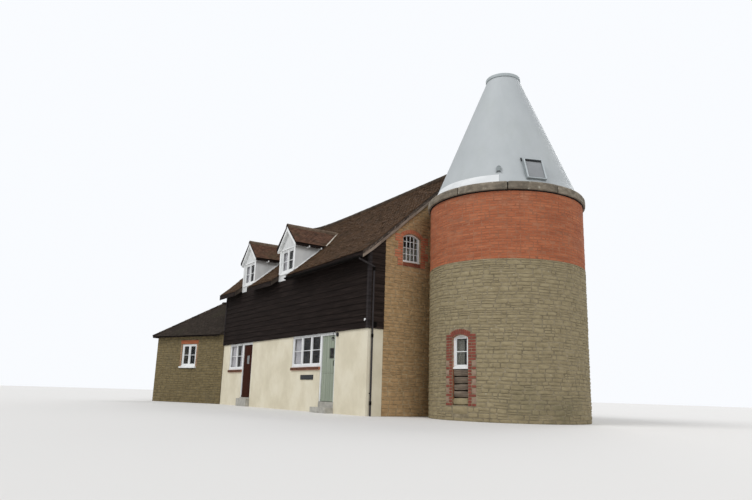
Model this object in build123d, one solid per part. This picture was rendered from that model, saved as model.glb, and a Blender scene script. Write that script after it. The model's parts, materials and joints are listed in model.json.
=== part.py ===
from build123d import *

import math
import os

os.makedirs("parts", exist_ok=True)

# An oast house: a round stone and brick kiln with a truncated cone roof, a long
# boarded stowage range on its left, and a low hipped wing at the range's far end.
# Millimetres, +Z up. The origin is on the kiln's axis at the lowest ground.
# +X runs along the range towards the kiln, and +Y runs into the building.

# Gaps
SEAT = 0.3

# Ground floor and storeys
FLOOR_Z = 330.0
BOARD_Z = 2430.0
UPPER_FLOOR_Z = 3600.0
UPPER_FLOOR_THICK = 200.0

# Kiln walls
KILN_R = 2200.0
STONE_THICK = 450.0
BRICK_THICK = 340.0
STONE_TOP_Z = 4130.0
COPING_Z = 5990.0
COPING_HEIGHT = 240.0
COPING_OVERHANG = 85.0
KILN_FLOOR_THICK = 160.0
COPING_STONES = 8

# Kiln cone
CONE_FOOT_INSIDE = 50.0
CONE_KICK_INSIDE = 192.0
CONE_KICK_RISE = 250.0
CONE_TOP_R = 472.0
CONE_HEIGHT = 4010.0
CONE_THICK = 60.0
CONE_LINING_SIDES = 24
CAP_BAND_HEIGHT = 70.0
CAP_BAND_THICK = 26.0
CAP_DISC_THICK = 30.0
APRON_START = -112.0
APRON_END = -49.0
APRON_RISE = 255.0
APRON_THICK = 12.0

# Rooflight in the cone
ROOFLIGHT_AZ = -21.5
ROOFLIGHT_RISE = 400.0
ROOFLIGHT_WIDTH = 560.0
ROOFLIGHT_LENGTH = 680.0
ROOFLIGHT_STAND = 95.0
ROOFLIGHT_RIM = 55.0
GLASS_THICK = 12.0

# Kiln window, and the blocked opening under it
KILN_WINDOW_AZ = -78.4
KILN_WINDOW_WIDTH = 510.0
KILN_WINDOW_SILL_Z = 1300.0
KILN_WINDOW_SPRING_Z = 2105.0
KILN_WINDOW_RISE = 75.0
KILN_WINDOW_SETBACK = 70.0
BLOCKED_FOOT_Z = 390.0
BLOCKED_COURSES = 5
BLOCKED_GAP = 22.0
BLOCKED_SETBACK = 60.0
BLOCKED_DEPTH = 170.0

# Doorway between kiln and range
INNER_DOOR_WIDTH = 900.0
INNER_DOOR_HEIGHT = 2000.0

# Range plan
GABLE_X = -1980.0
RANGE_LENGTH = 11220.0
RANGE_HALF = 3450.0
BOARD_PROUD = 20.0
RENDER_WALL = 300.0
BOARD_WALL = 150.0
GABLE_WALL = 450.0
RETURN_WIDTH = 520.0

# Range roof
KICK_INSIDE = 50.0
SPROCKET_DIP = 42.0
EAVES_OUT = 330.0
ROOF_DEPTH = 190.0
VERGE_OUT = 122.0
BARGE_THICK = 28.0
BARGE_DROP = 12.0
RIDGE_TOP_Z = 7850.0
RIDGE_TILE_RISE = 100.0
RIDGE_TILE_HALF = 130.0
RIDGE_LOW_X = -9000.0
NEAR_RISE = 100.0
FAR_RISE = 320.0
EAVES_Z = 4530.0
EAVES_NEAR_RISE = 63.0
ROOF_STATIONS = (-3600.0, -5400.0, -7200.0, -9000.0, -10400.0, -11500.0, -12300.0, -12900.0)

# Dormers
DORMER_X = (-7470.0, -10960.0)
DORMER_HALF = 620.0
DORMER_WALL = 110.0
DORMER_BASE_Z = 4500.0
DORMER_APEX_Z = 6520.0
DORMER_FOOT_Z = 5770.0
DORMER_ROOF_HALF = 790.0
DORMER_ROOF_DEPTH = 120.0
DORMER_VERGE = 75.0
DORMER_BACK = 1200.0
DORMER_HOLE_BACK = 2150.0
DORMER_WINDOW_HALF = 500.0
DORMER_WINDOW_Z = 4760.0
DORMER_WINDOW_TOP = 5630.0

# Gable window
GABLE_WINDOW_Y = -1960.0
GABLE_WINDOW_WIDTH = 650.0
GABLE_WINDOW_SILL_Z = 4490.0
GABLE_WINDOW_SPRING_Z = 5255.0
GABLE_WINDOW_RISE = 125.0
GABLE_WINDOW_SETBACK = 60.0

# Ground floor doors and windows
FRAME_SETBACK = 20.0
FRAME_DEPTH = 75.0
FRAME_WIDTH = 50.0
MULLION_WIDTH = 45.0
MULLION_DEPTH = 50.0
JAMB_WIDTH = 60.0
DOOR_HEAD_Z = 2338.0
GREEN_DOOR_X = -4640.0
GREEN_DOOR_WIDTH = 818.0
BROWN_DOOR_X = -11040.0
BROWN_DOOR_WIDTH = 850.0
NEAR_WINDOW_WIDTH = 1990.0
FAR_WINDOW_WIDTH = 1380.0
WINDOW_FOOT_Z = 1385.0
SILL_HEIGHT = 90.0
SILL_OUT = 45.0
REAR_WINDOW_X = (-5600.0, -10000.0)
REAR_WINDOW_WIDTH = 1990.0

# Door leaves and ironwork
LEAF_THICK = 45.0
LEAF_GAP = 5.0
LATCH_GAP = 8.0
STABLE_SPLIT_Z = 1187.0
PANE_WIDTH = 300.0
PANE_HEIGHT = 330.0
GREEN_PANE_Z = 1785.0
GREEN_PANE_LATCH = 235.0
BROWN_PANE_Z = 1760.0
BROWN_PANE_WIDTH = 200.0
STRAP_THICK = 5.0
STRAP_HEIGHT = 40.0
STRAP_LENGTH = 420.0
PIN_R = 7.0
PIN_FIT = 0.1
EYE_R = 13.0
PIN_OUT = 14.0
PLATE_WIDTH = 34.0
STRAP_INSET = 190.0
HANDLE_HEIGHT = 150.0
HANDLE_OUT = 45.0
HANDLE_R = 8.0
UPPER_HANDLE_RISE = 293.0
BROWN_HANDLE_RISE = 1000.0

# Low wing
WING_ANGLE = 23.4
WING_LENGTH = 4300.0
WING_DEPTH = 4000.0
WING_WALL = 350.0
WING_EAVES_Z = 2890.0
WING_PITCH = 0.77
WING_OVERHANG = 200.0
WING_ROOF_DEPTH = 150.0
WING_WINDOW_FAR = 2590.0
WING_WINDOW_WIDTH = 900.0
WING_WINDOW_Z = 1540.0
WING_WINDOW_HEIGHT = 970.0
WING_DOOR_Y = -1900.0

# Trim on the front
GUTTER_R = 55.0
GUTTER_WALL = 4.0
GUTTER_DROP = 90.0
GUTTER_BACK = 6.0
PIPE_R = 26.0
PIPE_OFF = 8.0
PIPE_INSIDE = 120.0
PIPE_HEAD_Z = 4190.0
CLIP_WIDTH = 50.0
CLIP_HEIGHT = 30.0
CLIP_Z = (600.0, 3900.0)
SIGN_WIDTH = 850.0
SIGN_HEIGHT = 145.0
SIGN_X = -5945.0
SIGN_Z = 993.0
SIGN_THICK = 18.0
LANTERN_X = -3700.0
LANTERN_Z = 2200.0
STEP_RISE = 165.0
STEP_GOING = 280.0
STEP_MARGIN = 60.0

# Values that follow from the sizes above
FAR_X = GABLE_X - RANGE_LENGTH
BOARD_FACE = RANGE_HALF + BOARD_PROUD
STONE_HALF = RANGE_HALF - RETURN_WIDTH
KICK_HALF = RANGE_HALF - KICK_INSIDE
EAVES_HALF = RANGE_HALF + EAVES_OUT
PIPE_Y = PIPE_INSIDE - RANGE_HALF
WALL_CUT_Z = RIDGE_TOP_Z + FAR_RISE + ROOF_DEPTH
SKY_Z = WALL_CUT_Z + ROOF_DEPTH
LOW_CUT_Z = UPPER_FLOOR_Z
CONE_Z = COPING_Z + COPING_HEIGHT
CONE_TOP_Z = CONE_Z + CONE_HEIGHT
COPING_R = KILN_R + COPING_OVERHANG
CONE_FOOT_R = KILN_R - CONE_FOOT_INSIDE
CONE_KICK_R = KILN_R - CONE_KICK_INSIDE
KILN_IN_R = KILN_R - STONE_THICK
BRICK_IN_R = KILN_R - BRICK_THICK
FRAME_Y = -RANGE_HALF + FRAME_SETBACK
LEAF_IN_Y = FRAME_Y + FRAME_DEPTH
INNER_DOOR_TOP = FLOOR_Z + INNER_DOOR_HEIGHT


def block(x0, x1, y0, y1, z0, z1):
    """A box from its low and high corners."""
    size = Box(x1 - x0, y1 - y0, z1 - z0, align=(Align.MIN, Align.MIN, Align.MIN))
    return Pos(x0, y0, z0) * size


def outline(points):
    """A closed face from a list of (x, y) points."""
    return make_face(Polyline(*points, close=True))


def along_x(points, x0, x1):
    """A prism of (y, z) points that runs from x0 to x1."""
    return extrude(Plane.YZ.offset(x0) * outline(points), amount=x1 - x0)


def along_y(points, y0, y1):
    """A prism of (x, z) points that runs from y0 to y1."""
    plane = Plane(origin=(0, y1, 0), x_dir=(1, 0, 0), z_dir=(0, -1, 0))
    return extrude(plane * outline(points), amount=y1 - y0)


def turned(points, start, end):
    """A solid of revolution of (radius, z) points between two azimuths."""
    face = Plane.XZ * outline(points)
    return Rot(0, 0, start) * revolve(face, Axis.Z, end - start)


def ring(r0, r1, z0, z1, start=0.0, end=360.0):
    """A ring, or a segment of one, with upright faces."""
    return turned([(r0, z0), (r1, z0), (r1, z1), (r0, z1)], start, end)


def parted(start, end, count):
    """Azimuth limits of equal segments between two azimuths."""
    step = (end - start) / count
    return [(start + k * step, start + (k + 1) * step) for k in range(count)]


def arch_outline(width, foot, spring, rise, grow=0.0):
    """A closed outline with upright sides and a segmental head, centred on 0."""
    half = width / 2 + grow
    top = spring + rise + grow
    sides = Polyline((half, spring), (half, foot - grow), (-half, foot - grow), (-half, spring))
    head = ThreePointArc((-half, spring), (0, top), (half, spring))
    return make_face(Curve() + [sides, head])


def arched(width, foot, spring, rise, depth, grow=0.0):
    """A segmental-headed block that faces -Y, from y = 0 to y = depth."""
    plane = Plane(origin=(0, depth, 0), x_dir=(1, 0, 0), z_dir=(0, -1, 0))
    return extrude(plane * arch_outline(width, foot, spring, rise, grow), amount=depth)


NODES = {}


def keep(name, *solids):
    """Records the solids of one named node."""
    NODES[name] = Compound(children=[s for part in solids for s in part.solids()])


# Kiln


def kiln_window_place():
    """The frame of the kiln window: x across the wall, y into it, on the outer face."""
    return Rot(0, 0, KILN_WINDOW_AZ + 90) * Pos(0, -KILN_R, 0)


def build_kiln_walls():
    """Stone and brick walls in segments, in two nodes each so that neighbours part."""
    door_half = math.degrees(math.asin(INNER_DOOR_WIDTH / 2 / KILN_R))
    window_start = KILN_WINDOW_AZ - 24
    window_end = KILN_WINDOW_AZ + 24
    left = parted(-180 + door_half, window_start, 2)
    right = parted(window_end, 180 - door_half, 5)
    hole = kiln_window_place() * Pos(0, -200, 0) * arched(
        KILN_WINDOW_WIDTH, BLOCKED_FOOT_Z, KILN_WINDOW_SPRING_Z, KILN_WINDOW_RISE, STONE_THICK + 500
    )
    half = INNER_DOOR_WIDTH / 2
    passage = block(-KILN_R - 50, -KILN_IN_R + 300, -half, half, 0, STONE_TOP_Z)
    stone = []
    for start, end in left + [(window_start, window_end)] + right:
        piece = ring(KILN_IN_R, KILN_R, 0, STONE_TOP_Z, start, end)
        stone.append(piece - hole if start == window_start else piece - passage)
    keep("kiln_stone_wall_odd", *stone[0::2])
    keep("kiln_stone_wall_even", *stone[1::2])
    head = ring(KILN_IN_R, KILN_R, INNER_DOOR_TOP, STONE_TOP_Z, 180 - door_half - 5, 180 + door_half + 5)
    head = head & passage
    keep("kiln_doorway_head", head)
    brick = [ring(BRICK_IN_R, KILN_R, STONE_TOP_Z, COPING_Z, a, b) for a, b in parted(-180, 180, 8)]
    keep("kiln_brick_wall_odd", *brick[0::2])
    keep("kiln_brick_wall_even", *brick[1::2])
    stones = []
    for start, end in parted(-131, 229, COPING_STONES):
        stones.append(ring(BRICK_IN_R, COPING_R, COPING_Z, CONE_Z, start, end))
    keep("kiln_coping_odd", *stones[0::2])
    keep("kiln_coping_even", *stones[1::2])


def cone_points(grow=0.0):
    """Radius and z of the cone's outer line, foot to top, grown sideways."""
    return [
        (CONE_FOOT_R + grow, CONE_Z),
        (CONE_KICK_R + grow, CONE_Z + CONE_KICK_RISE),
        (CONE_TOP_R + grow, CONE_TOP_Z),
    ]


def cone_radius(z):
    """Outer radius of the straight part of the cone at a height."""
    share = (z - CONE_Z - CONE_KICK_RISE) / (CONE_HEIGHT - CONE_KICK_RISE)
    return CONE_KICK_R + share * (CONE_TOP_R - CONE_KICK_R)


def cone_lean():
    """The straight part's lean from upright, in radians."""
    return math.atan2(CONE_KICK_R - CONE_TOP_R, CONE_HEIGHT - CONE_KICK_RISE)


def rooflight_place():
    """The rooflight's plane on the cone: x across, y up the slope, z outwards."""
    z = CONE_Z + ROOFLIGHT_RISE
    radius = cone_radius(z)
    az = math.radians(ROOFLIGHT_AZ)
    lean = cone_lean()
    out = (math.cos(az) * math.cos(lean), math.sin(az) * math.cos(lean), math.sin(lean))
    across = (-math.sin(az), math.cos(az), 0)
    return Plane(
        origin=(radius * math.cos(az), radius * math.sin(az), z), x_dir=across, z_dir=out
    ).location


def build_cone():
    """The cone's shell, its cap, the apron flashing and the rooflight."""
    lining_r = (cone_radius(CONE_Z) - CONE_THICK) / math.cos(math.pi / CONE_LINING_SIDES)
    lining = extrude(
        Plane.XY.offset(CONE_Z) * RegularPolygon(lining_r, CONE_LINING_SIDES),
        amount=CONE_HEIGHT,
        taper=math.degrees(cone_lean()),
    )
    shell = turned([(0, CONE_Z)] + cone_points() + [(0, CONE_TOP_Z)], 0, 360) - lining
    full = turned([(0, CONE_Z)] + cone_points(SEAT) + [(0, CONE_TOP_Z)], 0, 360)
    place = rooflight_place()
    clear_width = ROOFLIGHT_WIDTH - 2 * ROOFLIGHT_RIM
    clear_length = ROOFLIGHT_LENGTH - 2 * ROOFLIGHT_RIM
    hole = place * Box(clear_width, clear_length, 900)
    keep("kiln_cone", shell - hole)
    upstand = place * Pos(0, 0, ROOFLIGHT_STAND / 2 - 100) * Box(
        ROOFLIGHT_WIDTH, ROOFLIGHT_LENGTH, ROOFLIGHT_STAND + 200
    )
    glass_z = ROOFLIGHT_STAND - 30
    rebate = place * Pos(0, 0, glass_z + 100) * Box(clear_width + 30, clear_length + 30, 200)
    keep("rooflight_frame", upstand - hole - full - rebate)
    pane = Box(clear_width + 30 - 2 * SEAT, clear_length + 30 - 2 * SEAT, GLASS_THICK)
    keep("rooflight_glass", place * Pos(0, 0, glass_z + GLASS_THICK / 2) * pane)
    foot = CONE_TOP_Z - CAP_BAND_HEIGHT
    foot_r = cone_radius(foot) + SEAT
    top = CONE_TOP_Z + CAP_DISC_THICK
    cap = ring(foot_r, foot_r + CAP_BAND_THICK, foot, CONE_TOP_Z + SEAT)
    cap += ring(0, foot_r + CAP_BAND_THICK, CONE_TOP_Z + SEAT, top)
    keep("kiln_cone_cap", cap)
    kick = (CONE_KICK_R + SEAT, CONE_Z + CONE_KICK_RISE)
    top = (cone_radius(CONE_Z + APRON_RISE) + SEAT, CONE_Z + APRON_RISE)
    apron = [(CONE_FOOT_R + SEAT, CONE_Z), kick, top]
    apron += [(r + APRON_THICK, z) for r, z in reversed(apron)]
    keep("cone_apron", turned(apron, APRON_START, APRON_END))


def framed(place, width, foot, spring, rise, glass_list):
    """An arched window: returns its frame and adds its glass to a list."""
    outer = arched(width - 2 * SEAT, foot + SEAT, spring, rise - SEAT, FRAME_DEPTH)
    inside = arched(width - 2 * FRAME_WIDTH, foot + FRAME_WIDTH, spring, rise - FRAME_WIDTH, FRAME_DEPTH)
    glass = arched(
        width - 2 * FRAME_WIDTH, foot + FRAME_WIDTH, spring, rise - FRAME_WIDTH, GLASS_THICK, -SEAT
    )
    glass_list.append(place * Pos(0, MULLION_DEPTH + SEAT, 0) * glass)
    return place * (outer - inside)


def square_window(x0, width, foot, top, lights, place, glass_list):
    """A square-headed window of upright lights: outer face at y = 0, facing -Y."""
    frame = block(x0 + SEAT, x0 + width - SEAT, 0, FRAME_DEPTH, foot + SEAT, top - SEAT)
    clear = block(
        x0 + FRAME_WIDTH, x0 + width - FRAME_WIDTH, -1, FRAME_DEPTH + 1, foot + FRAME_WIDTH, top - FRAME_WIDTH
    )
    frame -= clear
    pitch = (width - FRAME_WIDTH) / lights
    for k in range(1, lights):
        x = x0 + FRAME_WIDTH / 2 + k * pitch
        half = MULLION_WIDTH / 2
        frame += block(x - half, x + half, 0, MULLION_DEPTH, foot + FRAME_WIDTH, top - FRAME_WIDTH)
    glass_list.append(
        place
        * block(
            x0 + FRAME_WIDTH + SEAT,
            x0 + width - FRAME_WIDTH - SEAT,
            MULLION_DEPTH + SEAT,
            MULLION_DEPTH + SEAT + GLASS_THICK,
            foot + FRAME_WIDTH + SEAT,
            top - FRAME_WIDTH - SEAT,
        )
    )
    return place * frame


def build_kiln_window(glass_list):
    """The kiln's arched window and the blocked opening under it."""
    place = kiln_window_place() * Pos(0, KILN_WINDOW_SETBACK, 0)
    window = framed(
        place, KILN_WINDOW_WIDTH, KILN_WINDOW_SILL_Z, KILN_WINDOW_SPRING_Z, KILN_WINDOW_RISE, glass_list
    )
    keep("kiln_window_frame", window)
    half = KILN_WINDOW_WIDTH / 2 - SEAT
    place = kiln_window_place() * Pos(0, BLOCKED_SETBACK, 0)
    filling = block(-half, half, 50, BLOCKED_DEPTH, BLOCKED_FOOT_Z + SEAT, KILN_WINDOW_SILL_Z)
    pitch = (KILN_WINDOW_SILL_Z - BLOCKED_FOOT_Z) / BLOCKED_COURSES
    for k in range(BLOCKED_COURSES):
        foot = BLOCKED_FOOT_Z + SEAT + k * pitch
        filling += block(-half, half, 0, 50, foot, foot + pitch - BLOCKED_GAP)
    keep("kiln_blocked_opening", place * filling)


# Range


def ridge_top(x):
    """Height of the sagging ridge along the range."""
    if x > RIDGE_LOW_X:
        return RIDGE_TOP_Z + NEAR_RISE * ((x - RIDGE_LOW_X) / (GABLE_X - RIDGE_LOW_X)) ** 1.3
    return RIDGE_TOP_Z + FAR_RISE * ((RIDGE_LOW_X - x) / (RIDGE_LOW_X - FAR_X)) ** 4


def eaves_top(x):
    """Height of the tiles' lower edge along the range."""
    if x > RIDGE_LOW_X:
        return EAVES_Z + EAVES_NEAR_RISE * ((x - RIDGE_LOW_X) / (GABLE_X - RIDGE_LOW_X)) ** 2
    return EAVES_Z


def kick_top(x):
    """Height of the tiles where the slope eases towards the eaves."""
    apex = ridge_top(x) - RIDGE_TILE_RISE
    return apex + (eaves_top(x) - apex) * KICK_HALF / EAVES_HALF - SPROCKET_DIP


def slope_line(x, side, lift):
    """(y, z) points of a roof slope from the ridge to the eaves, lifted by an amount."""
    apex = ridge_top(x) - RIDGE_TILE_RISE + lift
    return [(0.0, apex), (side * KICK_HALF, kick_top(x) + lift), (side * EAVES_HALF, eaves_top(x) + lift)]


def stations(x0, x1):
    """Places along the range where the roof's section is set, the verges among them."""
    inner = [GABLE_X + VERGE_OUT, *ROOF_STATIONS, FAR_X - VERGE_OUT]
    return [x0] + [x for x in inner if x1 < x < x0] + [x1]


def lofted(section, x0, x1):
    """A ruled solid through the section(x) outlines from x0 to x1."""
    return loft([Plane.YZ.offset(x) * outline(section(x)) for x in stations(x0, x1)], ruled=True)


def roof_slab(side, x0, x1, top=0.0, depth=ROOF_DEPTH):
    """One roof slope between two places, from top down by a depth."""
    return lofted(
        lambda x: slope_line(x, side, top) + list(reversed(slope_line(x, side, top - depth))), x0, x1
    )


def above_roof_underside(x0, x1):
    """The space above the underside of both slopes, to cut walls with."""

    def section(x):
        lift = -ROOF_DEPTH - SEAT
        front = list(reversed(slope_line(x, -1, lift)))
        back = slope_line(x, 1, lift)[1:]
        return front + back + [(EAVES_HALF, SKY_Z), (-EAVES_HALF, SKY_Z)]

    return lofted(section, x0, x1)


def below_front_tiles(x0, x1):
    """The space below the tiles of the front slope, to cut dormers with."""

    def section(x):
        line = slope_line(x, -1, SEAT)
        return line + [(-EAVES_HALF, LOW_CUT_Z), (0.0, LOW_CUT_Z)]

    return lofted(section, x0, x1)


def build_dormers(glass_list, frame_list):
    """Two gabled half-dormers that rise from the front wall through the eaves."""
    below = below_front_tiles(GABLE_X + VERGE_OUT, FAR_X - VERGE_OUT)
    front_y = -BOARD_FACE
    inner_y = front_y + DORMER_WALL
    fronts = []
    cheeks = []
    left = []
    right = []
    under = DORMER_ROOF_DEPTH + SEAT
    slope = (DORMER_APEX_Z - DORMER_FOOT_Z) / DORMER_ROOF_HALF
    for x in DORMER_X:
        eaves_z = DORMER_APEX_Z - slope * DORMER_HALF - under
        face = [
            (x - DORMER_HALF, DORMER_BASE_Z + SEAT),
            (x + DORMER_HALF, DORMER_BASE_Z + SEAT),
            (x + DORMER_HALF, eaves_z),
            (x, DORMER_APEX_Z - under),
            (x - DORMER_HALF, eaves_z),
        ]
        hole = block(
            x - DORMER_WINDOW_HALF,
            x + DORMER_WINDOW_HALF,
            front_y - 1,
            inner_y + 1,
            DORMER_WINDOW_Z,
            DORMER_WINDOW_TOP,
        )
        fronts.append(along_y(face, front_y, inner_y) - hole)
        place = Pos(x, front_y + FRAME_SETBACK, 0)
        frame_list.append(
            square_window(
                -DORMER_WINDOW_HALF,
                2 * DORMER_WINDOW_HALF,
                DORMER_WINDOW_Z,
                DORMER_WINDOW_TOP,
                2,
                place,
                glass_list,
            )
        )
        for side in (-1, 1):
            outer = side * DORMER_HALF
            inner = side * (DORMER_HALF - DORMER_WALL)
            top_outer = DORMER_APEX_Z - slope * abs(outer) - under
            top_inner = DORMER_APEX_Z - slope * abs(inner) - under
            cheek = [
                (x + outer, LOW_CUT_Z),
                (x + inner, LOW_CUT_Z),
                (x + inner, top_inner),
                (x + outer, top_outer),
            ]
            cheeks.append(along_y(cheek, inner_y + SEAT, -DORMER_BACK) - below)
            foot = (x + side * DORMER_ROOF_HALF, DORMER_FOOT_Z)
            line = [(x + side * SEAT / 2, DORMER_APEX_Z), foot]
            line += [(px, pz - DORMER_ROOF_DEPTH) for px, pz in reversed(line)]
            slab = along_y(line, front_y - DORMER_VERGE, -DORMER_BACK) - below
            (right if side > 0 else left).append(slab)
    keep("dormer_fronts", *fronts)
    keep("dormer_cheeks", *cheeks)
    keep("dormer_left_slopes", *left)
    keep("dormer_right_slopes", *right)


def build_range_roof():
    """The two slopes, cut for the dormers, with ridge tiles and bargeboards."""
    near = GABLE_X + VERGE_OUT
    far = FAR_X - VERGE_OUT
    front = roof_slab(-1, near, far)
    inner_y = -BOARD_FACE + DORMER_WALL
    for x in DORMER_X:
        half = DORMER_HALF + SEAT
        front -= block(x - half, x + half, -EAVES_HALF - 10, inner_y + SEAT, LOW_CUT_Z, SKY_Z)
        half = DORMER_HALF - DORMER_WALL
        front -= block(x - half, x + half, inner_y, -DORMER_HOLE_BACK, LOW_CUT_Z, SKY_Z)
    keep("roof_front_slope", front)
    keep("roof_rear_slope", roof_slab(1, near, far))

    def ridge(x):
        top = ridge_top(x)
        apex = top - RIDGE_TILE_RISE + SEAT
        foot = apex - (apex - SEAT - kick_top(x)) * RIDGE_TILE_HALF / KICK_HALF
        half = RIDGE_TILE_HALF
        return [
            (0, apex),
            (half, foot),
            (half, foot + 35),
            (half * 0.62, top - 45),
            (half * 0.3, top - 10),
            (0, top),
            (-half * 0.3, top - 10),
            (-half * 0.62, top - 45),
            (-half, foot + 35),
            (-half, foot),
        ]

    keep("ridge_tiles", lofted(ridge, near + BARGE_THICK, far - BARGE_THICK))

    def barge(x0, x1):
        front_board = roof_slab(-1, x0, x1, -BARGE_DROP)
        return front_board + roof_slab(1, x0, x1, -BARGE_DROP)

    keep(
        "bargeboards",
        barge(near + BARGE_THICK, near + SEAT),
        barge(far - SEAT, far - BARGE_THICK),
    )


def build_range_walls():
    """Rendered ground floor, boarded upper storey and stone gables."""
    wall_in = -RANGE_HALF + RENDER_WALL
    green = (GREEN_DOOR_X - JAMB_WIDTH, GREEN_DOOR_X + GREEN_DOOR_WIDTH + JAMB_WIDTH)
    brown = (BROWN_DOOR_X - JAMB_WIDTH, BROWN_DOOR_X + BROWN_DOOR_WIDTH + JAMB_WIDTH)
    near_window = (green[0] - NEAR_WINDOW_WIDTH, green[0])
    far_window = (brown[0] - FAR_WINDOW_WIDTH, brown[0])
    sill_z = WINDOW_FOOT_Z - SILL_HEIGHT

    def corner(x0, x1, side):
        y0, y1 = sorted((side * -wall_in, side * STONE_HALF + side * SEAT))
        return block(x0, x1, y0, y1, 0, BOARD_Z)

    near_return = (GABLE_X - GABLE_WALL, GABLE_X)
    far_return = (FAR_X, FAR_X + GABLE_WALL)
    near_pier = block(green[1], GABLE_X, -RANGE_HALF, wall_in, 0, BOARD_Z) + corner(*near_return, -1)
    middle = block(brown[1], near_window[0], -RANGE_HALF, wall_in, 0, BOARD_Z)
    far_pier = block(FAR_X, far_window[0], -RANGE_HALF, wall_in, 0, BOARD_Z) + corner(*far_return, -1)
    keep("front_wall_piers", near_pier, middle, far_pier)
    rear_half = REAR_WINDOW_WIDTH / 2
    rear = [(x - rear_half, x + rear_half) for x in REAR_WINDOW_X]
    rear_near = block(rear[0][1], GABLE_X, -wall_in, RANGE_HALF, 0, BOARD_Z) + corner(*near_return, 1)
    rear_middle = block(rear[1][1], rear[0][0], -wall_in, RANGE_HALF, 0, BOARD_Z)
    rear_far = block(FAR_X, rear[1][0], -wall_in, RANGE_HALF, 0, BOARD_Z) + corner(*far_return, 1)
    keep("rear_wall_piers", rear_near, rear_middle, rear_far)
    aprons = []
    sills = []
    for x0, x1 in (near_window, far_window):
        aprons.append(block(x0 + SEAT, x1 - SEAT, -RANGE_HALF, wall_in, 0, sill_z))
        sills.append(block(x0 + SEAT, x1 - SEAT, -RANGE_HALF - SILL_OUT, wall_in, sill_z, WINDOW_FOOT_Z))
    for x0, x1 in rear:
        aprons.append(block(x0 + SEAT, x1 - SEAT, -wall_in, RANGE_HALF, 0, sill_z))
        sills.append(block(x0 + SEAT, x1 - SEAT, -wall_in, RANGE_HALF + SILL_OUT, sill_z, WINDOW_FOOT_Z))
    keep("window_aprons", *aprons)
    keep("window_sills", *sills)

    cut = above_roof_underside(GABLE_X + VERGE_OUT, FAR_X - VERGE_OUT)

    def boarded(side):
        out = side * BOARD_FACE
        inn = side * (BOARD_FACE - BOARD_WALL)
        y0, y1 = sorted((out, inn))
        wall = block(FAR_X - BOARD_PROUD, GABLE_X + BOARD_PROUD, y0, y1, BOARD_Z, WALL_CUT_Z)
        y0, y1 = sorted((inn, side * (STONE_HALF + SEAT)))
        near = block(GABLE_X + BOARD_PROUD - BOARD_WALL, GABLE_X + BOARD_PROUD, y0, y1, BOARD_Z, WALL_CUT_Z)
        far = block(FAR_X - BOARD_PROUD, FAR_X - BOARD_PROUD + BOARD_WALL, y0, y1, BOARD_Z, WALL_CUT_Z)
        return wall + near + far - cut

    front = boarded(-1)
    for x in DORMER_X:
        half = DORMER_HALF + SEAT
        inn = -BOARD_FACE + BOARD_WALL
        front -= block(x - half, x + half, -BOARD_FACE - 10, inn + 10, DORMER_BASE_Z, SKY_Z)
    keep("front_boarded_wall", front)
    keep("rear_boarded_wall", boarded(1))

    envelope = ring(0, KILN_R + SEAT, -10, COPING_Z)
    envelope += ring(0, COPING_R + SEAT, COPING_Z - SEAT, CONE_Z + SEAT)
    envelope += turned([(0, CONE_Z)] + cone_points(2) + [(0, CONE_TOP_Z)], 0, 360)
    half = INNER_DOOR_WIDTH / 2
    near_x = (GABLE_X - GABLE_WALL, GABLE_X)
    far_x = (FAR_X, FAR_X + GABLE_WALL)
    opening = arched(
        GABLE_WINDOW_WIDTH, GABLE_WINDOW_SILL_Z, GABLE_WINDOW_SPRING_Z, GABLE_WINDOW_RISE, GABLE_WALL + 200
    )
    hole = Pos(GABLE_X + 100, GABLE_WINDOW_Y, 0) * Rot(0, 0, 90) * opening
    near_front = block(*near_x, -STONE_HALF, -half, 0, WALL_CUT_Z) - cut - envelope - hole
    near_rear = block(*near_x, half, STONE_HALF, 0, WALL_CUT_Z) - cut - envelope
    keep("near_gable_wall", near_front, near_rear)
    wing_door = (WING_DOOR_Y, WING_DOOR_Y + INNER_DOOR_WIDTH)
    far_front = block(*far_x, -STONE_HALF, wing_door[0], 0, WALL_CUT_Z) - cut
    far_rear = block(*far_x, wing_door[1], STONE_HALF, 0, WALL_CUT_Z) - cut
    keep("far_gable_wall", far_front, far_rear)
    near_head = block(*near_x, -half + SEAT, half - SEAT, INNER_DOOR_TOP, WALL_CUT_Z) - cut - envelope
    far_head = block(*far_x, wing_door[0] + SEAT, wing_door[1] - SEAT, INNER_DOOR_TOP, WALL_CUT_Z) - cut
    keep("gable_doorway_heads", near_head, far_head)


def build_gable_window(glass_list, frame_list):
    """The arched window in the near gable."""
    place = Pos(GABLE_X - GABLE_WINDOW_SETBACK, GABLE_WINDOW_Y, 0) * Rot(0, 0, 90)
    window = framed(
        place,
        GABLE_WINDOW_WIDTH,
        GABLE_WINDOW_SILL_Z,
        GABLE_WINDOW_SPRING_Z,
        GABLE_WINDOW_RISE,
        glass_list,
    )
    frame_list.append(window)


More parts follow.
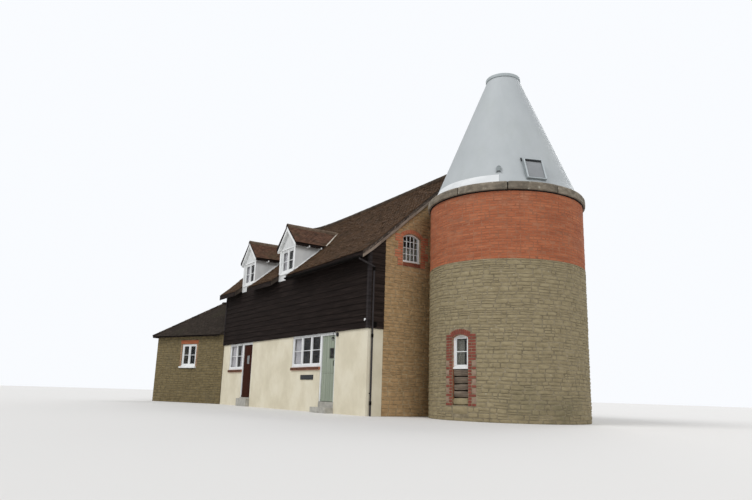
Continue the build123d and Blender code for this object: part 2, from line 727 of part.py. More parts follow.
def build_floors():
    """Ground slabs of the kiln, the range and the wing, and the two upper floors."""
    inner = RANGE_HALF - RENDER_WALL - SEAT
    kiln = ring(0, KILN_IN_R - SEAT, 0, FLOOR_Z)
    near_in = GABLE_X - GABLE_WALL - SEAT
    far_in = FAR_X + GABLE_WALL + SEAT
    slab = block(far_in, near_in, -inner, inner, 0, FLOOR_Z)
    half = INNER_DOOR_WIDTH / 2 - SEAT
    slab += block(near_in - 10, -1000, -half, half, 0, FLOOR_Z) - ring(0, KILN_IN_R, -1, FLOOR_Z + 1)
    slab += block(FAR_X, far_in + 10, WING_DOOR_Y + SEAT, WING_DOOR_Y + INNER_DOOR_WIDTH - SEAT, 0, FLOOR_Z)
    keep("ground_floors", kiln, slab)
    low = UPPER_FLOOR_Z - UPPER_FLOOR_THICK
    upper_half = BOARD_FACE - BOARD_WALL - SEAT
    range_floor = block(far_in, near_in, -upper_half, upper_half, low, UPPER_FLOOR_Z)
    kiln_floor = ring(0, BRICK_IN_R - SEAT, STONE_TOP_Z, STONE_TOP_Z + KILN_FLOOR_THICK)
    keep("upper_floors", range_floor, kiln_floor)


def build_ground_openings(glass_list, frame_list):
    """Windows, door frames and steps of the ground floor."""
    front = Pos(0, FRAME_Y, 0)
    green_x = GREEN_DOOR_X - JAMB_WIDTH
    brown_x = BROWN_DOOR_X - JAMB_WIDTH
    for x, width, lights in ((green_x, NEAR_WINDOW_WIDTH, 3), (brown_x, FAR_WINDOW_WIDTH, 2)):
        frame_list.append(
            square_window(x - width, width, WINDOW_FOOT_Z, BOARD_Z, lights, front, glass_list)
        )
    back = Pos(0, -FRAME_Y, 0) * Rot(0, 0, 180)
    for x in REAR_WINDOW_X:
        frame_list.append(
            square_window(
                -x - REAR_WINDOW_WIDTH / 2, REAR_WINDOW_WIDTH, WINDOW_FOOT_Z, BOARD_Z, 3, back, glass_list
            )
        )
    frames = []
    steps = []
    for x, width in ((GREEN_DOOR_X, GREEN_DOOR_WIDTH), (BROWN_DOOR_X, BROWN_DOOR_WIDTH)):
        outer = block(
            x - JAMB_WIDTH + SEAT, x + width + JAMB_WIDTH - SEAT, FRAME_Y, LEAF_IN_Y, FLOOR_Z, BOARD_Z - SEAT
        )
        frames.append(outer - block(x, x + width, FRAME_Y - 1, LEAF_IN_Y + 1, FLOOR_Z - 1, DOOR_HEAD_Z))
        base = block(
            x - JAMB_WIDTH + SEAT,
            x + width + JAMB_WIDTH - SEAT,
            -RANGE_HALF,
            -RANGE_HALF + RENDER_WALL - SEAT,
            0,
            FLOOR_Z - SEAT,
        )
        steps.append(base)
    x0 = GREEN_DOOR_X - STEP_MARGIN
    x1 = GREEN_DOOR_X + GREEN_DOOR_WIDTH + STEP_MARGIN
    steps[0] += block(x0, x1, -RANGE_HALF - STEP_GOING, -RANGE_HALF, 0, STEP_RISE)
    x0 = BROWN_DOOR_X - STEP_MARGIN
    x1 = BROWN_DOOR_X + BROWN_DOOR_WIDTH + STEP_MARGIN
    steps[1] += block(x0, x1, -RANGE_HALF - STEP_GOING / 2, -RANGE_HALF, 0, FLOOR_Z - 40)
    keep("door_frames", *frames)
    keep("door_steps", *steps)


# Doors


def pivot(door_x):
    """Plan position of a door's hinge pins."""
    return door_x - PIN_R, LEAF_IN_Y + PIN_OUT


def leaf_body(door_x, width, z0, z1):
    """A plain leaf with its gaps taken off."""
    x0 = door_x + LEAF_GAP
    x1 = door_x + width - LATCH_GAP
    return block(x0, x1, LEAF_IN_Y - LEAF_THICK, LEAF_IN_Y, z0, z1)


def strap(door_x, z):
    """An inside strap with its eye round the pin."""
    px, py = pivot(door_x)
    y0 = LEAF_IN_Y + SEAT
    eye = Pos(px, py, z) * Cylinder(EYE_R, STRAP_HEIGHT)
    band = block(
        px, px + STRAP_LENGTH, y0, y0 + STRAP_THICK, z - STRAP_HEIGHT / 2, z + STRAP_HEIGHT / 2
    )
    bore = Pos(px, py, z) * Cylinder(PIN_R + PIN_FIT, STRAP_HEIGHT + 2)
    return eye + band - bore


def pintle(door_x, z):
    """A pin on its plate, fixed to the jamb's inner face."""
    px, py = pivot(door_x)
    height = STRAP_HEIGHT / 2
    pin = Pos(px, py, z) * Cylinder(PIN_R, STRAP_HEIGHT + 16)
    foot = Pos(px, py, z - height - 6) * Cylinder(EYE_R, 10)
    y0 = LEAF_IN_Y + SEAT
    plate = block(px - PLATE_WIDTH - 14, px - EYE_R - 6, y0, y0 + 6, z - 60, z + 30)
    arm = block(px - PLATE_WIDTH, px, y0, y0 + PIN_OUT, z - height - 11, z - height - 1)
    return pin + foot + plate + arm


def pull_handle(x, z):
    """A black pull on a door's outer face."""
    y = LEAF_IN_Y - LEAF_THICK - SEAT
    grip = Pos(x, y - HANDLE_OUT + HANDLE_R, z) * Cylinder(HANDLE_R, HANDLE_HEIGHT)
    arm = HANDLE_OUT - HANDLE_R
    for end in (-1, 1):
        middle = z + end * (HANDLE_HEIGHT / 2 - HANDLE_R)
        grip += Pos(x, y - arm / 2, middle) * Rot(90, 0, 0) * Cylinder(HANDLE_R * 0.8, arm)
    return grip


def pane_hole(x, z, width, height):
    """The cut for a small pane in a leaf."""
    w = width / 2
    h = height / 2
    return block(x - w, x + w, LEAF_IN_Y - LEAF_THICK - 1, LEAF_IN_Y + 1, z - h, z + h)


def pane_glass(x, z, width, height):
    """A small pane in the middle of a leaf's thickness."""
    middle = LEAF_IN_Y - LEAF_THICK / 2
    w = width / 2 - SEAT
    h = height / 2 - SEAT
    return block(x - w, x + w, middle - GLASS_THICK / 2, middle + GLASS_THICK / 2, z - h, z + h)


def build_doors():
    """The plank door and the two leaves of the stable door, with their ironwork."""
    foot = FLOOR_Z + LEAF_GAP
    head = DOOR_HEAD_Z - LEAF_GAP
    brown_x = BROWN_DOOR_X + BROWN_DOOR_WIDTH * 0.5
    brown = leaf_body(BROWN_DOOR_X, BROWN_DOOR_WIDTH, foot, head)
    brown -= pane_hole(brown_x, BROWN_PANE_Z, BROWN_PANE_WIDTH, PANE_HEIGHT)
    keep("brown_door", brown)
    keep("brown_door_pane", pane_glass(brown_x, BROWN_PANE_Z, BROWN_PANE_WIDTH, PANE_HEIGHT))
    brown_straps = [strap(BROWN_DOOR_X, foot + STRAP_INSET), strap(BROWN_DOOR_X, head - STRAP_INSET)]
    latch_x = BROWN_DOOR_X + BROWN_DOOR_WIDTH - LATCH_GAP - 60
    keep("brown_door_ironwork", *brown_straps, pull_handle(latch_x, FLOOR_Z + BROWN_HANDLE_RISE))
    low_top = STABLE_SPLIT_Z - LEAF_GAP / 2 - 0.5
    high_foot = STABLE_SPLIT_Z + LEAF_GAP / 2 + 0.5
    keep("green_door_lower", leaf_body(GREEN_DOOR_X, GREEN_DOOR_WIDTH, foot, low_top))
    pane_x = GREEN_DOOR_X + GREEN_DOOR_WIDTH - GREEN_PANE_LATCH
    upper = leaf_body(GREEN_DOOR_X, GREEN_DOOR_WIDTH, high_foot, head)
    upper -= pane_hole(pane_x, GREEN_PANE_Z, PANE_WIDTH, PANE_HEIGHT)
    keep("green_door_upper", upper)
    keep("green_door_pane", pane_glass(pane_x, GREEN_PANE_Z, PANE_WIDTH, PANE_HEIGHT))
    low_straps = [strap(GREEN_DOOR_X, foot + STRAP_INSET), strap(GREEN_DOOR_X, low_top - STRAP_INSET)]
    high_straps = [strap(GREEN_DOOR_X, high_foot + STRAP_INSET), strap(GREEN_DOOR_X, head - STRAP_INSET)]
    keep("green_door_lower_ironwork", *low_straps)
    latch_x = GREEN_DOOR_X + GREEN_DOOR_WIDTH - LATCH_GAP - 40
    keep("green_door_upper_ironwork", *high_straps, pull_handle(latch_x, STABLE_SPLIT_Z + UPPER_HANDLE_RISE))
    brown_z = (foot + STRAP_INSET, head - STRAP_INSET)
    green_z = (brown_z[0], low_top - STRAP_INSET, high_foot + STRAP_INSET, brown_z[1])
    pins = []
    for door_x, heights in ((BROWN_DOOR_X, brown_z), (GREEN_DOOR_X, green_z)):
        pins += [pintle(door_x, z) for z in heights]
    keep("door_pintles", *pins)


# Low wing


def build_wing(glass_list, frame_list):
    """The hipped wing, turned against the range and cut where it meets the far gable."""
    place = Pos(FAR_X, -BOARD_FACE, 0) * Rot(0, 0, WING_ANGLE)
    reach = WING_DEPTH
    side = RANGE_HALF + WING_LENGTH
    main = block(FAR_X - SEAT, 0, -side, side, -SEAT, SKY_Z)
    boards = block(FAR_X - BOARD_PROUD - SEAT, 0, -side, side, BOARD_Z - SEAT, SKY_Z)
    top = WING_EAVES_Z
    window_x = -WING_WINDOW_FAR
    window_top = WING_WINDOW_Z + WING_WINDOW_HEIGHT
    hole = block(window_x, window_x + WING_WINDOW_WIDTH, -10, WING_WALL + 10, WING_WINDOW_Z, window_top)
    front = block(-WING_LENGTH, reach, 0, WING_WALL, 0, top) - hole
    rear = block(-WING_LENGTH, reach, WING_DEPTH - WING_WALL, WING_DEPTH, 0, top)
    keep("wing_side_walls", place * front - main - boards, place * rear - main - boards)
    inner = (WING_WALL + SEAT, WING_DEPTH - WING_WALL - SEAT)
    end = block(-WING_LENGTH, -WING_LENGTH + WING_WALL, *inner, 0, top)
    keep("wing_end_wall", place * end)
    frame_list.append(
        square_window(
            window_x,
            WING_WINDOW_WIDTH,
            WING_WINDOW_Z,
            window_top,
            2,
            place * Pos(0, FRAME_SETBACK, 0),
            glass_list,
        )
    )
    half = WING_DEPTH / 2 + WING_OVERHANG
    rise = half * WING_PITCH
    across = [(-WING_OVERHANG, top), (WING_DEPTH + WING_OVERHANG, top), (WING_DEPTH / 2, top + rise)]
    tip = -WING_LENGTH - WING_OVERHANG
    hip = [(tip, top), (reach, top), (reach, top + rise), (tip + half, top + rise)]
    body = along_x(across, tip, reach)
    body &= along_y(hip, -1000, WING_DEPTH + 1000)
    roof = body - Pos(0, 0, -WING_ROOF_DEPTH) * body
    keep("wing_roof", place * roof - main - boards)
    floor = block(-WING_LENGTH + WING_WALL + SEAT, reach, *inner, 0, FLOOR_Z)
    keep("wing_floor", place * floor - main)


# Trim


def rod(start, end, radius):
    """A round bar between two points."""
    way = Vector(*end) - Vector(*start)
    bar = Cylinder(radius, way.length, align=(Align.CENTER, Align.CENTER, Align.MIN))
    return Plane(origin=start, z_dir=way) * bar


def build_rainwater():
    """A gutter and a downpipe on each side, the pipes clipped to the returned boards."""
    front_x = DORMER_X[0] + DORMER_HALF + 60
    rear_x = FAR_X - VERGE_OUT
    end_x = GABLE_X + VERGE_OUT
    back_y = -EAVES_HALF - SEAT
    gutter_y = back_y - GUTTER_R
    gutter_z = EAVES_Z - GUTTER_DROP
    gutters = []
    for x0 in (front_x, rear_x):
        half_round = ring(GUTTER_R - GUTTER_WALL, GUTTER_R, 0, end_x - x0)
        half_round -= block(-GUTTER_R - 1, GUTTER_R + 1, 0, GUTTER_R + 1, -1, end_x - x0 + 1)
        gutter = Pos(x0, gutter_y, gutter_z) * Rot(0, 90, 0) * Rot(0, 0, 90) * half_round
        gutter += block(x0, end_x, back_y - GUTTER_BACK, back_y, gutter_z - GUTTER_R / 2, gutter_z)
        gutters.append(gutter)
    keep("gutters", gutters[0], mirror(gutters[1], about=Plane.XZ))

    x = GABLE_X + BOARD_PROUD + PIPE_OFF + PIPE_R
    head = (x, PIPE_Y, PIPE_HEAD_Z)
    neck = (x, gutter_y, gutter_z - GUTTER_R - PIPE_R)
    pipe = rod((x, PIPE_Y, 0), head, PIPE_R)
    pipe += Pos(*head) * Sphere(PIPE_R)
    pipe += rod(head, neck, PIPE_R)
    pipe += Pos(*neck) * Sphere(PIPE_R)
    pipe += rod(neck, (x, gutter_y, gutter_z), PIPE_R)
    pipe -= rod((front_x, gutter_y, gutter_z), (end_x, gutter_y, gutter_z), GUTTER_R + SEAT)
    half = CLIP_WIDTH / 2
    for z, wall in zip(CLIP_Z, (GABLE_X, GABLE_X + BOARD_PROUD)):
        pipe += block(wall + SEAT, x, PIPE_Y - half, PIPE_Y + half, z, z + CLIP_HEIGHT)
    keep("downpipes", pipe, mirror(pipe, about=Plane.XZ))


def build_trim():
    """Bare sign plate and wall lantern on the front."""
    sign_y = -RANGE_HALF - SIGN_THICK
    sign = block(SIGN_X, SIGN_X + SIGN_WIDTH, sign_y, -RANGE_HALF - SEAT, SIGN_Z, SIGN_Z + SIGN_HEIGHT)
    keep("sign_plate", sign)
    y = -RANGE_HALF - SEAT
    plate = block(LANTERN_X - 45, LANTERN_X + 45, y - 15, y, LANTERN_Z, LANTERN_Z + 160)
    arm = block(LANTERN_X - 8, LANTERN_X + 8, y - 150, y - 15, LANTERN_Z + 130, LANTERN_Z + 146)
    body = Cylinder(70, 190, align=(Align.CENTER, Align.CENTER, Align.MIN))
    keep("wall_lantern", plate + arm + Pos(LANTERN_X, y - 150, LANTERN_Z - 40) * body)


def main():
    """Builds every node and writes one STEP file for each."""
    ground_glass = []
    upper_glass = []
    ground_frames = []
    upper_frames = []
    build_kiln_walls()
    build_cone()
    build_kiln_window(ground_glass)
    build_range_walls()
    build_range_roof()
    build_dormers(upper_glass, upper_frames)
    build_gable_window(upper_glass, upper_frames)
    build_floors()
    build_ground_openings(ground_glass, ground_frames)
    build_wing(ground_glass, ground_frames)
    build_doors()
    build_rainwater()
    build_trim()
    keep("ground_window_frames", *ground_frames)
    keep("ground_window_glass", *ground_glass)
    keep("upper_window_frames", *upper_frames)
    keep("upper_window_glass", *upper_glass)
    for name, solids in NODES.items():
        export_step(solids, f"parts/{name}.step")


main()
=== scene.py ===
"""Looks of an oast house: a round kiln with a painted cone, a boarded range and a hipped wing."""

from __future__ import annotations

import json
import logging
import math
import random
from dataclasses import dataclass, field, replace
from enum import Enum
from typing import Callable, Iterable, Sequence, Union

import bmesh
import bpy
import numpy as np
from mathutils import Matrix, Vector

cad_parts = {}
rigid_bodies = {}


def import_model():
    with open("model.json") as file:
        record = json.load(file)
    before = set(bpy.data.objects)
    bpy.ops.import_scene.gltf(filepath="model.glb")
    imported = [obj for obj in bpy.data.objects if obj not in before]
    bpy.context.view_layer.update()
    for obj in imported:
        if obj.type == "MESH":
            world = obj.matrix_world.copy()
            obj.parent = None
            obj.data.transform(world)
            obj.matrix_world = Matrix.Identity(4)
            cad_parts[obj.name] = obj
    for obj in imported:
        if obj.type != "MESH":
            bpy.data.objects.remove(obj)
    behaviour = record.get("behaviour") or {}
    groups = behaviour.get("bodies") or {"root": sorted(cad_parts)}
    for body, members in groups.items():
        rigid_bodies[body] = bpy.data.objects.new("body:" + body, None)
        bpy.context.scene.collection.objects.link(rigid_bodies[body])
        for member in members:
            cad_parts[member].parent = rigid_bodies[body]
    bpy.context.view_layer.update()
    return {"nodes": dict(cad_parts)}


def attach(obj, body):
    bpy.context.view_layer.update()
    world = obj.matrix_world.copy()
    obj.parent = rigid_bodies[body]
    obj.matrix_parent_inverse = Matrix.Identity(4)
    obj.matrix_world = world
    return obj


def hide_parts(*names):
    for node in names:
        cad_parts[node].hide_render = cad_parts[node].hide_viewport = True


LOG = logging.getLogger("oast_house")

Colour = tuple[float, float, float]
Ramp = tuple[tuple[float, Colour], ...]
Span = tuple[float, float]
Point = tuple[float, float, float]
Input = Union[bpy.types.NodeSocket, float, Sequence[float]]

WORLD_UP = np.array((0.0, 0.0, 1.0))

# Places that more than one sub-assembly uses, in metres and degrees

DORMER_MIDDLES: Span = (-7.47, -10.96)
DORMER_HALF = 0.62
DORMER_APEX = 6.52
KILN_WINDOW_AZIMUTH = -78.4
GABLE_WINDOW_MIDDLE = -1.96

# Angles in degrees under which edges are smooth

STONE_EDGE = 38
ROUND_EDGE = 40
TRIM_EDGE = 30
SHELL_EDGE = 25


class Body(Enum):
    """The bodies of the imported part."""

    HOUSE = "building"
    BROWN_DOOR = "brown_door"
    LOWER_LEAF = "green_door_lower_leaf"
    UPPER_LEAF = "green_door_upper_leaf"


class Slot(Enum):
    """The record's material slots."""

    STONE = "rubble_stone"
    BRICK = "red_brick"
    COPING = "coping_stone"
    CONE = "cone_paint"
    FLASHING = "white_paint"
    RENDER = "cream_render"
    BOARDS = "black_boards"
    TILES = "roof_tiles"
    PLASTER = "white_plaster"
    JOINERY = "white_timber"
    GLASS = "window_glass"
    PLANKS = "brown_planks"
    SAGE = "sage_boards"
    IRON = "black_iron"
    SLAB = "floor_slab"
    FLOORBOARDS = "floor_boards"
    PLASTIC = "black_plastic"
    TIMBER = "dark_timber"


class Coords(Enum):
    """Where a finish takes its pattern's coordinates from."""

    OBJECT = "object"
    LAY = "lay"


# Shader groups


def socket(sockets: Iterable[bpy.types.NodeSocket], name: str) -> bpy.types.NodeSocket:
    """Finds the enabled socket of a name.

    Args:
        sockets: A node's inputs or outputs.
        name: The socket's name.

    Returns:
        The first enabled socket that has the name.
    """
    return next(s for s in sockets if s.name == name and s.enabled)


class Wiring:
    """A node tree that is filled by short calls."""

    def __init__(self, tree: bpy.types.NodeTree) -> None:
        """Starts with the tree to fill."""
        self.tree = tree

    def feed(self, target: bpy.types.NodeSocket, value: Input) -> None:
        """Links an output to an input, or sets the input's own value.

        Args:
            target: The input.
            value: The output or the plain value.
        """
        if isinstance(value, bpy.types.NodeSocket):
            self.tree.links.new(value, target)
        else:
            target.default_value = value

    def node(self, kind: str, inputs: dict | None = None, **settings) -> bpy.types.Node:
        """Adds a node.

        Args:
            kind: The node's type name.
            inputs: Values or sockets by input name or number.
            **settings: Properties of the node itself.

        Returns:
            The new node.
        """
        node = self.tree.nodes.new(kind)
        for key, value in settings.items():
            setattr(node, key, value)
        for key, value in (inputs or {}).items():
            self.feed(node.inputs[key] if isinstance(key, int) else socket(node.inputs, key), value)
        return node

    def math(self, operation: str, a: Input, b: Input = 0.0, clamp: bool = False) -> bpy.types.NodeSocket:
        """Adds a Math node and gives its output."""
        node = self.node("ShaderNodeMath", {0: a, 1: b}, operation=operation, use_clamp=clamp)
        return node.outputs[0]

    def ramp(self, factor: Input, stops: Ramp) -> bpy.types.NodeSocket:
        """Adds a colour ramp.

        Args:
            factor: The socket that drives it.
            stops: Positions and colours.

        Returns:
            The colour output.
        """
        node = self.node("ShaderNodeValToRGB", {0: factor})
        elements = node.color_ramp.elements
        while len(elements) < len(stops):
            elements.new(0.5)
        for element, (place, colour) in zip(elements, stops):
            element.position = place
            element.color = (*colour, 1.0)
        return node.outputs[0]

    def mix(self, factor: Input, under: bpy.types.NodeSocket, over: Colour) -> bpy.types.NodeSocket:
        """Lays a plain colour over another.

        Args:
            factor: How much of it shows.
            under: The colour under it.
            over: The plain colour.

        Returns:
            The result's socket.
        """
        node = self.node("ShaderNodeMix", data_type="RGBA", blend_type="MIX")
        for index, value in ((0, factor), (6, under), (7, (*over, 1.0))):
            self.feed(node.inputs[index], value)
        return node.outputs[2]

    def noise(
        self, vector: Input, scale: Input, detail: float = 4.0, rough: float = 0.55
    ) -> bpy.types.NodeSocket:
        """Adds a noise texture and gives its value."""
        inputs = {"Vector": vector, "Scale": scale, "Detail": detail, "Roughness": rough}
        return self.node("ShaderNodeTexNoise", inputs).outputs[0]

    def step(self, value: Input, low: float, high: float) -> bpy.types.NodeSocket:
        """Maps a value smoothly from 0 at low to 1 at high."""
        inputs = {"Value": value, "From Min": low, "From Max": high}
        return self.node("ShaderNodeMapRange", inputs, interpolation_type="SMOOTHSTEP").outputs[0]


@dataclass(frozen=True)
class GroupSocket:
    """A socket of a shader or geometry group."""

    name: str
    kind: str
    default: float | None = None


def new_group(
    name: str, tree_kind: str, inputs: Sequence[GroupSocket], outputs: Sequence[GroupSocket]
) -> tuple[bpy.types.NodeTree, Wiring, dict, bpy.types.Node]:
    """Makes a node group with named sockets.

    Args:
        name: The group's name.
        tree_kind: ShaderNodeTree or GeometryNodeTree.
        inputs: The input sockets.
        outputs: The output sockets.

    Returns:
        The tree, its wiring, its input sockets by name, and its output node.
    """
    tree = bpy.data.node_groups.new(name, tree_kind)
    for direction, sockets in (("INPUT", inputs), ("OUTPUT", outputs)):
        for entry in sockets:
            made = tree.interface.new_socket(name=entry.name, in_out=direction, socket_type=entry.kind)
            if entry.default is not None:
                made.default_value = entry.default
    source = tree.nodes.new("NodeGroupInput")
    target = tree.nodes.new("NodeGroupOutput")
    return tree, Wiring(tree), {s.name: s for s in source.outputs if s.name}, target


FLOAT = "NodeSocketFloat"
VECTOR = "NodeSocketVector"


class Weathering:
    """The shader groups that every finish shares."""

    def __init__(self) -> None:
        """Builds each group once."""
        self.tone = self.build_tone()
        self.patches = self.build_patches()
        self.spots = self.build_spots()
        self.runs = self.build_runs()
        self.relief = self.build_relief()

    @staticmethod
    def build_tone() -> bpy.types.NodeTree:
        """The mix of each piece's own shade with a grain along it."""
        entries = [
            GroupSocket("Vector", VECTOR),
            GroupSocket("Grain", VECTOR),
            GroupSocket("Tint", FLOAT, 0.5),
            GroupSocket("Tint Share", FLOAT, 0.5),
        ]
        tree, w, s, out = new_group("piece_tone", "ShaderNodeTree", entries, [GroupSocket("Tone", FLOAT)])
        scaled = w.node("ShaderNodeVectorMath", {0: s["Vector"], 1: s["Grain"]}, operation="MULTIPLY")
        grain = w.noise(scaled.outputs[0], 1.0, 5.0, 0.62)
        spread = w.step(grain, 0.28, 0.72)
        rest = w.math("SUBTRACT", 1.0, s["Tint Share"])
        own = w.math("MULTIPLY", s["Tint"], s["Tint Share"])
        total = w.math("ADD", own, w.math("MULTIPLY", spread, rest))
        tree.links.new(total, out.inputs[0])
        return tree

    @staticmethod
    def build_patches() -> bpy.types.NodeTree:
        """Large uneven patches, such as moss, soot or old repairs."""
        entries = [
            GroupSocket("Vector", VECTOR),
            GroupSocket("Scale", FLOAT, 0.6),
            GroupSocket("Cover", FLOAT, 0.5),
        ]
        tree, w, s, out = new_group("patches", "ShaderNodeTree", entries, [GroupSocket("Mask", FLOAT)])
        broad = w.noise(s["Vector"], s["Scale"], 3.0, 0.5)
        fine = w.noise(s["Vector"], w.math("MULTIPLY", s["Scale"], 9.0), 4.0, 0.6)
        both = w.math("ADD", w.math("MULTIPLY", broad, 0.75), w.math("MULTIPLY", fine, 0.25))
        low = w.math("SUBTRACT", 0.72, w.math("MULTIPLY", s["Cover"], 0.34))
        mask = w.math("MULTIPLY", w.math("SUBTRACT", both, low), 7.0, clamp=True)
        tree.links.new(mask, out.inputs[0])
        return tree

    @staticmethod
    def build_spots() -> bpy.types.NodeTree:
        """Small round growths and chips."""
        entries = [
            GroupSocket("Vector", VECTOR),
            GroupSocket("Scale", FLOAT, 9.0),
            GroupSocket("Size", FLOAT, 0.2),
        ]
        tree, w, s, out = new_group("spots", "ShaderNodeTree", entries, [GroupSocket("Mask", FLOAT)])
        cells = w.node("ShaderNodeTexVoronoi", {"Vector": s["Vector"], "Scale": s["Scale"]})
        wobble = w.noise(s["Vector"], w.math("MULTIPLY", s["Scale"], 3.0), 2.0)
        distance = w.math("ADD", cells.outputs["Distance"], w.math("MULTIPLY", wobble, 0.22))
        few = w.node("ShaderNodeSeparateColor", {0: cells.outputs["Color"]}).outputs[0]
        radius = w.math("MULTIPLY", s["Size"], few)
        mask = w.math("MULTIPLY", w.math("SUBTRACT", radius, distance), 9.0, clamp=True)
        tree.links.new(mask, out.inputs[0])
        return tree

    @staticmethod
    def build_runs() -> bpy.types.NodeTree:
        """Stains that rain has drawn down an upright face."""
        entries = [GroupSocket("Vector", VECTOR), GroupSocket("Scale", FLOAT, 4.0)]
        tree, w, s, out = new_group("rain_runs", "ShaderNodeTree", entries, [GroupSocket("Mask", FLOAT)])
        inputs = {0: s["Vector"], 1: (1.0, 1.0, 0.07)}
        flat = w.node("ShaderNodeVectorMath", inputs, operation="MULTIPLY").outputs[0]
        lines = w.noise(flat, s["Scale"], 4.0, 0.6)
        cloud = w.noise(s["Vector"], 0.7, 2.0)
        mask = w.math("MULTIPLY", w.step(lines, 0.5, 0.72), w.step(cloud, 0.38, 0.62))
        tree.links.new(mask, out.inputs[0])
        return tree

    @staticmethod
    def build_relief() -> bpy.types.NodeTree:
        """The fine height of a rough face."""
        entries = [
            GroupSocket("Vector", VECTOR),
            GroupSocket("Grain", VECTOR),
            GroupSocket("Pits", FLOAT, 30.0),
        ]
        tree, w, s, out = new_group("relief", "ShaderNodeTree", entries, [GroupSocket("Height", FLOAT)])
        scaled = w.node("ShaderNodeVectorMath", {0: s["Vector"], 1: s["Grain"]}, operation="MULTIPLY")
        coarse = w.noise(scaled.outputs[0], 1.0, 6.0, 0.65)
        pits = w.noise(s["Vector"], s["Pits"], 3.0, 0.6)
        height = w.math("ADD", w.math("MULTIPLY", coarse, 0.65), w.math("MULTIPLY", pits, 0.35))
        tree.links.new(height, out.inputs[0])
        return tree


def new_material(name: str) -> tuple[bpy.types.Material, Wiring, bpy.types.Node]:
    """Makes a material.

    Args:
        name: Its name.

    Returns:
        The material, its wiring and its Principled shader.
    """
    material = bpy.data.materials.new(name)
    material.use_nodes = True
    return material, Wiring(material.node_tree), material.node_tree.nodes["Principled BSDF"]


def shades(*colours: Colour, at: Sequence[float] = ()) -> Ramp:
    """Sets colours along a ramp.

    Args:
        *colours: The colours from one end to the other.
        at: Their places from 0 to 1, or nothing where they are evenly spaced.

    Returns:
        Each place with its colour.
    """
    places = at or [k / (len(colours) - 1) for k in range(len(colours))]
    return tuple(zip(places, colours))


@dataclass(frozen=True)
class Layer:
    """A layer of weathering. Its spread is how much patches cover, or how large spots are."""

    colour: Colour
    strength: float
    scale: float
    spread: float | None = None


@dataclass(frozen=True)
class Relief:
    """The strength and depth of a surface's bump, and how fine its pits are."""

    bump: float = 0.3
    depth: float = 0.004
    pits: float = 30.0


@dataclass(frozen=True)
class Finish:
    """A weathered surface: a ramp of shades, then patches, spots and runs, with its own relief."""

    name: str
    slot: Slot
    shades: Ramp
    coords: Coords = Coords.OBJECT
    grain: Point = (4.0, 4.0, 4.0)
    tint_share: float = 0.0
    patches: Layer | None = None
    spots: Layer | None = None
    runs: Layer | None = None
    rough: Span = (0.7, 0.9)
    specular: float = 0.22
    metallic: float = 0.0
    coat: float = 0.0
    relief: Relief = Relief()

    def build(self, groups: Weathering) -> bpy.types.Material:
        """Makes the material.

        Args:
            groups: The shared shader groups.

        Returns:
            The material.
        """
        material, w, shader = new_material(self.name)
        lay = place = w.node("ShaderNodeTexCoord").outputs["Object"]
        if self.coords is Coords.LAY:
            lay = w.node("ShaderNodeAttribute", attribute_name="lay").outputs["Vector"]
        tint = w.node("ShaderNodeAttribute", attribute_name="tint").outputs["Fac"]

        def group(tree: bpy.types.NodeTree, **values: Input) -> bpy.types.NodeSocket:
            """Places a shared group.

            Args:
                tree: The group.
                **values: Its inputs by name.

            Returns:
                Its output.
            """
            node = w.node("ShaderNodeGroup")
            node.node_tree = tree
            for key, value in values.items():
                w.feed(node.inputs[key.replace("_", " ")], value)
            return node.outputs[0]

        tone = group(groups.tone, Vector=lay, Grain=self.grain, Tint=tint, Tint_Share=self.tint_share)
        colour = w.ramp(tone, self.shades)
        for layer, tree, spread in (
            (self.patches, groups.patches, "Cover"),
            (self.spots, groups.spots, "Size"),
            (self.runs, groups.runs, None),
        ):
            if layer:
                values = {spread: layer.spread} if spread else {}
                mask = group(tree, Vector=place, Scale=layer.scale, **values)
                colour = w.mix(w.math("MULTIPLY", mask, layer.strength), colour, layer.colour)
        height = group(groups.relief, Vector=lay, Grain=self.grain, Pits=self.relief.pits)
        low, high = self.rough
        roughness = w.math("ADD", w.math("MULTIPLY", height, high - low), low)
        bump = {"Strength": self.relief.bump, "Distance": self.relief.depth, "Height": height}
        for name, value in (
            ("Base Color", colour),
            ("Roughness", roughness),
            ("Normal", w.node("ShaderNodeBump", bump).outputs[0]),
            ("Specular IOR Level", self.specular),
            ("Metallic", self.metallic),
            ("Coat Weight", self.coat),
        ):
            w.feed(shader.inputs[name], value)
        return material


@dataclass(frozen=True)
class Glazing:
    """Thin old glass: dark, a little see-through, with a faint ripple."""

    name: str
    slot: Slot = Slot.GLASS
    colour: Colour = (0.03, 0.034, 0.038)
    alpha: float = 0.14
    ripple: float = 0.04
    dust: Colour = (0.16, 0.17, 0.17)
    rough: float = 0.04
    refraction: float = 1.5

    def build(self, _: Weathering) -> bpy.types.Material:
        """Makes the material.

        Args:
            _: The shared shader groups, which glass does without.

        Returns:
            The material.
        """
        material, w, shader = new_material(self.name)
        place = w.node("ShaderNodeTexCoord").outputs["Object"]
        dust = w.step(w.noise(place, 3.0, 3.0), 0.35, 0.75)
        colour = w.ramp(dust, shades(self.colour, self.dust))
        wave = {"Strength": self.ripple, "Distance": 0.01, "Height": w.noise(place, 5.0, 1.0)}
        for name, value in (
            ("Base Color", colour),
            ("Roughness", self.rough),
            ("Alpha", self.alpha),
            ("IOR", self.refraction),
            ("Normal", w.node("ShaderNodeBump", wave).outputs[0]),
        ):
            w.feed(shader.inputs[name], value)
        return material


# Finishes of the oast house

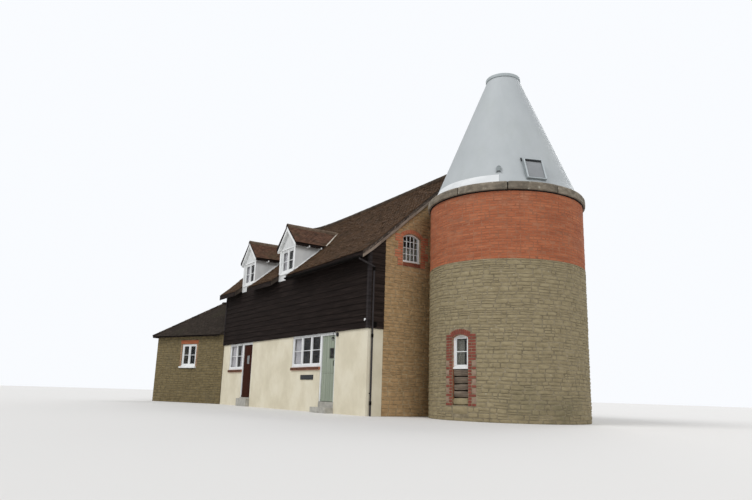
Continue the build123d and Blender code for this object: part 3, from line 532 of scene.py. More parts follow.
MORTAR = Finish(
    "lime_mortar", Slot.STONE, shades((0.155, 0.128, 0.082), (0.23, 0.192, 0.125), (0.31, 0.262, 0.175)),
    grain=(5.0, 5.0, 7.0), patches=Layer((0.12, 0.105, 0.066), 0.4, 0.8, 0.5),
    relief=Relief(0.7, 0.008, 60.0),
)
GABLE_MORTAR = replace(
    MORTAR, name="gable_mortar",
    shades=shades((0.22, 0.158, 0.086), (0.34, 0.25, 0.142), (0.45, 0.345, 0.21)),
    patches=Layer((0.19, 0.13, 0.07), 0.4, 1.2, 0.5),
)
WING_MORTAR = replace(
    MORTAR, name="wing_mortar",
    shades=shades((0.075, 0.06, 0.033), (0.125, 0.10, 0.056), (0.18, 0.148, 0.088)), patches=None,
)
STONE = Finish(
    "rubble_stone", Slot.STONE, shades((0.085, 0.066, 0.038), (0.165, 0.132, 0.076), (0.27, 0.222, 0.13),
        (0.37, 0.312, 0.195), (0.46, 0.41, 0.29), (0.26, 0.135, 0.08),
        at=(0.0, 0.2, 0.5, 0.78, 0.94, 1.0)), grain=(5.0, 5.0, 11.0), tint_share=0.74,
    patches=Layer((0.13, 0.118, 0.068), 0.55, 0.7, 0.45), spots=Layer((0.44, 0.43, 0.36), 0.5, 7.0, 0.3),
    relief=Relief(0.8, 0.01, 45.0),
)
GABLE_STONE = replace(
    STONE, name="gable_stone", shades=shades((0.155, 0.095, 0.045), (0.285, 0.185, 0.088),
        (0.43, 0.28, 0.142), (0.56, 0.39, 0.215), (0.46, 0.185, 0.098), at=(0.0, 0.25, 0.6, 0.86, 1.0)),
    tint_share=0.62, patches=Layer((0.20, 0.135, 0.07), 0.6, 1.6, 0.45),
    spots=Layer((0.44, 0.42, 0.33), 0.4, 7.0, 0.3),
)
WING_STONE = replace(
    STONE, name="wing_stone", shades=shades((0.06, 0.045, 0.02), (0.12, 0.091, 0.042),
        (0.185, 0.142, 0.068), (0.265, 0.21, 0.11), (0.25, 0.12, 0.066), at=(0.0, 0.3, 0.6, 0.9, 1.0)),
    tint_share=0.7, patches=Layer((0.125, 0.108, 0.066), 0.45, 0.7, 0.45), spots=None,
)
BRICK = Finish(
    "old_brick", Slot.BRICK, shades((0.15, 0.05, 0.026), (0.275, 0.082, 0.038), (0.37, 0.115, 0.052),
        (0.46, 0.17, 0.082), (0.41, 0.23, 0.13), at=(0.0, 0.25, 0.55, 0.85, 1.0)), grain=(1.3, 1.3, 11.0),
    tint_share=0.46, patches=Layer((0.40, 0.25, 0.165), 0.6, 1.1, 0.42),
    spots=Layer((0.48, 0.33, 0.24), 0.2, 6.0, 0.3), runs=Layer((0.16, 0.075, 0.042), 0.35, 1.6),
    relief=Relief(0.8, 0.006, 70.0),
)
JAMB_BRICK = Finish(
    "jamb_brick", Slot.BRICK, shades((0.30, 0.085, 0.045), (0.48, 0.165, 0.088), (0.58, 0.26, 0.15)),
    grain=(2.5, 2.5, 9.0), tint_share=0.45, patches=Layer((0.30, 0.095, 0.06), 0.5, 2.2, 0.5),
    relief=Relief(0.7, 0.006, 70.0),
)
TAN_BRICK = Finish(
    "tan_brick", Slot.BRICK, shades((0.24, 0.135, 0.08), (0.35, 0.21, 0.125), (0.44, 0.30, 0.19)),
    grain=(6.0, 6.0, 9.0), tint_share=0.6, relief=Relief(0.7, 0.006),
)
BRICK_JOINT = Finish(
    "brick_joint", Slot.BRICK, shades((0.24, 0.09, 0.048), (0.37, 0.15, 0.08)), grain=(3.0, 3.0, 9.0),
    patches=Layer((0.31, 0.165, 0.10), 0.3, 0.6, 0.5), relief=Relief(0.6, 0.006),
)
WINDOW_SILL = Finish(
    "window_sill_brick", Slot.BRICK,
    shades((0.038, 0.018, 0.011), (0.078, 0.036, 0.021), (0.125, 0.065, 0.04)), grain=(9.0, 9.0, 12.0),
    tint_share=0.5, relief=Relief(0.6, 0.004, 70.0),
)
# Dark red of the kiln window's jamb bricks: the bricks' own colour, made darker as painted shade where ivy
# shades them.
KILN_JAMB_WITH_SHADE = replace(
    WINDOW_SILL, name="kiln_jamb_brick",
    shades=shades((0.12, 0.034, 0.024), (0.2, 0.055, 0.038), (0.28, 0.092, 0.06)), grain=(5.0, 5.0, 12.0),
    patches=Layer((0.17, 0.06, 0.048), 0.4, 2.0, 0.5),
)
PINK_STONE = Finish(
    "pink_infill", Slot.STONE, shades((0.19, 0.125, 0.09), (0.27, 0.185, 0.135), (0.36, 0.27, 0.20)),
    grain=(6.0, 6.0, 9.0), tint_share=0.6, relief=Relief(0.7, 0.008),
)
SILL_BRICK = replace(
    WINDOW_SILL, name="sill_brick",
    shades=shades((0.13, 0.045, 0.028), (0.225, 0.07, 0.042), (0.31, 0.108, 0.062)),
)
COPING = Finish(
    "coping_stone", Slot.COPING, shades((0.10, 0.084, 0.064), (0.19, 0.16, 0.122), (0.31, 0.27, 0.215)),
    grain=(5.0, 5.0, 9.0), tint_share=0.35, patches=Layer((0.075, 0.068, 0.052), 0.75, 1.4, 0.5),
    spots=Layer((0.40, 0.38, 0.32), 0.7, 8.0, 0.4), runs=Layer((0.08, 0.08, 0.07), 0.5, 4.0),
    relief=Relief(0.8, 0.01, 50.0),
)
CONE_PAINT = Finish(
    "cone_paint", Slot.CONE, shades((0.39, 0.418, 0.43), (0.42, 0.448, 0.46), (0.45, 0.478, 0.49)),
    grain=(0.8, 0.8, 0.35), patches=Layer((0.37, 0.39, 0.375), 0.25, 0.3, 0.5),
    spots=Layer((0.34, 0.37, 0.35), 0.2, 4.0, 0.14), runs=Layer((0.37, 0.40, 0.385), 0.3, 1.3),
    rough=(0.5, 0.7), specular=0.3, relief=Relief(0.12, 0.01, 12.0),
)
FLASHING = Finish(
    "white_flashing", Slot.FLASHING, shades((0.64, 0.66, 0.67), (0.75, 0.765, 0.77)),
    grain=(1.5, 1.5, 3.0), runs=Layer((0.36, 0.38, 0.36), 0.35, 3.0), rough=(0.35, 0.55),
    relief=Relief(0.12),
)
CAP_METAL = Finish(
    "cap_metal", Slot.CONE, shades((0.33, 0.365, 0.375), (0.43, 0.47, 0.48)), grain=(3.0, 3.0, 3.0),
    patches=Layer((0.2, 0.22, 0.22), 0.3, 0.6, 0.5), rough=(0.45, 0.65), relief=Relief(0.2),
)
RENDER = Finish(
    "cream_render", Slot.RENDER, shades((0.62, 0.565, 0.43), (0.68, 0.625, 0.485), (0.73, 0.68, 0.545)),
    grain=(1.6, 1.6, 1.2), patches=Layer((0.57, 0.51, 0.385), 0.14, 0.7, 0.4),
    runs=Layer((0.46, 0.42, 0.31), 0.035, 2.5), rough=(0.8, 0.95), relief=Relief(0.55, 0.012, 26.0),
)
BOARDS = Finish(
    "black_boards", Slot.BOARDS,
    shades((0.002, 0.0014, 0.0012), (0.012, 0.0083, 0.0072), (0.066, 0.048, 0.042)), coords=Coords.LAY,
    grain=(1.1, 34.0, 20.0), tint_share=0.74, patches=Layer((0.045, 0.034, 0.029), 0.3, 0.8, 0.3),
    rough=(0.75, 0.95), specular=0.06, relief=Relief(0.7, 0.004, 90.0),
)
# A lighter copy of the black boards for the returns on the gable side: its difference from the front boards
# is painted light, set for how the lamps fall on those faces.
LIT_RETURN_BOARDS = replace(
    BOARDS, name="return_boards",
    shades=shades((0.005, 0.0035, 0.003), (0.022, 0.0155, 0.013), (0.075, 0.055, 0.048)), tint_share=0.6,
    patches=None,
)
WORN_TIMBER = Finish(
    "worn_timber", Slot.TIMBER, shades((0.016, 0.0135, 0.0135), (0.042, 0.036, 0.037)),
    grain=(2.0, 2.0, 14.0), rough=(0.75, 0.95), specular=0.06, relief=Relief(0.4),
)
# Near-black timber: the colour of dark boards, and also painted shade where it stands for the shadow under
# the coping, behind the kiln's slats and under the range's eaves.
DARK_TIMBER_AND_SHADE = replace(
    WORN_TIMBER, name="dark_timber", shades=shades((0.007, 0.005, 0.0045), (0.027, 0.019, 0.017)),
)
VERGE_TIMBER = Finish(
    "verge_board", Slot.TIMBER, shades((0.13, 0.10, 0.078), (0.215, 0.17, 0.135), (0.32, 0.265, 0.215)),
    coords=Coords.LAY, grain=(2.5, 20.0, 20.0), tint_share=0.45,
    patches=Layer((0.09, 0.072, 0.058), 0.5, 1.5, 0.5), relief=Relief(0.6),
)
TILES = Finish(
    "roof_tiles", Slot.TILES, shades((0.003, 0.002, 0.0012), (0.017, 0.0105, 0.006),
        (0.088, 0.051, 0.029), (0.21, 0.11, 0.064), (0.38, 0.28, 0.2), at=(0.0, 0.3, 0.55, 0.8, 1.0)),
    tint_share=0.86, patches=Layer((0.016, 0.0135, 0.006), 0.75, 2.7, 0.5),
    spots=Layer((0.20, 0.16, 0.115), 0.5, 13.0, 0.3), rough=(0.8, 0.97), specular=0.07,
    relief=Relief(0.8, 0.005, 60.0),
)
DORMER_TILES = replace(
    TILES, name="dormer_tiles", shades=shades((0.012, 0.0075, 0.005), (0.055, 0.031, 0.021),
        (0.15, 0.078, 0.051), (0.31, 0.205, 0.145), at=(0.0, 0.35, 0.7, 1.0)), grain=(5.0, 5.0, 5.0),
    tint_share=0.72, patches=Layer((0.075, 0.062, 0.037), 0.6, 1.6, 0.5),
    spots=Layer((0.25, 0.205, 0.15), 0.5, 6.0, 0.32),
)
# A darker copy of the roof tiles for the low wing: partly dark old tiles, partly painted shade of trees over
# it.
WING_TILES_WITH_SHADE = replace(
    TILES, name="wing_tiles",
    shades=shades((0.010, 0.0075, 0.006), (0.031, 0.024, 0.019), (0.08, 0.062, 0.05)),
    grain=(5.0, 5.0, 5.0), tint_share=0.7, patches=Layer((0.04, 0.036, 0.023), 0.5, 0.8, 0.5),
    spots=Layer((0.17, 0.15, 0.12), 0.4, 6.0, 0.3),
)
DARK_RIDGE = Finish(
    "range_ridge", Slot.TILES, shades((0.022, 0.016, 0.011), (0.048, 0.034, 0.024), (0.085, 0.06, 0.042)),
    grain=(5.0, 5.0, 5.0), tint_share=0.3, patches=Layer((0.03, 0.028, 0.016), 0.5, 1.5, 0.5),
    specular=0.07, relief=Relief(0.7, 0.005),
)
PALE_RIDGE = replace(
    DARK_RIDGE, name="dormer_ridge",
    shades=shades((0.085, 0.06, 0.042), (0.15, 0.108, 0.078), (0.23, 0.175, 0.13)), grain=(6.0, 6.0, 6.0),
    tint_share=0.4, patches=Layer((0.08, 0.065, 0.045), 0.5, 2.0, 0.5),
)
ROOF_BED = Finish(
    "roof_bed", Slot.TILES, shades((0.035, 0.027, 0.021), (0.07, 0.053, 0.042)), relief=Relief(0.4),
)
FILLET = Finish(
    "mortar_fillet", Slot.PLASTER, shades((0.36, 0.33, 0.28), (0.55, 0.515, 0.45)), grain=(6.0, 6.0, 6.0),
    patches=Layer((0.22, 0.2, 0.16), 0.4, 2.5, 0.5), relief=Relief(0.7, 0.008),
)
PLASTER = Finish(
    "white_plaster", Slot.PLASTER, shades((0.56, 0.57, 0.57), (0.64, 0.65, 0.65), (0.71, 0.72, 0.71)),
    grain=(2.0, 2.0, 1.5), patches=Layer((0.44, 0.44, 0.42), 0.4, 1.3, 0.4),
    runs=Layer((0.3, 0.3, 0.27), 0.4, 5.0), rough=(0.75, 0.92), relief=Relief(0.5, 0.006),
)
WHITE_TIMBER = Finish(
    "white_joinery", Slot.JOINERY, shades((0.70, 0.71, 0.71), (0.77, 0.78, 0.78), (0.81, 0.82, 0.81)),
    grain=(3.0, 3.0, 3.0), patches=Layer((0.56, 0.56, 0.53), 0.3, 2.5, 0.35),
    runs=Layer((0.40, 0.39, 0.35), 0.25, 9.0), rough=(0.35, 0.55), coat=0.1,
    relief=Relief(0.2, 0.002, 80.0),
)
BROWN_PLANKS = Finish(
    "brown_planks", Slot.PLANKS,
    shades((0.0195, 0.0058, 0.0037), (0.0372, 0.0106, 0.0058), (0.06, 0.0175, 0.0099)),
    grain=(26.0, 26.0, 0.9), tint_share=0.3, patches=Layer((0.033, 0.0135, 0.009), 0.5, 1.5, 0.5),
    rough=(0.55, 0.8), specular=0.04, relief=Relief(0.5, 0.003, 120.0),
)
SAGE_PAINT = Finish(
    "sage_paint", Slot.SAGE, shades((0.225, 0.26, 0.20), (0.265, 0.30, 0.235), (0.30, 0.333, 0.264)),
    grain=(12.0, 12.0, 0.9), tint_share=0.15, patches=Layer((0.205, 0.228, 0.178), 0.35, 1.2, 0.5),
    rough=(0.42, 0.62), relief=Relief(0.25, 0.002, 90.0),
)
IRON = Finish(
    "black_iron", Slot.IRON, shades((0.012, 0.012, 0.012), (0.035, 0.032, 0.03)), grain=(20.0, 20.0, 20.0),
    patches=Layer((0.07, 0.035, 0.02), 0.5, 9.0, 0.25), rough=(0.4, 0.6), metallic=0.6,
    relief=Relief(0.3, 0.001),
)
PIPE = Finish(
    "worn_pipe", Slot.PLASTIC, shades((0.024, 0.021, 0.022), (0.06, 0.053, 0.055)), grain=(5.0, 5.0, 2.0),
    rough=(0.6, 0.8), specular=0.15, relief=Relief(0.1),
)
PLASTIC = replace(
    PIPE, name="black_plastic", shades=shades((0.003, 0.0026, 0.0024), (0.008, 0.007, 0.0062)),
    patches=Layer((0.015, 0.0135, 0.011), 0.4, 2.0, 0.4), rough=(0.75, 0.9), specular=0.04,
)
SIGN = Finish(
    "sign_face", Slot.PLASTIC, shades((0.012, 0.013, 0.015), (0.024, 0.025, 0.028)), grain=(9.0, 9.0, 9.0),
    rough=(0.4, 0.6), relief=Relief(0.1),
)
FLOOR_SLAB = Finish(
    "floor_slab", Slot.SLAB, shades((0.19, 0.18, 0.165), (0.30, 0.285, 0.26)), grain=(2.0, 2.0, 2.0),
    patches=Layer((0.1, 0.1, 0.1), 0.3, 0.6, 0.5),
)
STEP_STONE = Finish(
    "step_stone", Slot.SLAB, shades((0.30, 0.29, 0.26), (0.47, 0.455, 0.41)), grain=(5.0, 5.0, 5.0),
    patches=Layer((0.18, 0.175, 0.14), 0.6, 2.0, 0.5), relief=Relief(0.5),
)
FLOORBOARDS = Finish(
    "floor_boards", Slot.FLOORBOARDS, shades((0.11, 0.07, 0.04), (0.22, 0.15, 0.09)),
    grain=(0.8, 14.0, 14.0),
)
OLD_SLATS = Finish(
    "old_slats", Slot.TIMBER, shades((0.075, 0.055, 0.042), (0.14, 0.108, 0.08), (0.23, 0.185, 0.14)),
    grain=(3.0, 3.0, 26.0), tint_share=0.3, patches=Layer((0.055, 0.042, 0.034), 0.5, 3.0, 0.5),
    relief=Relief(0.8, 0.006),
)
GREY_LINEN = Finish(
    "grey_linen", Slot.FLASHING, shades((0.25, 0.245, 0.205), (0.33, 0.325, 0.275)),
    grain=(40.0, 40.0, 40.0), rough=(0.85, 0.95), relief=Relief(0.3, 0.001, 400.0),
)
LINEN = replace(GREY_LINEN, name="white_linen", shades=shades((0.62, 0.61, 0.64), (0.78, 0.77, 0.80)))
GALVANISED = replace(
    CAP_METAL, name="rooflight_metal", shades=shades((0.40, 0.44, 0.455), (0.50, 0.54, 0.555)),
    grain=(6.0, 6.0, 6.0), patches=Layer((0.28, 0.3, 0.3), 0.3, 3.0, 0.5),
)
# Dark grey of the rooflight's upstand and the vent hood: partly weathered metal, partly painted shade of
# their shaded sides.
UPSTAND_WITH_SHADE = Finish(
    "rooflight_upstand", Slot.CONE, shades((0.22, 0.245, 0.25), (0.31, 0.34, 0.35)),
    patches=Layer((0.16, 0.175, 0.165), 0.4, 3.0, 0.5), relief=Relief(0.2),
)
# Black for the rooflight's hinges, and painted shade in the strip under its top rail.
HINGE_AND_SHADE_BLACK = Finish(
    "rooflight_seal", Slot.PLASTIC, shades((0.008, 0.009, 0.01), (0.02, 0.022, 0.023)),
    grain=(8.0, 8.0, 8.0), rough=(0.6, 0.8), relief=Relief(0.2),
)
LAMP_GLASS = Glazing("lamp_glass", Slot.IRON, (0.25, 0.25, 0.24), 0.75)
WINDOW_GLASS = Glazing("window_glass")
DOOR_GLASS = Glazing("door_glass", Slot.GLASS, (0.13, 0.125, 0.12), 0.85)
# Painted reflection: the rooflight's glass is a nearly opaque pale grey that stands for the sky reflected in
# it.
SKY_REFLECTION_GLASS = Glazing("rooflight_glass", Slot.GLASS, (0.235, 0.245, 0.255), 0.97, 0.02, (0.27, 0.28, 0.29))


class Paintbox:
    """Builds each finish's material once."""

    def __init__(self) -> None:
        """Starts with the shared groups and no material."""
        self.groups = Weathering()
        self.made: dict[str, bpy.types.Material] = {}

    def __getitem__(self, finish: Finish | Glazing) -> bpy.types.Material:
        """The material of a finish."""
        if finish.name not in self.made:
            self.made[finish.name] = finish.build(self.groups)
        return self.made[finish.name]


# Surfaces that flat work is laid on


class Surface:
    """A surface with flat coordinates: u along it, v up it and out away from it."""

    def place(self, flat: np.ndarray) -> np.ndarray:
        """Turns (u, v, out) rows into places in the part's frame."""
        raise NotImplementedError


@dataclass(frozen=True)
class Flat(Surface):
    """A flat face. Its outward side is along x up."""

    origin: Point
    along: Point
    up: Point = (0.0, 0.0, 1.0)

    def place(self, flat: np.ndarray) -> np.ndarray:
        """Turns (u, v, out) rows into places in the part's frame."""
        along, up = np.array(self.along, float), np.array(self.up, float)
        along, up = along / np.linalg.norm(along), up / np.linalg.norm(up)
        axes = np.array((along, up, np.cross(along, up)))
        return np.array(self.origin, float) + flat @ axes


@dataclass(frozen=True)
class Round(Surface):
    """An upright round wall about the kiln's axis: u is the arc from azimuth 0."""

    radius: float

    def place(self, flat: np.ndarray) -> np.ndarray:
        """Turns (u, v, out) rows into places in the part's frame."""
        angle = flat[:, 0] / self.radius
        reach = self.radius + flat[:, 2]
        return np.column_stack((reach * np.cos(angle), reach * np.sin(angle), flat[:, 1]))


@dataclass(frozen=True)
class RangeLine:
    """The range roof's section, which sags between its stations, as the solids have it."""

    gable_x: float = -1.98
    far_x: float = -13.2
    low_x: float = -9.0
    ridge: float = 7.85
    near_rise: float = 0.1
    far_rise: float = 0.32
    ridge_tile: float = 0.1
    eaves: float = 4.53
    eaves_rise: float = 0.063
    kick_half: float = 3.4
    dip: float = 0.042
    half: float = 3.78
    depth: float = 0.19
    verge: float = 0.122
    stations: tuple[float, ...] = (-3.6, -5.4, -7.2, -9.0, -10.4, -11.5, -12.3, -12.9)

    def section(self, x: np.ndarray) -> tuple[np.ndarray, np.ndarray, np.ndarray]:
        """Heights of the apex, the kick and the eaves at places along the range.

        Args:
            x: Places along the range.

        Returns:
            The three heights at each place.
        """
        at = np.array((self.far_x - self.verge, *reversed(self.stations), self.gable_x + self.verge))
        near = np.clip((at - self.low_x) / (self.gable_x - self.low_x), 0.0, None)
        far = np.clip((self.low_x - at) / (self.low_x - self.far_x), 0.0, None)
        apex = self.ridge + self.near_rise * near**1.3 + self.far_rise * far**4 - self.ridge_tile
        eaves = self.eaves + self.eaves_rise * near**2
        kick = apex + (eaves - apex) * self.kick_half / self.half - self.dip
        return tuple(np.interp(x, at, row) for row in (apex, kick, eaves))


@dataclass(frozen=True)
class RangeSlope(Surface):
    """One slope of the range roof: u along the eaves, v up from the eaves."""

    line: RangeLine
    side: int
    length: float = 5.05

    def place(self, flat: np.ndarray) -> np.ndarray:
        """Turns flat coordinates into places in the part's frame.

        Args:
            flat: Rows of (u, v, out).

        Returns:
            Rows of (x, y, z).
        """
        x = flat[:, 0] * (1 if self.side < 0 else -1)
        apex, kick, eaves = self.line.section(x)
        reach, kick_reach = self.line.half, self.line.kick_half
        low = np.hypot(reach - kick_reach, kick - eaves)
        high = np.hypot(kick_reach, apex - kick)
        run = flat[:, 1] * (low + high) / self.length
        lower = run < low
        share_low = run / low
        share_high = (run - low) / high
        y = np.where(lower, reach - share_low * (reach - kick_reach), kick_reach * (1.0 - share_high))
        z = np.where(lower, eaves + share_low * (kick - eaves), kick + share_high * (apex - kick))
        run_y = np.where(lower, reach - kick_reach, kick_reach)
        run_z = np.where(lower, kick - eaves, apex - kick)
        size = np.hypot(run_y, run_z)
        y = y + flat[:, 2] * run_z / size
        z = z + flat[:, 2] * run_y / size
        return np.column_stack((x, self.side * y, z))


@dataclass(frozen=True)
class VergeFace(Surface):
    """The upright edge of the range roof at a gable: u down the slope, v up and out from the gable."""

    line: RangeLine
    side: int
    end: int

    @property
    def x(self) -> float:
        """Where the face stands along the range."""
        line = self.line
        return line.gable_x + line.verge if self.end > 0 else line.far_x - line.verge

    @property
    def lengths(self) -> Span:
        """The slope's length down to the kick and to the eaves."""
        apex, kick, eaves = (float(row[0]) for row in self.line.section(np.array((self.x,))))
        upper = math.hypot(self.line.kick_half, apex - kick)
        return upper, upper + math.hypot(self.line.half - self.line.kick_half, kick - eaves)

    def place(self, flat: np.ndarray) -> np.ndarray:
        """Turns (u, v, out) rows into places in the part's frame."""
        apex, kick, eaves = (float(row[0]) for row in self.line.section(np.array((self.x,))))
        stops = (0.0, *self.lengths)
        y = np.interp(flat[:, 0], stops, (0.0, self.line.kick_half, self.line.half))
        z = np.interp(flat[:, 0], stops, (apex, kick, eaves)) + flat[:, 1]
        return np.column_stack((self.x + self.end * flat[:, 2], self.side * y, z))


# Meshes


class Meshwork:
    """A mesh that is gathered from simple closed forms in a surface's flat coordinates."""

    def __init__(self) -> None:
        """Starts empty."""
        self.points: list[np.ndarray] = []
        self.faces: list[list[int]] = []
        self.tints: list[np.ndarray] = []
        self.laid: list[np.ndarray] = []
        self.count = 0

    def add(self, points: np.ndarray, faces: Iterable[Sequence[int]], tint: float = 0.5) -> None:
        """Adds a closed form.

        Args:
            points: Its corners.
            faces: Its faces, with outward order.
            tint: Its own shade.
        """
        points = np.asarray(points, float)
        self.faces += [[i + self.count for i in face] for face in faces]
        self.points.append(points)
        self.tints.append(np.full(len(points), tint))
        self.count += len(points)

    def box(self, u: Span, v: Span, out: Span, chamfer: float = 0.003, tint: float = 0.5) -> None:
        """Adds a block with chamfered edges.

        Args:
            u: Its limits along the surface.
            v: Its limits up the surface.
            out: Its limits away from the surface.
            chamfer: The width of its edges' chamfers.
            tint: Its own shade.
        """
        low = np.array((u[0], v[0], out[0]))
        high = np.array((u[1], v[1], out[1]))
        middle, half = (low + high) / 2, (high - low) / 2
        cut = min(chamfer, *(half * 0.45))
        signs = [(a, b, c) for a in (-1, 1) for b in (-1, 1) for c in (-1, 1)]
        points, index = [], {}
        for sign in signs:
            for axis in range(3):
                corner = half - cut
                corner[axis] = half[axis]
                index[sign, axis] = len(points)
                points.append(middle + corner * np.array(sign))
        faces = []
        for axis in range(3):
            b, c = (axis + 1) % 3, (axis + 2) % 3
            for side in (-1, 1):
                loop = []
                for p, q in ((-1, -1), (1, -1), (1, 1), (-1, 1)):
                    sign = [0, 0, 0]
                    sign[axis], sign[b], sign[c] = side, p, q
                    loop.append(index[tuple(sign), axis])
                faces.append(loop if side > 0 else loop[::-1])
            for p in (-1, 1):
                for q in (-1, 1):
                    ends = []
                    for end in (-1, 1):
                        sign = [0, 0, 0]
                        sign[axis], sign[b], sign[c] = end, p, q
                        ends.append(tuple(sign))
                    loop = [index[ends[0], b], index[ends[1], b], index[ends[1], c], index[ends[0], c]]
                    faces.append(loop if p * q < 0 else loop[::-1])
        for sign in signs:
            loop = [index[sign, 0], index[sign, 1], index[sign, 2]]
            faces.append(loop if sign[0] * sign[1] * sign[2] > 0 else loop[::-1])
        self.add(np.array(points), faces, tint)

    def sweep(self, rings: np.ndarray, closed: bool = False, tint: float = 0.5) -> None:
        """Adds a tube through rings of points.

        Args:
            rings: An array of rings, each a closed loop of points.
            closed: Whether the last ring joins the first.
            tint: Its own shade.
        """
        rings = np.asarray(rings, float)
        count, sides = rings.shape[:2]
        faces = []
        for k in range(count if closed else count - 1):
            a, b = k * sides, ((k + 1) % count) * sides
            for j in range(sides):
                n = (j + 1) % sides
                faces.append([a + j, a + n, b + n, b + j])
        if not closed:
            faces.append(list(range(sides))[::-1])
            faces.append([(count - 1) * sides + j for j in range(sides)])
        self.add(rings.reshape(-1, 3), faces, tint)

    def tube(self, path: Sequence[Point], radius: float, sides: int = 12, tint: float = 0.5) -> None:
        """Adds a round bar along a path.

        Args:
            path: The points of its centre line.
            radius: Its radius.
            sides: How many sides its round has.
            tint: Its own shade.
        """
        path = np.asarray(path, float)
        way = np.gradient(path, axis=0)
        way /= np.linalg.norm(way, axis=1)[:, None]
        side = np.cross(way[0], (0.31, 0.2, 0.93))
        rings = []
        for point, direction in zip(path, way):
            side = side - direction * side.dot(direction)
            side /= np.linalg.norm(side)
            other = np.cross(direction, side)
            turn = np.arange(sides) * 2 * math.pi / sides
            rings.append(point + radius * (np.outer(np.cos(turn), side) + np.outer(np.sin(turn), other)))
        self.sweep(np.array(rings), tint=tint)

    def lathe(self, profile: Sequence[Span], centre: Point, sides: int = 24, axis: str = "z") -> None:
        """Adds a turned form.

        Args:
            profile: (radius, height) points from the lower pole to the upper.
            centre: The foot of its axis.
            sides: How many sides it has.
            axis: z for an upright one, or y for one that points along y.
        """
        turn = np.arange(sides) * 2 * math.pi / sides
        rings = []
        for radius, height in profile:
            radius = max(radius, 1e-4)
            x, y = radius * np.cos(turn), radius * np.sin(turn)
            column = np.full(sides, height)
            if axis == "z":
                rings.append(np.column_stack((x, y, column)))
            else:
                rings.append(np.column_stack((x, column, -y)))
        self.sweep(np.array(rings) + np.array(centre))

    def merge(self, other: Meshwork, surface: Surface) -> None:
        """Adds another gathering and keeps its flat coordinates.

        Args:
            other: The gathering.
            surface: The surface that it is placed on.
        """
        flat = np.vstack(other.points)
        self.laid += [np.zeros((self.count - sum(len(p) for p in self.laid), 3)), flat]
        self.faces += [[i + self.count for i in face] for face in other.faces]
        self.points.append(surface.place(flat))
        self.tints += other.tints
        self.count += len(flat)

    def mesh(self, name: str, surface: Surface | None = None) -> bpy.types.Mesh:
        """Makes the mesh, placed on a surface.

        Args:
            name: The mesh's name.
            surface: What the flat coordinates lie on, or None where they are places already.

        Returns:
            The mesh, with its flat coordinates kept as the attribute lay.
        """
        flat = np.vstack(self.points)
        mesh = bpy.data.meshes.new(name)
        mesh.from_pydata([tuple(p) for p in flat], [], self.faces)
        store(mesh, "tint", "FLOAT", np.concatenate(self.tints))
        settle(mesh, surface)
        if self.laid:
            store(mesh, "lay", "FLOAT_VECTOR", np.vstack(self.laid))
        return mesh


def store(mesh: bpy.types.Mesh, name: str, kind: str, values: np.ndarray) -> None:
    """Keeps values on a mesh's points.

    Args:
        mesh: The mesh.
        name: The attribute's name.
        kind: FLOAT, INT or FLOAT_VECTOR.
        values: One value or row for each point.
    """
    attribute = mesh.attributes.get(name) or mesh.attributes.new(name, kind, "POINT")
    label = "vector" if kind == "FLOAT_VECTOR" else "value"
    kept = np.ascontiguousarray(values, np.int32 if kind == "INT" else np.float32)
    attribute.data.foreach_set(label, kept.ravel())


def coordinates(mesh: bpy.types.Mesh) -> np.ndarray:
    """The places of a mesh's points."""
    found = np.zeros(len(mesh.vertices) * 3, np.float32)
    mesh.vertices.foreach_get("co", found)
    return found.reshape(-1, 3).astype(float)


def settle(mesh: bpy.types.Mesh, surface: Surface | None) -> None:
    """Keeps a flat mesh's coordinates as lay and moves it onto its surface.

    Args:
        mesh: The flat mesh.
        surface: The surface, or None to leave it where it is.
    """
    flat = coordinates(mesh)
    store(mesh, "lay", "FLOAT_VECTOR", flat)
    if surface is not None:
        mesh.vertices.foreach_set("co", surface.place(flat).astype(np.float32).ravel())
    mesh.update()


class Workshop:
    """Turns meshes into pieces that ride on a body and have a finish."""

    def __init__(self, paints: Paintbox, nodes: dict[str, bpy.types.Object]) -> None:
        """Starts with no piece.

        Args:
            paints: The materials.
            nodes: The CAD nodes by name.
        """
        self.paints = paints
        self.nodes = nodes
        self.names: list[str] = []

    def piece(
        self,
        mesh: bpy.types.Mesh,
        finish: Finish | Glazing,
        body: Body = Body.HOUSE,
        replaces: Sequence[str] = (),
        smooth: float | None = None,
    ) -> bpy.types.Object:
        """Makes a finished piece.

        Args:
            mesh: Its mesh, in place.
            finish: Its finish.
            body: The body that it rides on.
            replaces: The CAD nodes that it stands for.
            smooth: The angle in degrees under which edges are smooth, or None for flat faces.

        Returns:
            The piece.
        """
        mesh.materials.clear()
        mesh.materials.append(self.paints[finish])
        mesh.polygons.foreach_set("use_smooth", [smooth is not None] * len(mesh.polygons))
        if smooth is not None:
            mesh.set_sharp_from_angle(angle=math.radians(smooth))
        piece = bpy.data.objects.new(mesh.name, mesh)
        bpy.context.scene.collection.objects.link(piece)
        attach(piece, body.value)
        if replaces:
            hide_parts(*replaces)
        self.names.append(piece.name)
        LOG.info("%s: %d faces on %s", piece.name, len(mesh.polygons), body.value)
        return piece

    def paint(self, finish: Finish | Glazing, *nodes: str) -> None:
        """Gives CAD nodes a finish.

        Args:
            finish: The finish.
            *nodes: Their names.
        """
        for name in nodes:
            node = self.nodes[name]
            if not node.material_slots:
                node.data.materials.append(None)
            for place in node.material_slots:
                place.material = self.paints[finish]


# Courses: repeated pieces laid in rows


@dataclass
class Layout:
    """Places of repeated pieces in flat coordinates."""

    middle: list[Point] = field(default_factory=list)
    size: list[Point] = field(default_factory=list)
    turn: list[float] = field(default_factory=list)

    def put(self, u: float, v: float, out: float, size: Point, turn: float = 0.0) -> None:
        """Adds a piece by its middle, its size and its turn in the surface."""
        self.middle.append((u, v, out))
        self.size.append(size)
        self.turn.append(turn)


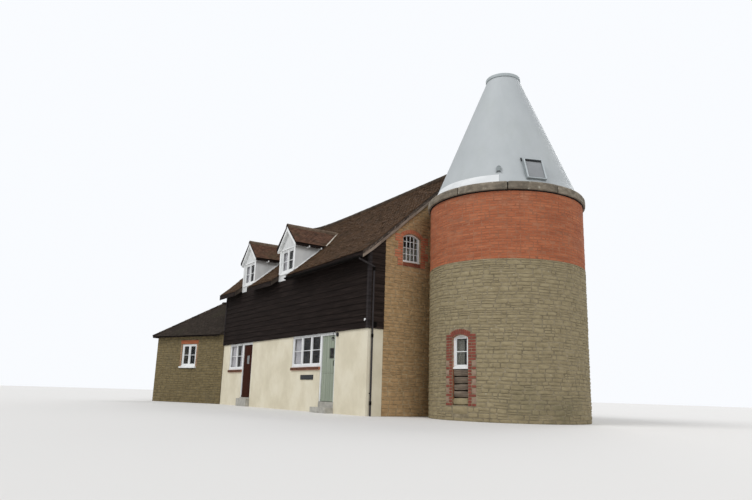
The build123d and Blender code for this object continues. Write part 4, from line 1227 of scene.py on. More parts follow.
def clear_of(spans: Sequence[Span], holes: Sequence[Span]) -> list[Span]:
    """Takes holes out of spans.

    Args:
        spans: The spans to lay in.
        holes: The spans to leave out.

    Returns:
        What is left.
    """
    left = list(spans)
    for a, b in holes:
        rest = []
        for low, high in left:
            if b <= low or a >= high:
                rest.append((low, high))
                continue
            if a > low:
                rest.append((low, a))
            if b < high:
                rest.append((b, high))
        left = rest
    return left


@dataclass(frozen=True)
class Rubble:
    """Roughly coursed stones of uneven length and height."""

    course: Span = (0.09, 0.16)
    length: Span = (0.17, 0.5)
    joint: float = 0.014
    proud: Span = (0.004, 0.014)
    depth: float = 0.05
    heave: float = 0.016

    def sway(self, layout: Layout, v: Span, phase: float) -> None:
        """Lets the courses rise and fall, except near their top and foot.

        Args:
            layout: The stones, which are moved.
            v: The lowest and highest line.
            phase: Where the waves start.
        """
        for index, (u, height, out) in enumerate(layout.middle):
            calm = min(1.0, max(0.0, min(height - v[0], v[1] - height) / 0.4))
            long, short = 1.9 * u + 0.9 * height + phase, 5.1 * u - 1.6 * height + 2 * phase
            rise = 0.6 * math.sin(long) + 0.4 * math.sin(short)
            lean = 0.6 * 1.9 * math.cos(long) + 0.4 * 5.1 * math.cos(short)
            layout.middle[index] = (u, height + calm * self.heave * rise, out)
            layout.turn[index] += calm * self.heave * lean

    def lay(self, rng: random.Random, v: Span, spans: Callable[[float, float], list[Span]]) -> Layout:
        """Lays the stones.

        Args:
            rng: The source of its unevenness.
            v: The lowest and highest line.
            spans: The clear spans of a course from its foot and head.

        Returns:
            The layout.
        """
        layout = Layout()
        foot = v[0]
        while foot < v[1] - 0.03:
            head = min(foot + rng.uniform(*self.course), v[1])
            if v[1] - head < self.course[0] * 0.6:
                head = v[1]
            for low, high in spans(foot, head):
                self.fill(rng, layout, (low, high), (foot, head))
            foot = head
        self.sway(layout, v, rng.uniform(0.0, 6.0))
        return layout

    def fill(self, rng: random.Random, layout: Layout, span: Span, v: Span) -> None:
        """Fills one clear span of a course, some of it with two thin stones for one.

        Args:
            rng: The source of its unevenness.
            layout: What the stones are added to.
            span: The clear span.
            v: The course's foot and head.
        """
        u = span[0]
        while u < span[1] - 0.03:
            size = rng.uniform(*self.length) * rng.uniform(0.7, 1.0)
            end = u + size
            if span[1] - end < self.length[0] * 0.7:
                end = span[1]
            rows = [v]
            if v[1] - v[0] > 0.105 and rng.random() < 0.4:
                split = v[0] + (v[1] - v[0]) * rng.uniform(0.36, 0.64)
                rows = [(v[0], split), (split, v[1])]
            for low, high in rows:
                proud = rng.uniform(*self.proud)
                size = (end - u - self.joint, high - low - self.joint, self.depth)
                if size[0] > 0.02 and size[1] > 0.02:
                    middle = (u + end) / 2, (low + high) / 2, proud - self.depth / 2
                    layout.put(*middle, size, rng.uniform(-0.012, 0.012))
            u = end


@dataclass(frozen=True)
class Bond:
    """Brickwork in regular courses of stretchers and headers."""

    brick: Point = (0.215, 0.065, 0.06)
    joint: float = 0.010
    proud: Span = (0.001, 0.007)
    headers: float = 0.35

    def lay(self, rng: random.Random, v: Span, spans: Callable[[float, float], list[Span]]) -> Layout:
        """Lays the bricks.

        Args:
            rng: The source of its unevenness.
            v: The lowest and highest line.
            spans: The clear spans of a course from its foot and head.

        Returns:
            The layout.
        """
        layout = Layout()
        count = max(1, round((v[1] - v[0]) / (self.brick[1] + self.joint)))
        pitch = (v[1] - v[0]) / count
        half = (self.brick[0] - self.joint) / 2
        for row in range(count):
            foot = v[0] + row * pitch
            for low, high in spans(foot, foot + pitch):
                u = low - (half + self.joint if row % 2 else 0.0)
                while u < high - 0.02:
                    long = half if rng.random() < self.headers else self.brick[0]
                    start, end = max(u, low), min(u + long, high - self.joint)
                    if high - end < 0.05:
                        end = high - self.joint
                    if end - start > 0.02:
                        size = (end - start, pitch - self.joint, self.brick[2])
                        out = rng.uniform(*self.proud) - self.brick[2] / 2
                        layout.put((start + end) / 2, foot + pitch / 2, out, size, rng.uniform(-0.006, 0.006))
                    u = max(end, u + long) + self.joint
        return layout


class Shapes:
    """The unit shapes that the courses repeat."""

    def __init__(self) -> None:
        """Builds each family of shapes."""
        rng = random.Random(11)
        self.stones = self.family("stone", [self.stone(rng) for _ in range(7)])
        self.bricks = self.family("brick", [self.brick(rng) for _ in range(5)])
        self.tiles = self.family("tile", [self.tile(rng) for _ in range(5)])
        self.boards = self.family("board", [self.board(rng) for _ in range(6)])
        self.planks = self.family("plank", [self.plank()])

    @staticmethod
    def family(name: str, meshes: Sequence[bpy.types.Mesh]) -> bpy.types.Collection:
        """Puts a family of shapes into a collection.

        Args:
            name: The family's name.
            meshes: Its shapes.

        Returns:
            The collection.
        """
        group = bpy.data.collections.new(f"{name}_shapes")
        for index, mesh in enumerate(meshes):
            shape = bpy.data.objects.new(f"{name}_shape_{index}", mesh)
            group.objects.link(shape)
        bpy.context.scene.collection.children.link(group)
        return group

    @staticmethod
    def cushion(
        rng: random.Random, cells: tuple[int, int], inset: Span, jag: float, dome: float
    ) -> bpy.types.Mesh:
        """A unit block whose front is a domed grid with dropped edges.

        Args:
            rng: The source of its unevenness.
            cells: Cells along and up the front.
            inset: How far the front's rim stands in from the outline, along and up.
            jag: How uneven its outline is.
            dome: How far its middle stands out.

        Returns:
            The mesh.
        """
        across, up = cells
        work = Meshwork()
        front = []
        for j in range(up + 1):
            for i in range(across + 1):
                a, b = 2 * i / across - 1, 2 * j / up - 1
                rim = max(abs(a), abs(b)) > 0.99
                x = a * (0.5 - inset[0]) + rng.uniform(-jag, jag)
                y = b * (0.5 - inset[1]) + rng.uniform(-jag, jag)
                if abs(a) > 0.99 and abs(b) > 0.99:
                    x, y = x * 0.93, y * 0.9
                z = 0.5 - (0.05 if rim else 0.0) + dome * (1 - max(abs(a), abs(b))) + rng.uniform(0, 0.06)
                front.append((x, y, z))
        loop = [(i, 0) for i in range(across)] + [(across, j) for j in range(up)]
        loop += [(i, up) for i in range(across, 0, -1)] + [(0, j) for j in range(up, 0, -1)]
        outer = []
        for i, j in loop:
            a, b = 2 * i / across - 1, 2 * j / up - 1
            corner = 0.94 if abs(a) > 0.99 and abs(b) > 0.99 else 1.0
            x = 0.5 * a * corner + rng.uniform(-jag, jag)
            y = 0.5 * b * corner + rng.uniform(-jag, jag)
            outer.append((x, y, 0.22))
        back = [(x, y, -0.5) for x, y, _ in outer]
        at = lambda i, j: j * (across + 1) + i
        faces = [
            [at(i, j), at(i + 1, j), at(i + 1, j + 1), at(i, j + 1)] for j in range(up) for i in range(across)
        ]
        base, size = len(front), len(loop)
        for k, (i, j) in enumerate(loop):
            n = (k + 1) % size
            faces.append([at(*loop[n]), at(i, j), base + k, base + n])
            faces.append([base + n, base + k, base + size + k, base + size + n])
        faces.append([base + size + k for k in range(size)][::-1])
        work.add(np.array(front + outer + back), faces)
        return work.mesh("shape")

    def stone(self, rng: random.Random) -> bpy.types.Mesh:
        """A rubble stone."""
        return self.cushion(rng, (4, 2), (0.035, 0.09), 0.022, 0.12)

    def brick(self, rng: random.Random) -> bpy.types.Mesh:
        """An old brick with worn edges."""
        return self.cushion(rng, (2, 1), (0.018, 0.06), 0.008, 0.0)

    @staticmethod
    def tile(rng: random.Random) -> bpy.types.Mesh:
        """A plain clay tile, cambered across and raised at its tail.

        Args:
            rng: The source of its unevenness.

        Returns:
            The mesh.
        """
        work = Meshwork()
        camber = rng.uniform(0.1, 0.3)
        rings = []
        for x in (-0.5, 0.0, 0.5):
            crown = camber * (1 - abs(2 * x))
            drop = rng.uniform(-0.02, 0.02)
            rings.append(
                [
                    (x, -0.5 + drop, 0.45 + crown),
                    (x, -0.5 + drop, 1.0 + crown),
                    (x, 0.5, -0.1 + crown),
                    (x, 0.5, -0.65 + crown),
                ]
            )
        work.sweep(np.array(rings))
        return work.mesh("shape")

    @staticmethod
    def board(rng: random.Random) -> bpy.types.Mesh:
        """A tapered weatherboard with a slightly uneven lower edge.

        Args:
            rng: The source of its unevenness.

        Returns:
            The mesh.
        """
        work = Meshwork()
        rings = []
        for x in np.linspace(-0.5, 0.5, 13):
            wave = rng.uniform(-0.018, 0.018)
            lift = rng.uniform(-0.06, 0.06)
            rings.append(
                [
                    (x, 0.5, -0.5),
                    (x, -0.5 + wave, -0.5),
                    (x, -0.5 + wave, 0.42 + lift),
                    (x, -0.46 + wave, 0.5 + lift),
                    (x, 0.5, -0.2),
                ]
            )
        work.sweep(np.array(rings)[::-1])
        return work.mesh("shape")

    @staticmethod
    def plank() -> bpy.types.Mesh:
        """An upright plank with chamfered long edges."""
        work = Meshwork()
        outline = [(-0.5, -0.5), (0.5, -0.5), (0.5, 0.1), (0.45, 0.5), (-0.45, 0.5), (-0.5, 0.1)]
        rings = [[(x, y, z) for x, z in outline] for y in (0.5, -0.5)]
        work.sweep(np.array(rings))
        return work.mesh("shape")

    def clear(self) -> None:
        """Removes the unit shapes from the scene."""
        for group in (self.stones, self.bricks, self.tiles, self.boards, self.planks):
            for shape in list(group.objects):
                bpy.data.objects.remove(shape)
            bpy.data.collections.remove(group)


class Coursing:
    """The Geometry Nodes tree that lays unit shapes on points."""

    def __init__(self, works: Workshop) -> None:
        """Builds the tree.

        Args:
            works: The maker of pieces.
        """
        self.works = works
        self.tree = self.build()
        self.sockets = {
            entry.name: entry.identifier
            for entry in self.tree.interface.items_tree
            if entry.item_type == "SOCKET" and entry.in_out == "INPUT"
        }

    @staticmethod
    def build() -> bpy.types.NodeTree:
        """Builds the tree: shapes on points, uneven in tilt and depth, each with its own shade."""
        entries = [
            GroupSocket("Points", "NodeSocketGeometry"),
            GroupSocket("Shapes", "NodeSocketCollection"),
            GroupSocket("Finish", "NodeSocketMaterial"),
            GroupSocket("Tilt", FLOAT, 0.0),
            GroupSocket("Lift", FLOAT, 0.0),
            GroupSocket("Seed", "NodeSocketInt"),
        ]
        outputs = [GroupSocket("Courses", "NodeSocketGeometry")]
        tree, w, s, out = new_group("courses", "GeometryNodeTree", entries, outputs)
        tree.is_modifier = True

        def chance(kind: str, low: Input, high: Input, step: int) -> bpy.types.NodeSocket:
            """A random value for each piece.

            Args:
                kind: FLOAT or INT.
                low: The lowest value.
                high: The highest value.
                step: What is added to the seed, so that each value has its own.

            Returns:
                The value's socket.
            """
            seed = w.node("ShaderNodeMath", {0: s["Seed"], 1: float(step)}, operation="ADD").outputs[0]
            node = w.node("FunctionNodeRandomValue", data_type=kind)
            for name, value in (("Min", low), ("Max", high), ("Seed", seed)):
                w.feed(socket(node.inputs, name), value)
            return socket(node.outputs, "Value")

        def attribute(kind: str, name: str) -> bpy.types.NodeSocket:
            """A value that the layout keeps on its points."""
            node = w.node("GeometryNodeInputNamedAttribute", {"Name": name}, data_type=kind)
            return socket(node.outputs, "Attribute")

        minus = w.node("ShaderNodeMath", {0: s["Tilt"], 1: -1.0}, operation="MULTIPLY").outputs[0]
        tilts = {axis: chance("FLOAT", minus, s["Tilt"], axis + 1) for axis in (0, 1)}
        tilt = w.node("ShaderNodeCombineXYZ", {**tilts, 2: attribute("FLOAT", "turn")})
        turn = w.node("FunctionNodeEulerToRotation", {0: tilt.outputs[0]})
        shapes = w.node("GeometryNodeCollectionInfo", {"Collection": s["Shapes"]})
        socket(shapes.inputs, "Separate Children").default_value = True
        socket(shapes.inputs, "Reset Children").default_value = True
        laid = w.node(
            "GeometryNodeInstanceOnPoints",
            {
                "Points": s["Points"],
                "Instance": shapes.outputs[0],
                "Pick Instance": True,
                "Instance Index": chance("INT", 0, 97, 3),
                "Rotation": turn.outputs[0],
                "Scale": attribute("FLOAT_VECTOR", "size"),
            },
        )
        lift = w.node("ShaderNodeCombineXYZ", {2: chance("FLOAT", 0.0, s["Lift"], 4)})
        moved = w.node(
            "GeometryNodeTranslateInstances", {"Instances": laid.outputs[0], "Translation": lift.outputs[0]}
        )
        shade = w.node(
            "GeometryNodeStoreNamedAttribute",
            {"Geometry": moved.outputs[0], "Name": "tint", "Value": chance("FLOAT", 0.0, 1.0, 5)},
            data_type="FLOAT",
            domain="INSTANCE",
        )
        real = w.node("GeometryNodeRealizeInstances", {"Geometry": shade.outputs[0]})
        done = w.node("GeometryNodeSetMaterial", {"Geometry": real.outputs[0], "Material": s["Finish"]})
        tree.links.new(done.outputs[0], out.inputs[0])
        return tree

    def lay(
        self,
        name: str,
        layout: Layout,
        shapes: bpy.types.Collection,
        finish: Finish,
        surface: Surface | None,
        seed: int,
        tilt: float = 0.0,
        lift: float = 0.0,
        body: Body = Body.HOUSE,
        replaces: Sequence[str] = (),
        smooth: float | None = None,
    ) -> bpy.types.Object:
        """Lays shapes in courses as one piece.

        Args:
            name: The piece's name.
            layout: Where each shape goes.
            shapes: The family of shapes.
            finish: The finish.
            surface: The surface that they lie on.
            seed: The seed of the shades and the unevenness.
            tilt: The most that a shape is tilted, in radians.
            lift: The most that a shape stands out further.
            body: The body that the piece rides on.
            replaces: The CAD nodes that it stands for.
            smooth: The angle in degrees under which edges are smooth, or None for flat faces.

        Returns:
            The piece.
        """
        points = bpy.data.meshes.new(f"{name}_points")
        points.from_pydata(layout.middle, [], [])
        store(points, "size", "FLOAT_VECTOR", np.array(layout.size))
        store(points, "turn", "FLOAT", np.array(layout.turn))
        holder = bpy.data.objects.new(f"{name}_points", points)
        bpy.context.scene.collection.objects.link(holder)
        modifier = holder.modifiers.new("courses", "NODES")
        modifier.node_group = self.tree
        values = {
            "Shapes": shapes,
            "Finish": self.works.paints[finish],
            "Tilt": tilt,
            "Lift": lift,
            "Seed": seed,
        }
        for key, value in values.items():
            modifier[self.sockets[key]] = value
        holder.update_tag()
        graph = bpy.context.evaluated_depsgraph_get()
        mesh = bpy.data.meshes.new_from_object(holder.evaluated_get(graph), depsgraph=graph)
        holder.modifiers.clear()
        bpy.data.objects.remove(holder)
        mesh.name = name
        for spare in ("size", "turn"):
            if spare in mesh.attributes:
                mesh.attributes.remove(mesh.attributes[spare])
        settle(mesh, surface)
        return self.works.piece(mesh, finish, body, replaces, smooth)


# Openings and their brick dressings


@dataclass(frozen=True)
class Opening:
    """An opening with brick jambs and a segmental arch, in a surface's flat coordinates."""

    middle: float
    half: float
    foot: float
    spring: float
    rise: float
    ring: float = 0.15
    jamb: float = 0.15
    quoin: float = 0.11
    jamb_foot: float | None = None
    course: float = 0.075
    solid_from: float | None = None

    @property
    def radius(self) -> float:
        """The arch's inner radius."""
        return (self.half**2 + self.rise**2) / (2 * self.rise)

    @property
    def centre(self) -> float:
        """The height of the arch's centre."""
        return self.spring + self.rise - self.radius

    def steps(self) -> list[tuple[float, float, float]]:
        """(foot, head, width) of each step of the jambs, wide and narrow by turns."""
        low = self.foot if self.jamb_foot is None else self.jamb_foot
        rows = 3 if self.solid_from is None else 1
        count = max(2, round((self.spring + self.ring * 0.6 - low) / (self.course * rows)))
        pitch = (self.spring + self.ring * 0.6 - low) / count
        steps = []
        for k in range(count):
            foot = low + k * pitch
            long = k % 2 == 1 if self.solid_from is None else k % 3 == 0 or foot > self.solid_from
            steps.append((foot, foot + pitch, self.jamb + (self.quoin if long else 0.0)))
        return steps

    def holes(self, foot: float, head: float) -> list[Span]:
        """What a course leaves out for the opening and its bricks.

        Args:
            foot: The course's foot.
            head: The course's head.

        Returns:
            The span that is left out, or nothing.
        """
        reach = 0.0
        if head > self.foot + 0.01 and foot < self.spring + self.rise:
            reach = self.half
        for low, high, width in self.steps():
            if head > low + 0.015 and foot < high - 0.015:
                width = width if self.solid_from is None else self.jamb + self.quoin
                reach = max(reach, self.half + width)
        crown = self.spring + self.rise + self.ring
        if foot < crown - 0.01 and head > self.spring + self.ring * 0.5:
            drop = max(foot, self.spring) + 0.01 - self.centre
            reach = max(reach, math.sqrt(max((self.radius + self.ring) ** 2 - drop**2, 0.0)))
        return [(self.middle - reach, self.middle + reach)] if reach else []

    def dress(self, rng: random.Random, depth: float = 0.09) -> Layout:
        """Lays the jambs and the arch, set back far enough to line the reveal.

        Args:
            rng: The source of its unevenness.
            depth: The depth of the bricks.

        Returns:
            The layout.
        """
        layout = Layout()
        for index, (low, high, width) in enumerate(self.steps()):
            rows = max(1, round((high - low) / self.course))
            pitch = (high - low) / rows
            for row in range(rows):
                v = low + (row + 0.5) * pitch
                whole = width < 0.24 or row % 2 if self.solid_from is None else width < 0.15 or index % 2
                for side in (-1, 1):
                    cuts = [0.0, width] if whole else [0.0, 0.105, width]
                    for a, b in zip(cuts, cuts[1:]):
                        u = self.middle + side * (self.half + (a + b) / 2)
                        size = (b - a - 0.009, pitch - 0.009, depth)
                        layout.put(u, v, 0.009 - depth / 2 + rng.uniform(-0.002, 0.003), size)
        lean = math.asin(min(1.0, self.half / self.radius))
        count = max(5, round(2 * lean * (self.radius + self.ring) / self.course) | 1)
        wide = 2 * lean * (self.radius + self.ring / 2) / count - 0.009
        for k in range(count):
            turn = lean * (2 * (k + 0.5) / count - 1)
            reach = self.radius + self.ring / 2
            u = self.middle + reach * math.sin(turn)
            v = self.centre + reach * math.cos(turn)
            out = 0.011 - depth / 2 + rng.uniform(-0.002, 0.003)
            layout.put(u, v, out, (wide, self.ring - 0.006, depth), -turn)
        return layout

    def infill(self, rng: random.Random, depth: float = 0.09) -> Layout:
        """Lays the small stones between the long bricks of toothed jambs.

        Args:
            rng: The source of its unevenness.
            depth: The depth of the stones.

        Returns:
            The layout.
        """
        layout = Layout()
        steps = self.steps()
        for (foot, _, first), (_, head, second) in zip(steps, steps[1:]):
            if first == second == self.jamb:
                for side in (-1, 1):
                    u = self.middle + side * (self.half + self.jamb + self.quoin / 2)
                    out = 0.008 - depth / 2 + rng.uniform(-0.004, 0.003)
                    layout.put(u, (foot + head) / 2, out, (self.quoin - 0.008, head - foot - 0.012, depth))
        return layout


def bedding(layout: Layout) -> Layout:
    """The joints behind a layout: the same pieces, a little larger and set back."""
    bed = Layout()
    for (u, v, out), (wide, tall, deep), turn in zip(layout.middle, layout.size, layout.turn):
        bed.put(u, v, out - 0.0065, (wide + 0.014, tall + 0.014, deep - 0.006), turn)
    return bed


def capping(
    work: Meshwork, line: Sequence[Point], width: float, rise: float, drop: float, lap: float = 0.006
) -> None:
    """Adds half-round tiles along a ridge or hip, one between each two points.

    Args:
        work: The mesh that gathers them.
        line: Points along the ridge.
        width: Half of their width.
        rise: How far their crown stands above the line.
        drop: How far their feet hang below it.
        lap: How much the tail of each stands over the next.
    """
    turn = np.linspace(0.0, math.pi, 11)
    for index, (a, b) in enumerate(zip(line, line[1:])):
        a, b = np.array(a, float), np.array(b, float)
        way = (b - a) / np.linalg.norm(b - a)
        side = np.cross(way, WORLD_UP)
        side /= np.linalg.norm(side)
        up = np.cross(side, way)
        rings = []
        for point, grow in ((a - way * 0.008, lap), (a + way * 0.05, lap * 0.6), (b - way * 0.004, 0.0)):
            loop = []
            for shrink, angles in ((grow, turn), (grow - 0.016, turn[::-1])):
                for angle in angles:
                    across = (width + shrink) * math.cos(angle)
                    height = (rise + drop + shrink) * math.sin(angle) ** 0.9 - drop
                    loop.append(point + side * across + up * height)
            rings.append(loop)
        work.sweep(np.array(rings), tint=(index * 0.37) % 1.0)


@dataclass
class Assembly:
    """A sub-assembly, with what its pieces are made with."""

    works: Workshop
    coursing: Coursing
    shapes: Shapes

    def stones(
        self, name: str, layout: Layout, finish: Finish, surface: Surface, seed: int, *uneven: float
    ) -> None:
        """Lays stones with worn edges as one piece."""
        family = self.shapes.stones
        self.coursing.lay(name, layout, family, finish, surface, seed, *uneven, smooth=STONE_EDGE)

    def bricks(
        self, name: str, layout: Layout, finish: Finish, surface: Surface, seed: int, *uneven: float
    ) -> None:
        """Lays bricks as one piece."""
        self.coursing.lay(name, layout, self.shapes.bricks, finish, surface, seed, *uneven)

    def tiles(self, name: str, layout: Layout, finish: Finish, surface: Surface, seed: int) -> None:
        """Lays roof tiles as one piece."""
        self.coursing.lay(name, layout, self.shapes.tiles, finish, surface, seed, 0.012, 0.003)


def turned(outline: Sequence[Span], sides: int) -> np.ndarray:
    """Turns an outline about the kiln's axis.

    Args:
        outline: Its (radius, height) points.
        sides: How many sides the round has.

    Returns:
        A ring of points for each side.
    """
    angles = np.arange(sides) * 2 * math.pi / sides
    return np.array([[(r * math.cos(a), r * math.sin(a), z) for r, z in outline] for a in angles])


# Kiln


@dataclass
class Kiln(Assembly):
    """The round kiln: coursed rubble below, old brick above, under a ring of coping stones."""

    radius: float = 2.2
    stone_top: float = 4.13
    band_top: float = 5.99
    coping_height: float = 0.24
    coping_radius: float = 2.285
    wall_inside: float = 1.86
    shown: float = 155.0
    window_azimuth: float = KILN_WINDOW_AZIMUTH
    window_half: float = 0.255
    recess_foot: float = 0.39
    window_foot: float = 1.3
    window_spring: float = 2.105
    window_rise: float = 0.075
    slats: int = 4
    slat_foot: float = 0.575
    pad: float = 0.23
    coping_start: float = -151.0
    coping_count: int = 10

    @property
    def window(self) -> Opening:
        """The opening and its dressings."""
        return Opening(
            self.radius * math.radians(self.window_azimuth),
            self.window_half,
            self.recess_foot - self.pad,
            self.window_spring,
            self.window_rise,
            ring=0.16,
            jamb=0.11,
            quoin=0.125,
            jamb_foot=self.recess_foot - 0.02,
            solid_from=1.58,
        )

    def build(self) -> None:
        """Builds and dresses the kiln's walls."""
        self.works.paint(MORTAR, "kiln_stone_wall_odd", "kiln_stone_wall_even", "kiln_doorway_head")
        self.works.paint(BRICK_JOINT, "kiln_brick_wall_odd", "kiln_brick_wall_even")
        wall = Round(self.radius)
        reach = self.radius * math.radians(self.shown)
        opening = self.window
        stones = Rubble((0.07, 0.155), (0.13, 0.46)).lay(
            random.Random(21),
            (0.0, self.stone_top),
            lambda a, b: clear_of([(-reach, reach)], opening.holes(a, b)),
        )
        self.stones("kiln_stones", stones, STONE, wall, 1, 0.012, 0.006)
        band = (self.stone_top, self.band_top)
        bricks = Bond().lay(random.Random(22), band, lambda a, b: [(-reach, reach)])
        self.bricks("kiln_bricks", bricks, BRICK, wall, 2, 0.02, 0.004)
        jambs = opening.dress(random.Random(23))
        self.bricks("kiln_window_bricks", jambs, KILN_JAMB_WITH_SHADE, wall, 3, 0.01)
        self.bricks("kiln_window_joints", bedding(jambs), BRICK_JOINT, wall, 6)
        infill = opening.infill(random.Random(26))
        self.stones("kiln_window_infill", infill, PINK_STONE, wall, 7, 0.012)
        self.build_blocking()
        self.build_coping()

    def build_blocking(self) -> None:
        """Old slats that block the opening under the window, on a pale stone."""
        rng = random.Random(25)
        middle, wall = self.window.middle, Round(self.radius)
        half = self.window_half - 0.001
        # Painted shade, in part: the back behind the slats is near black, so the gaps between them read as
        # shadow lines.
        back = Meshwork()
        heights = (self.recess_foot, self.window_foot - 0.002)
        for low, high in ((-half, -half / 3), (-half / 3, half / 3), (half / 3, half)):
            back.box((middle + low, middle + high), heights, (-0.16, -0.1), 0.0005)
        mesh = back.mesh("kiln_opening_back", wall)
        self.works.piece(mesh, DARK_TIMBER_AND_SHADE, replaces=("kiln_blocked_opening",))
        slats = Layout()
        pitch = (self.window_foot - self.slat_foot) / self.slats
        for k in range(self.slats):
            height = pitch - rng.uniform(0.022, 0.034)
            v = self.slat_foot + (k + 0.5) * pitch - 0.008 + rng.uniform(-0.004, 0.004)
            out = -0.078 + rng.uniform(-0.006, 0.006)
            slats.put(middle, v, out, (2 * half - 0.004, height, 0.06), rng.uniform(-0.028, 0.028))
        self.stones("kiln_old_slats", slats, OLD_SLATS, wall, 4, 0.05)
        foot = Layout()
        low, high = self.recess_foot, self.slat_foot
        wide, deep = 2 * half - 0.01, 0.06
        foot.put(middle, low - self.pad / 2 - 0.005, -0.022, (wide, self.pad - 0.02, deep))
        foot.put(middle, (low + high) / 2, -0.055, (wide, high - low - 0.02, deep), 0.02)
        self.stones("kiln_opening_foot", foot, STONE, wall, 5)

    def build_coping(self) -> None:
        """Worn coping stones with rounded edges and open joints, over a near-black ring that is painted shade
        under their overhang.
        """
        rng = random.Random(24)
        work = Meshwork()
        step = 360.0 / self.coping_count
        for k in range(self.coping_count):
            start = math.radians(self.coping_start + k * step) + 0.006
            end = math.radians(self.coping_start + (k + 1) * step) - 0.006
            high, low = rng.uniform(-0.012, 0.0), rng.uniform(-0.012, 0.0)
            r = self.coping_radius + low
            foot, head = self.band_top, self.band_top + self.coping_height + high
            rings = []
            for share in np.linspace(0.0, 1.0, 29):
                angle = start + share * (end - start)
                pull = 0.012 * (1.0 if share in (0.0, 1.0) else 0.0)
                wear = rng.uniform(-0.004, 0.003)
                outline = [
                    (self.wall_inside, foot),
                    (r - 0.02 - pull, foot + 0.001),
                    (r - 0.004 - pull, foot + 0.012),
                    (r + wear - pull, foot + 0.06),
                    (r + wear * 0.5 - pull, foot + 0.13),
                    (r - 0.006 - pull, head - 0.05),
                    (r - 0.022 - pull, head - 0.02),
                    (r - 0.055 - pull, head - 0.004 - pull * 0.3),
                    (self.wall_inside, head),
                ]
                rings.append([(a * math.cos(angle), a * math.sin(angle), z) for a, z in outline])
            work.sweep(np.array(rings)[::-1], tint=rng.random())
        mesh = work.mesh("kiln_coping")
        self.works.piece(mesh, COPING, replaces=("kiln_coping_odd", "kiln_coping_even"), smooth=ROUND_EDGE)
        # Painted shade: a near-black ring just under the coping's overhang, where its shadow falls.
        bed = Meshwork()
        foot, head = self.band_top - 0.03, self.band_top + 0.002
        outline = [(self.radius + 0.0155, foot), (self.radius + 0.03, head), (self.wall_inside + 0.1, head)]
        outline.append((self.wall_inside + 0.1, foot))
        bed.sweep(turned(outline, 144), closed=True)
        self.works.piece(facing_out(bed.mesh("kiln_coping_bed")), DARK_TIMBER_AND_SHADE)


# Cone


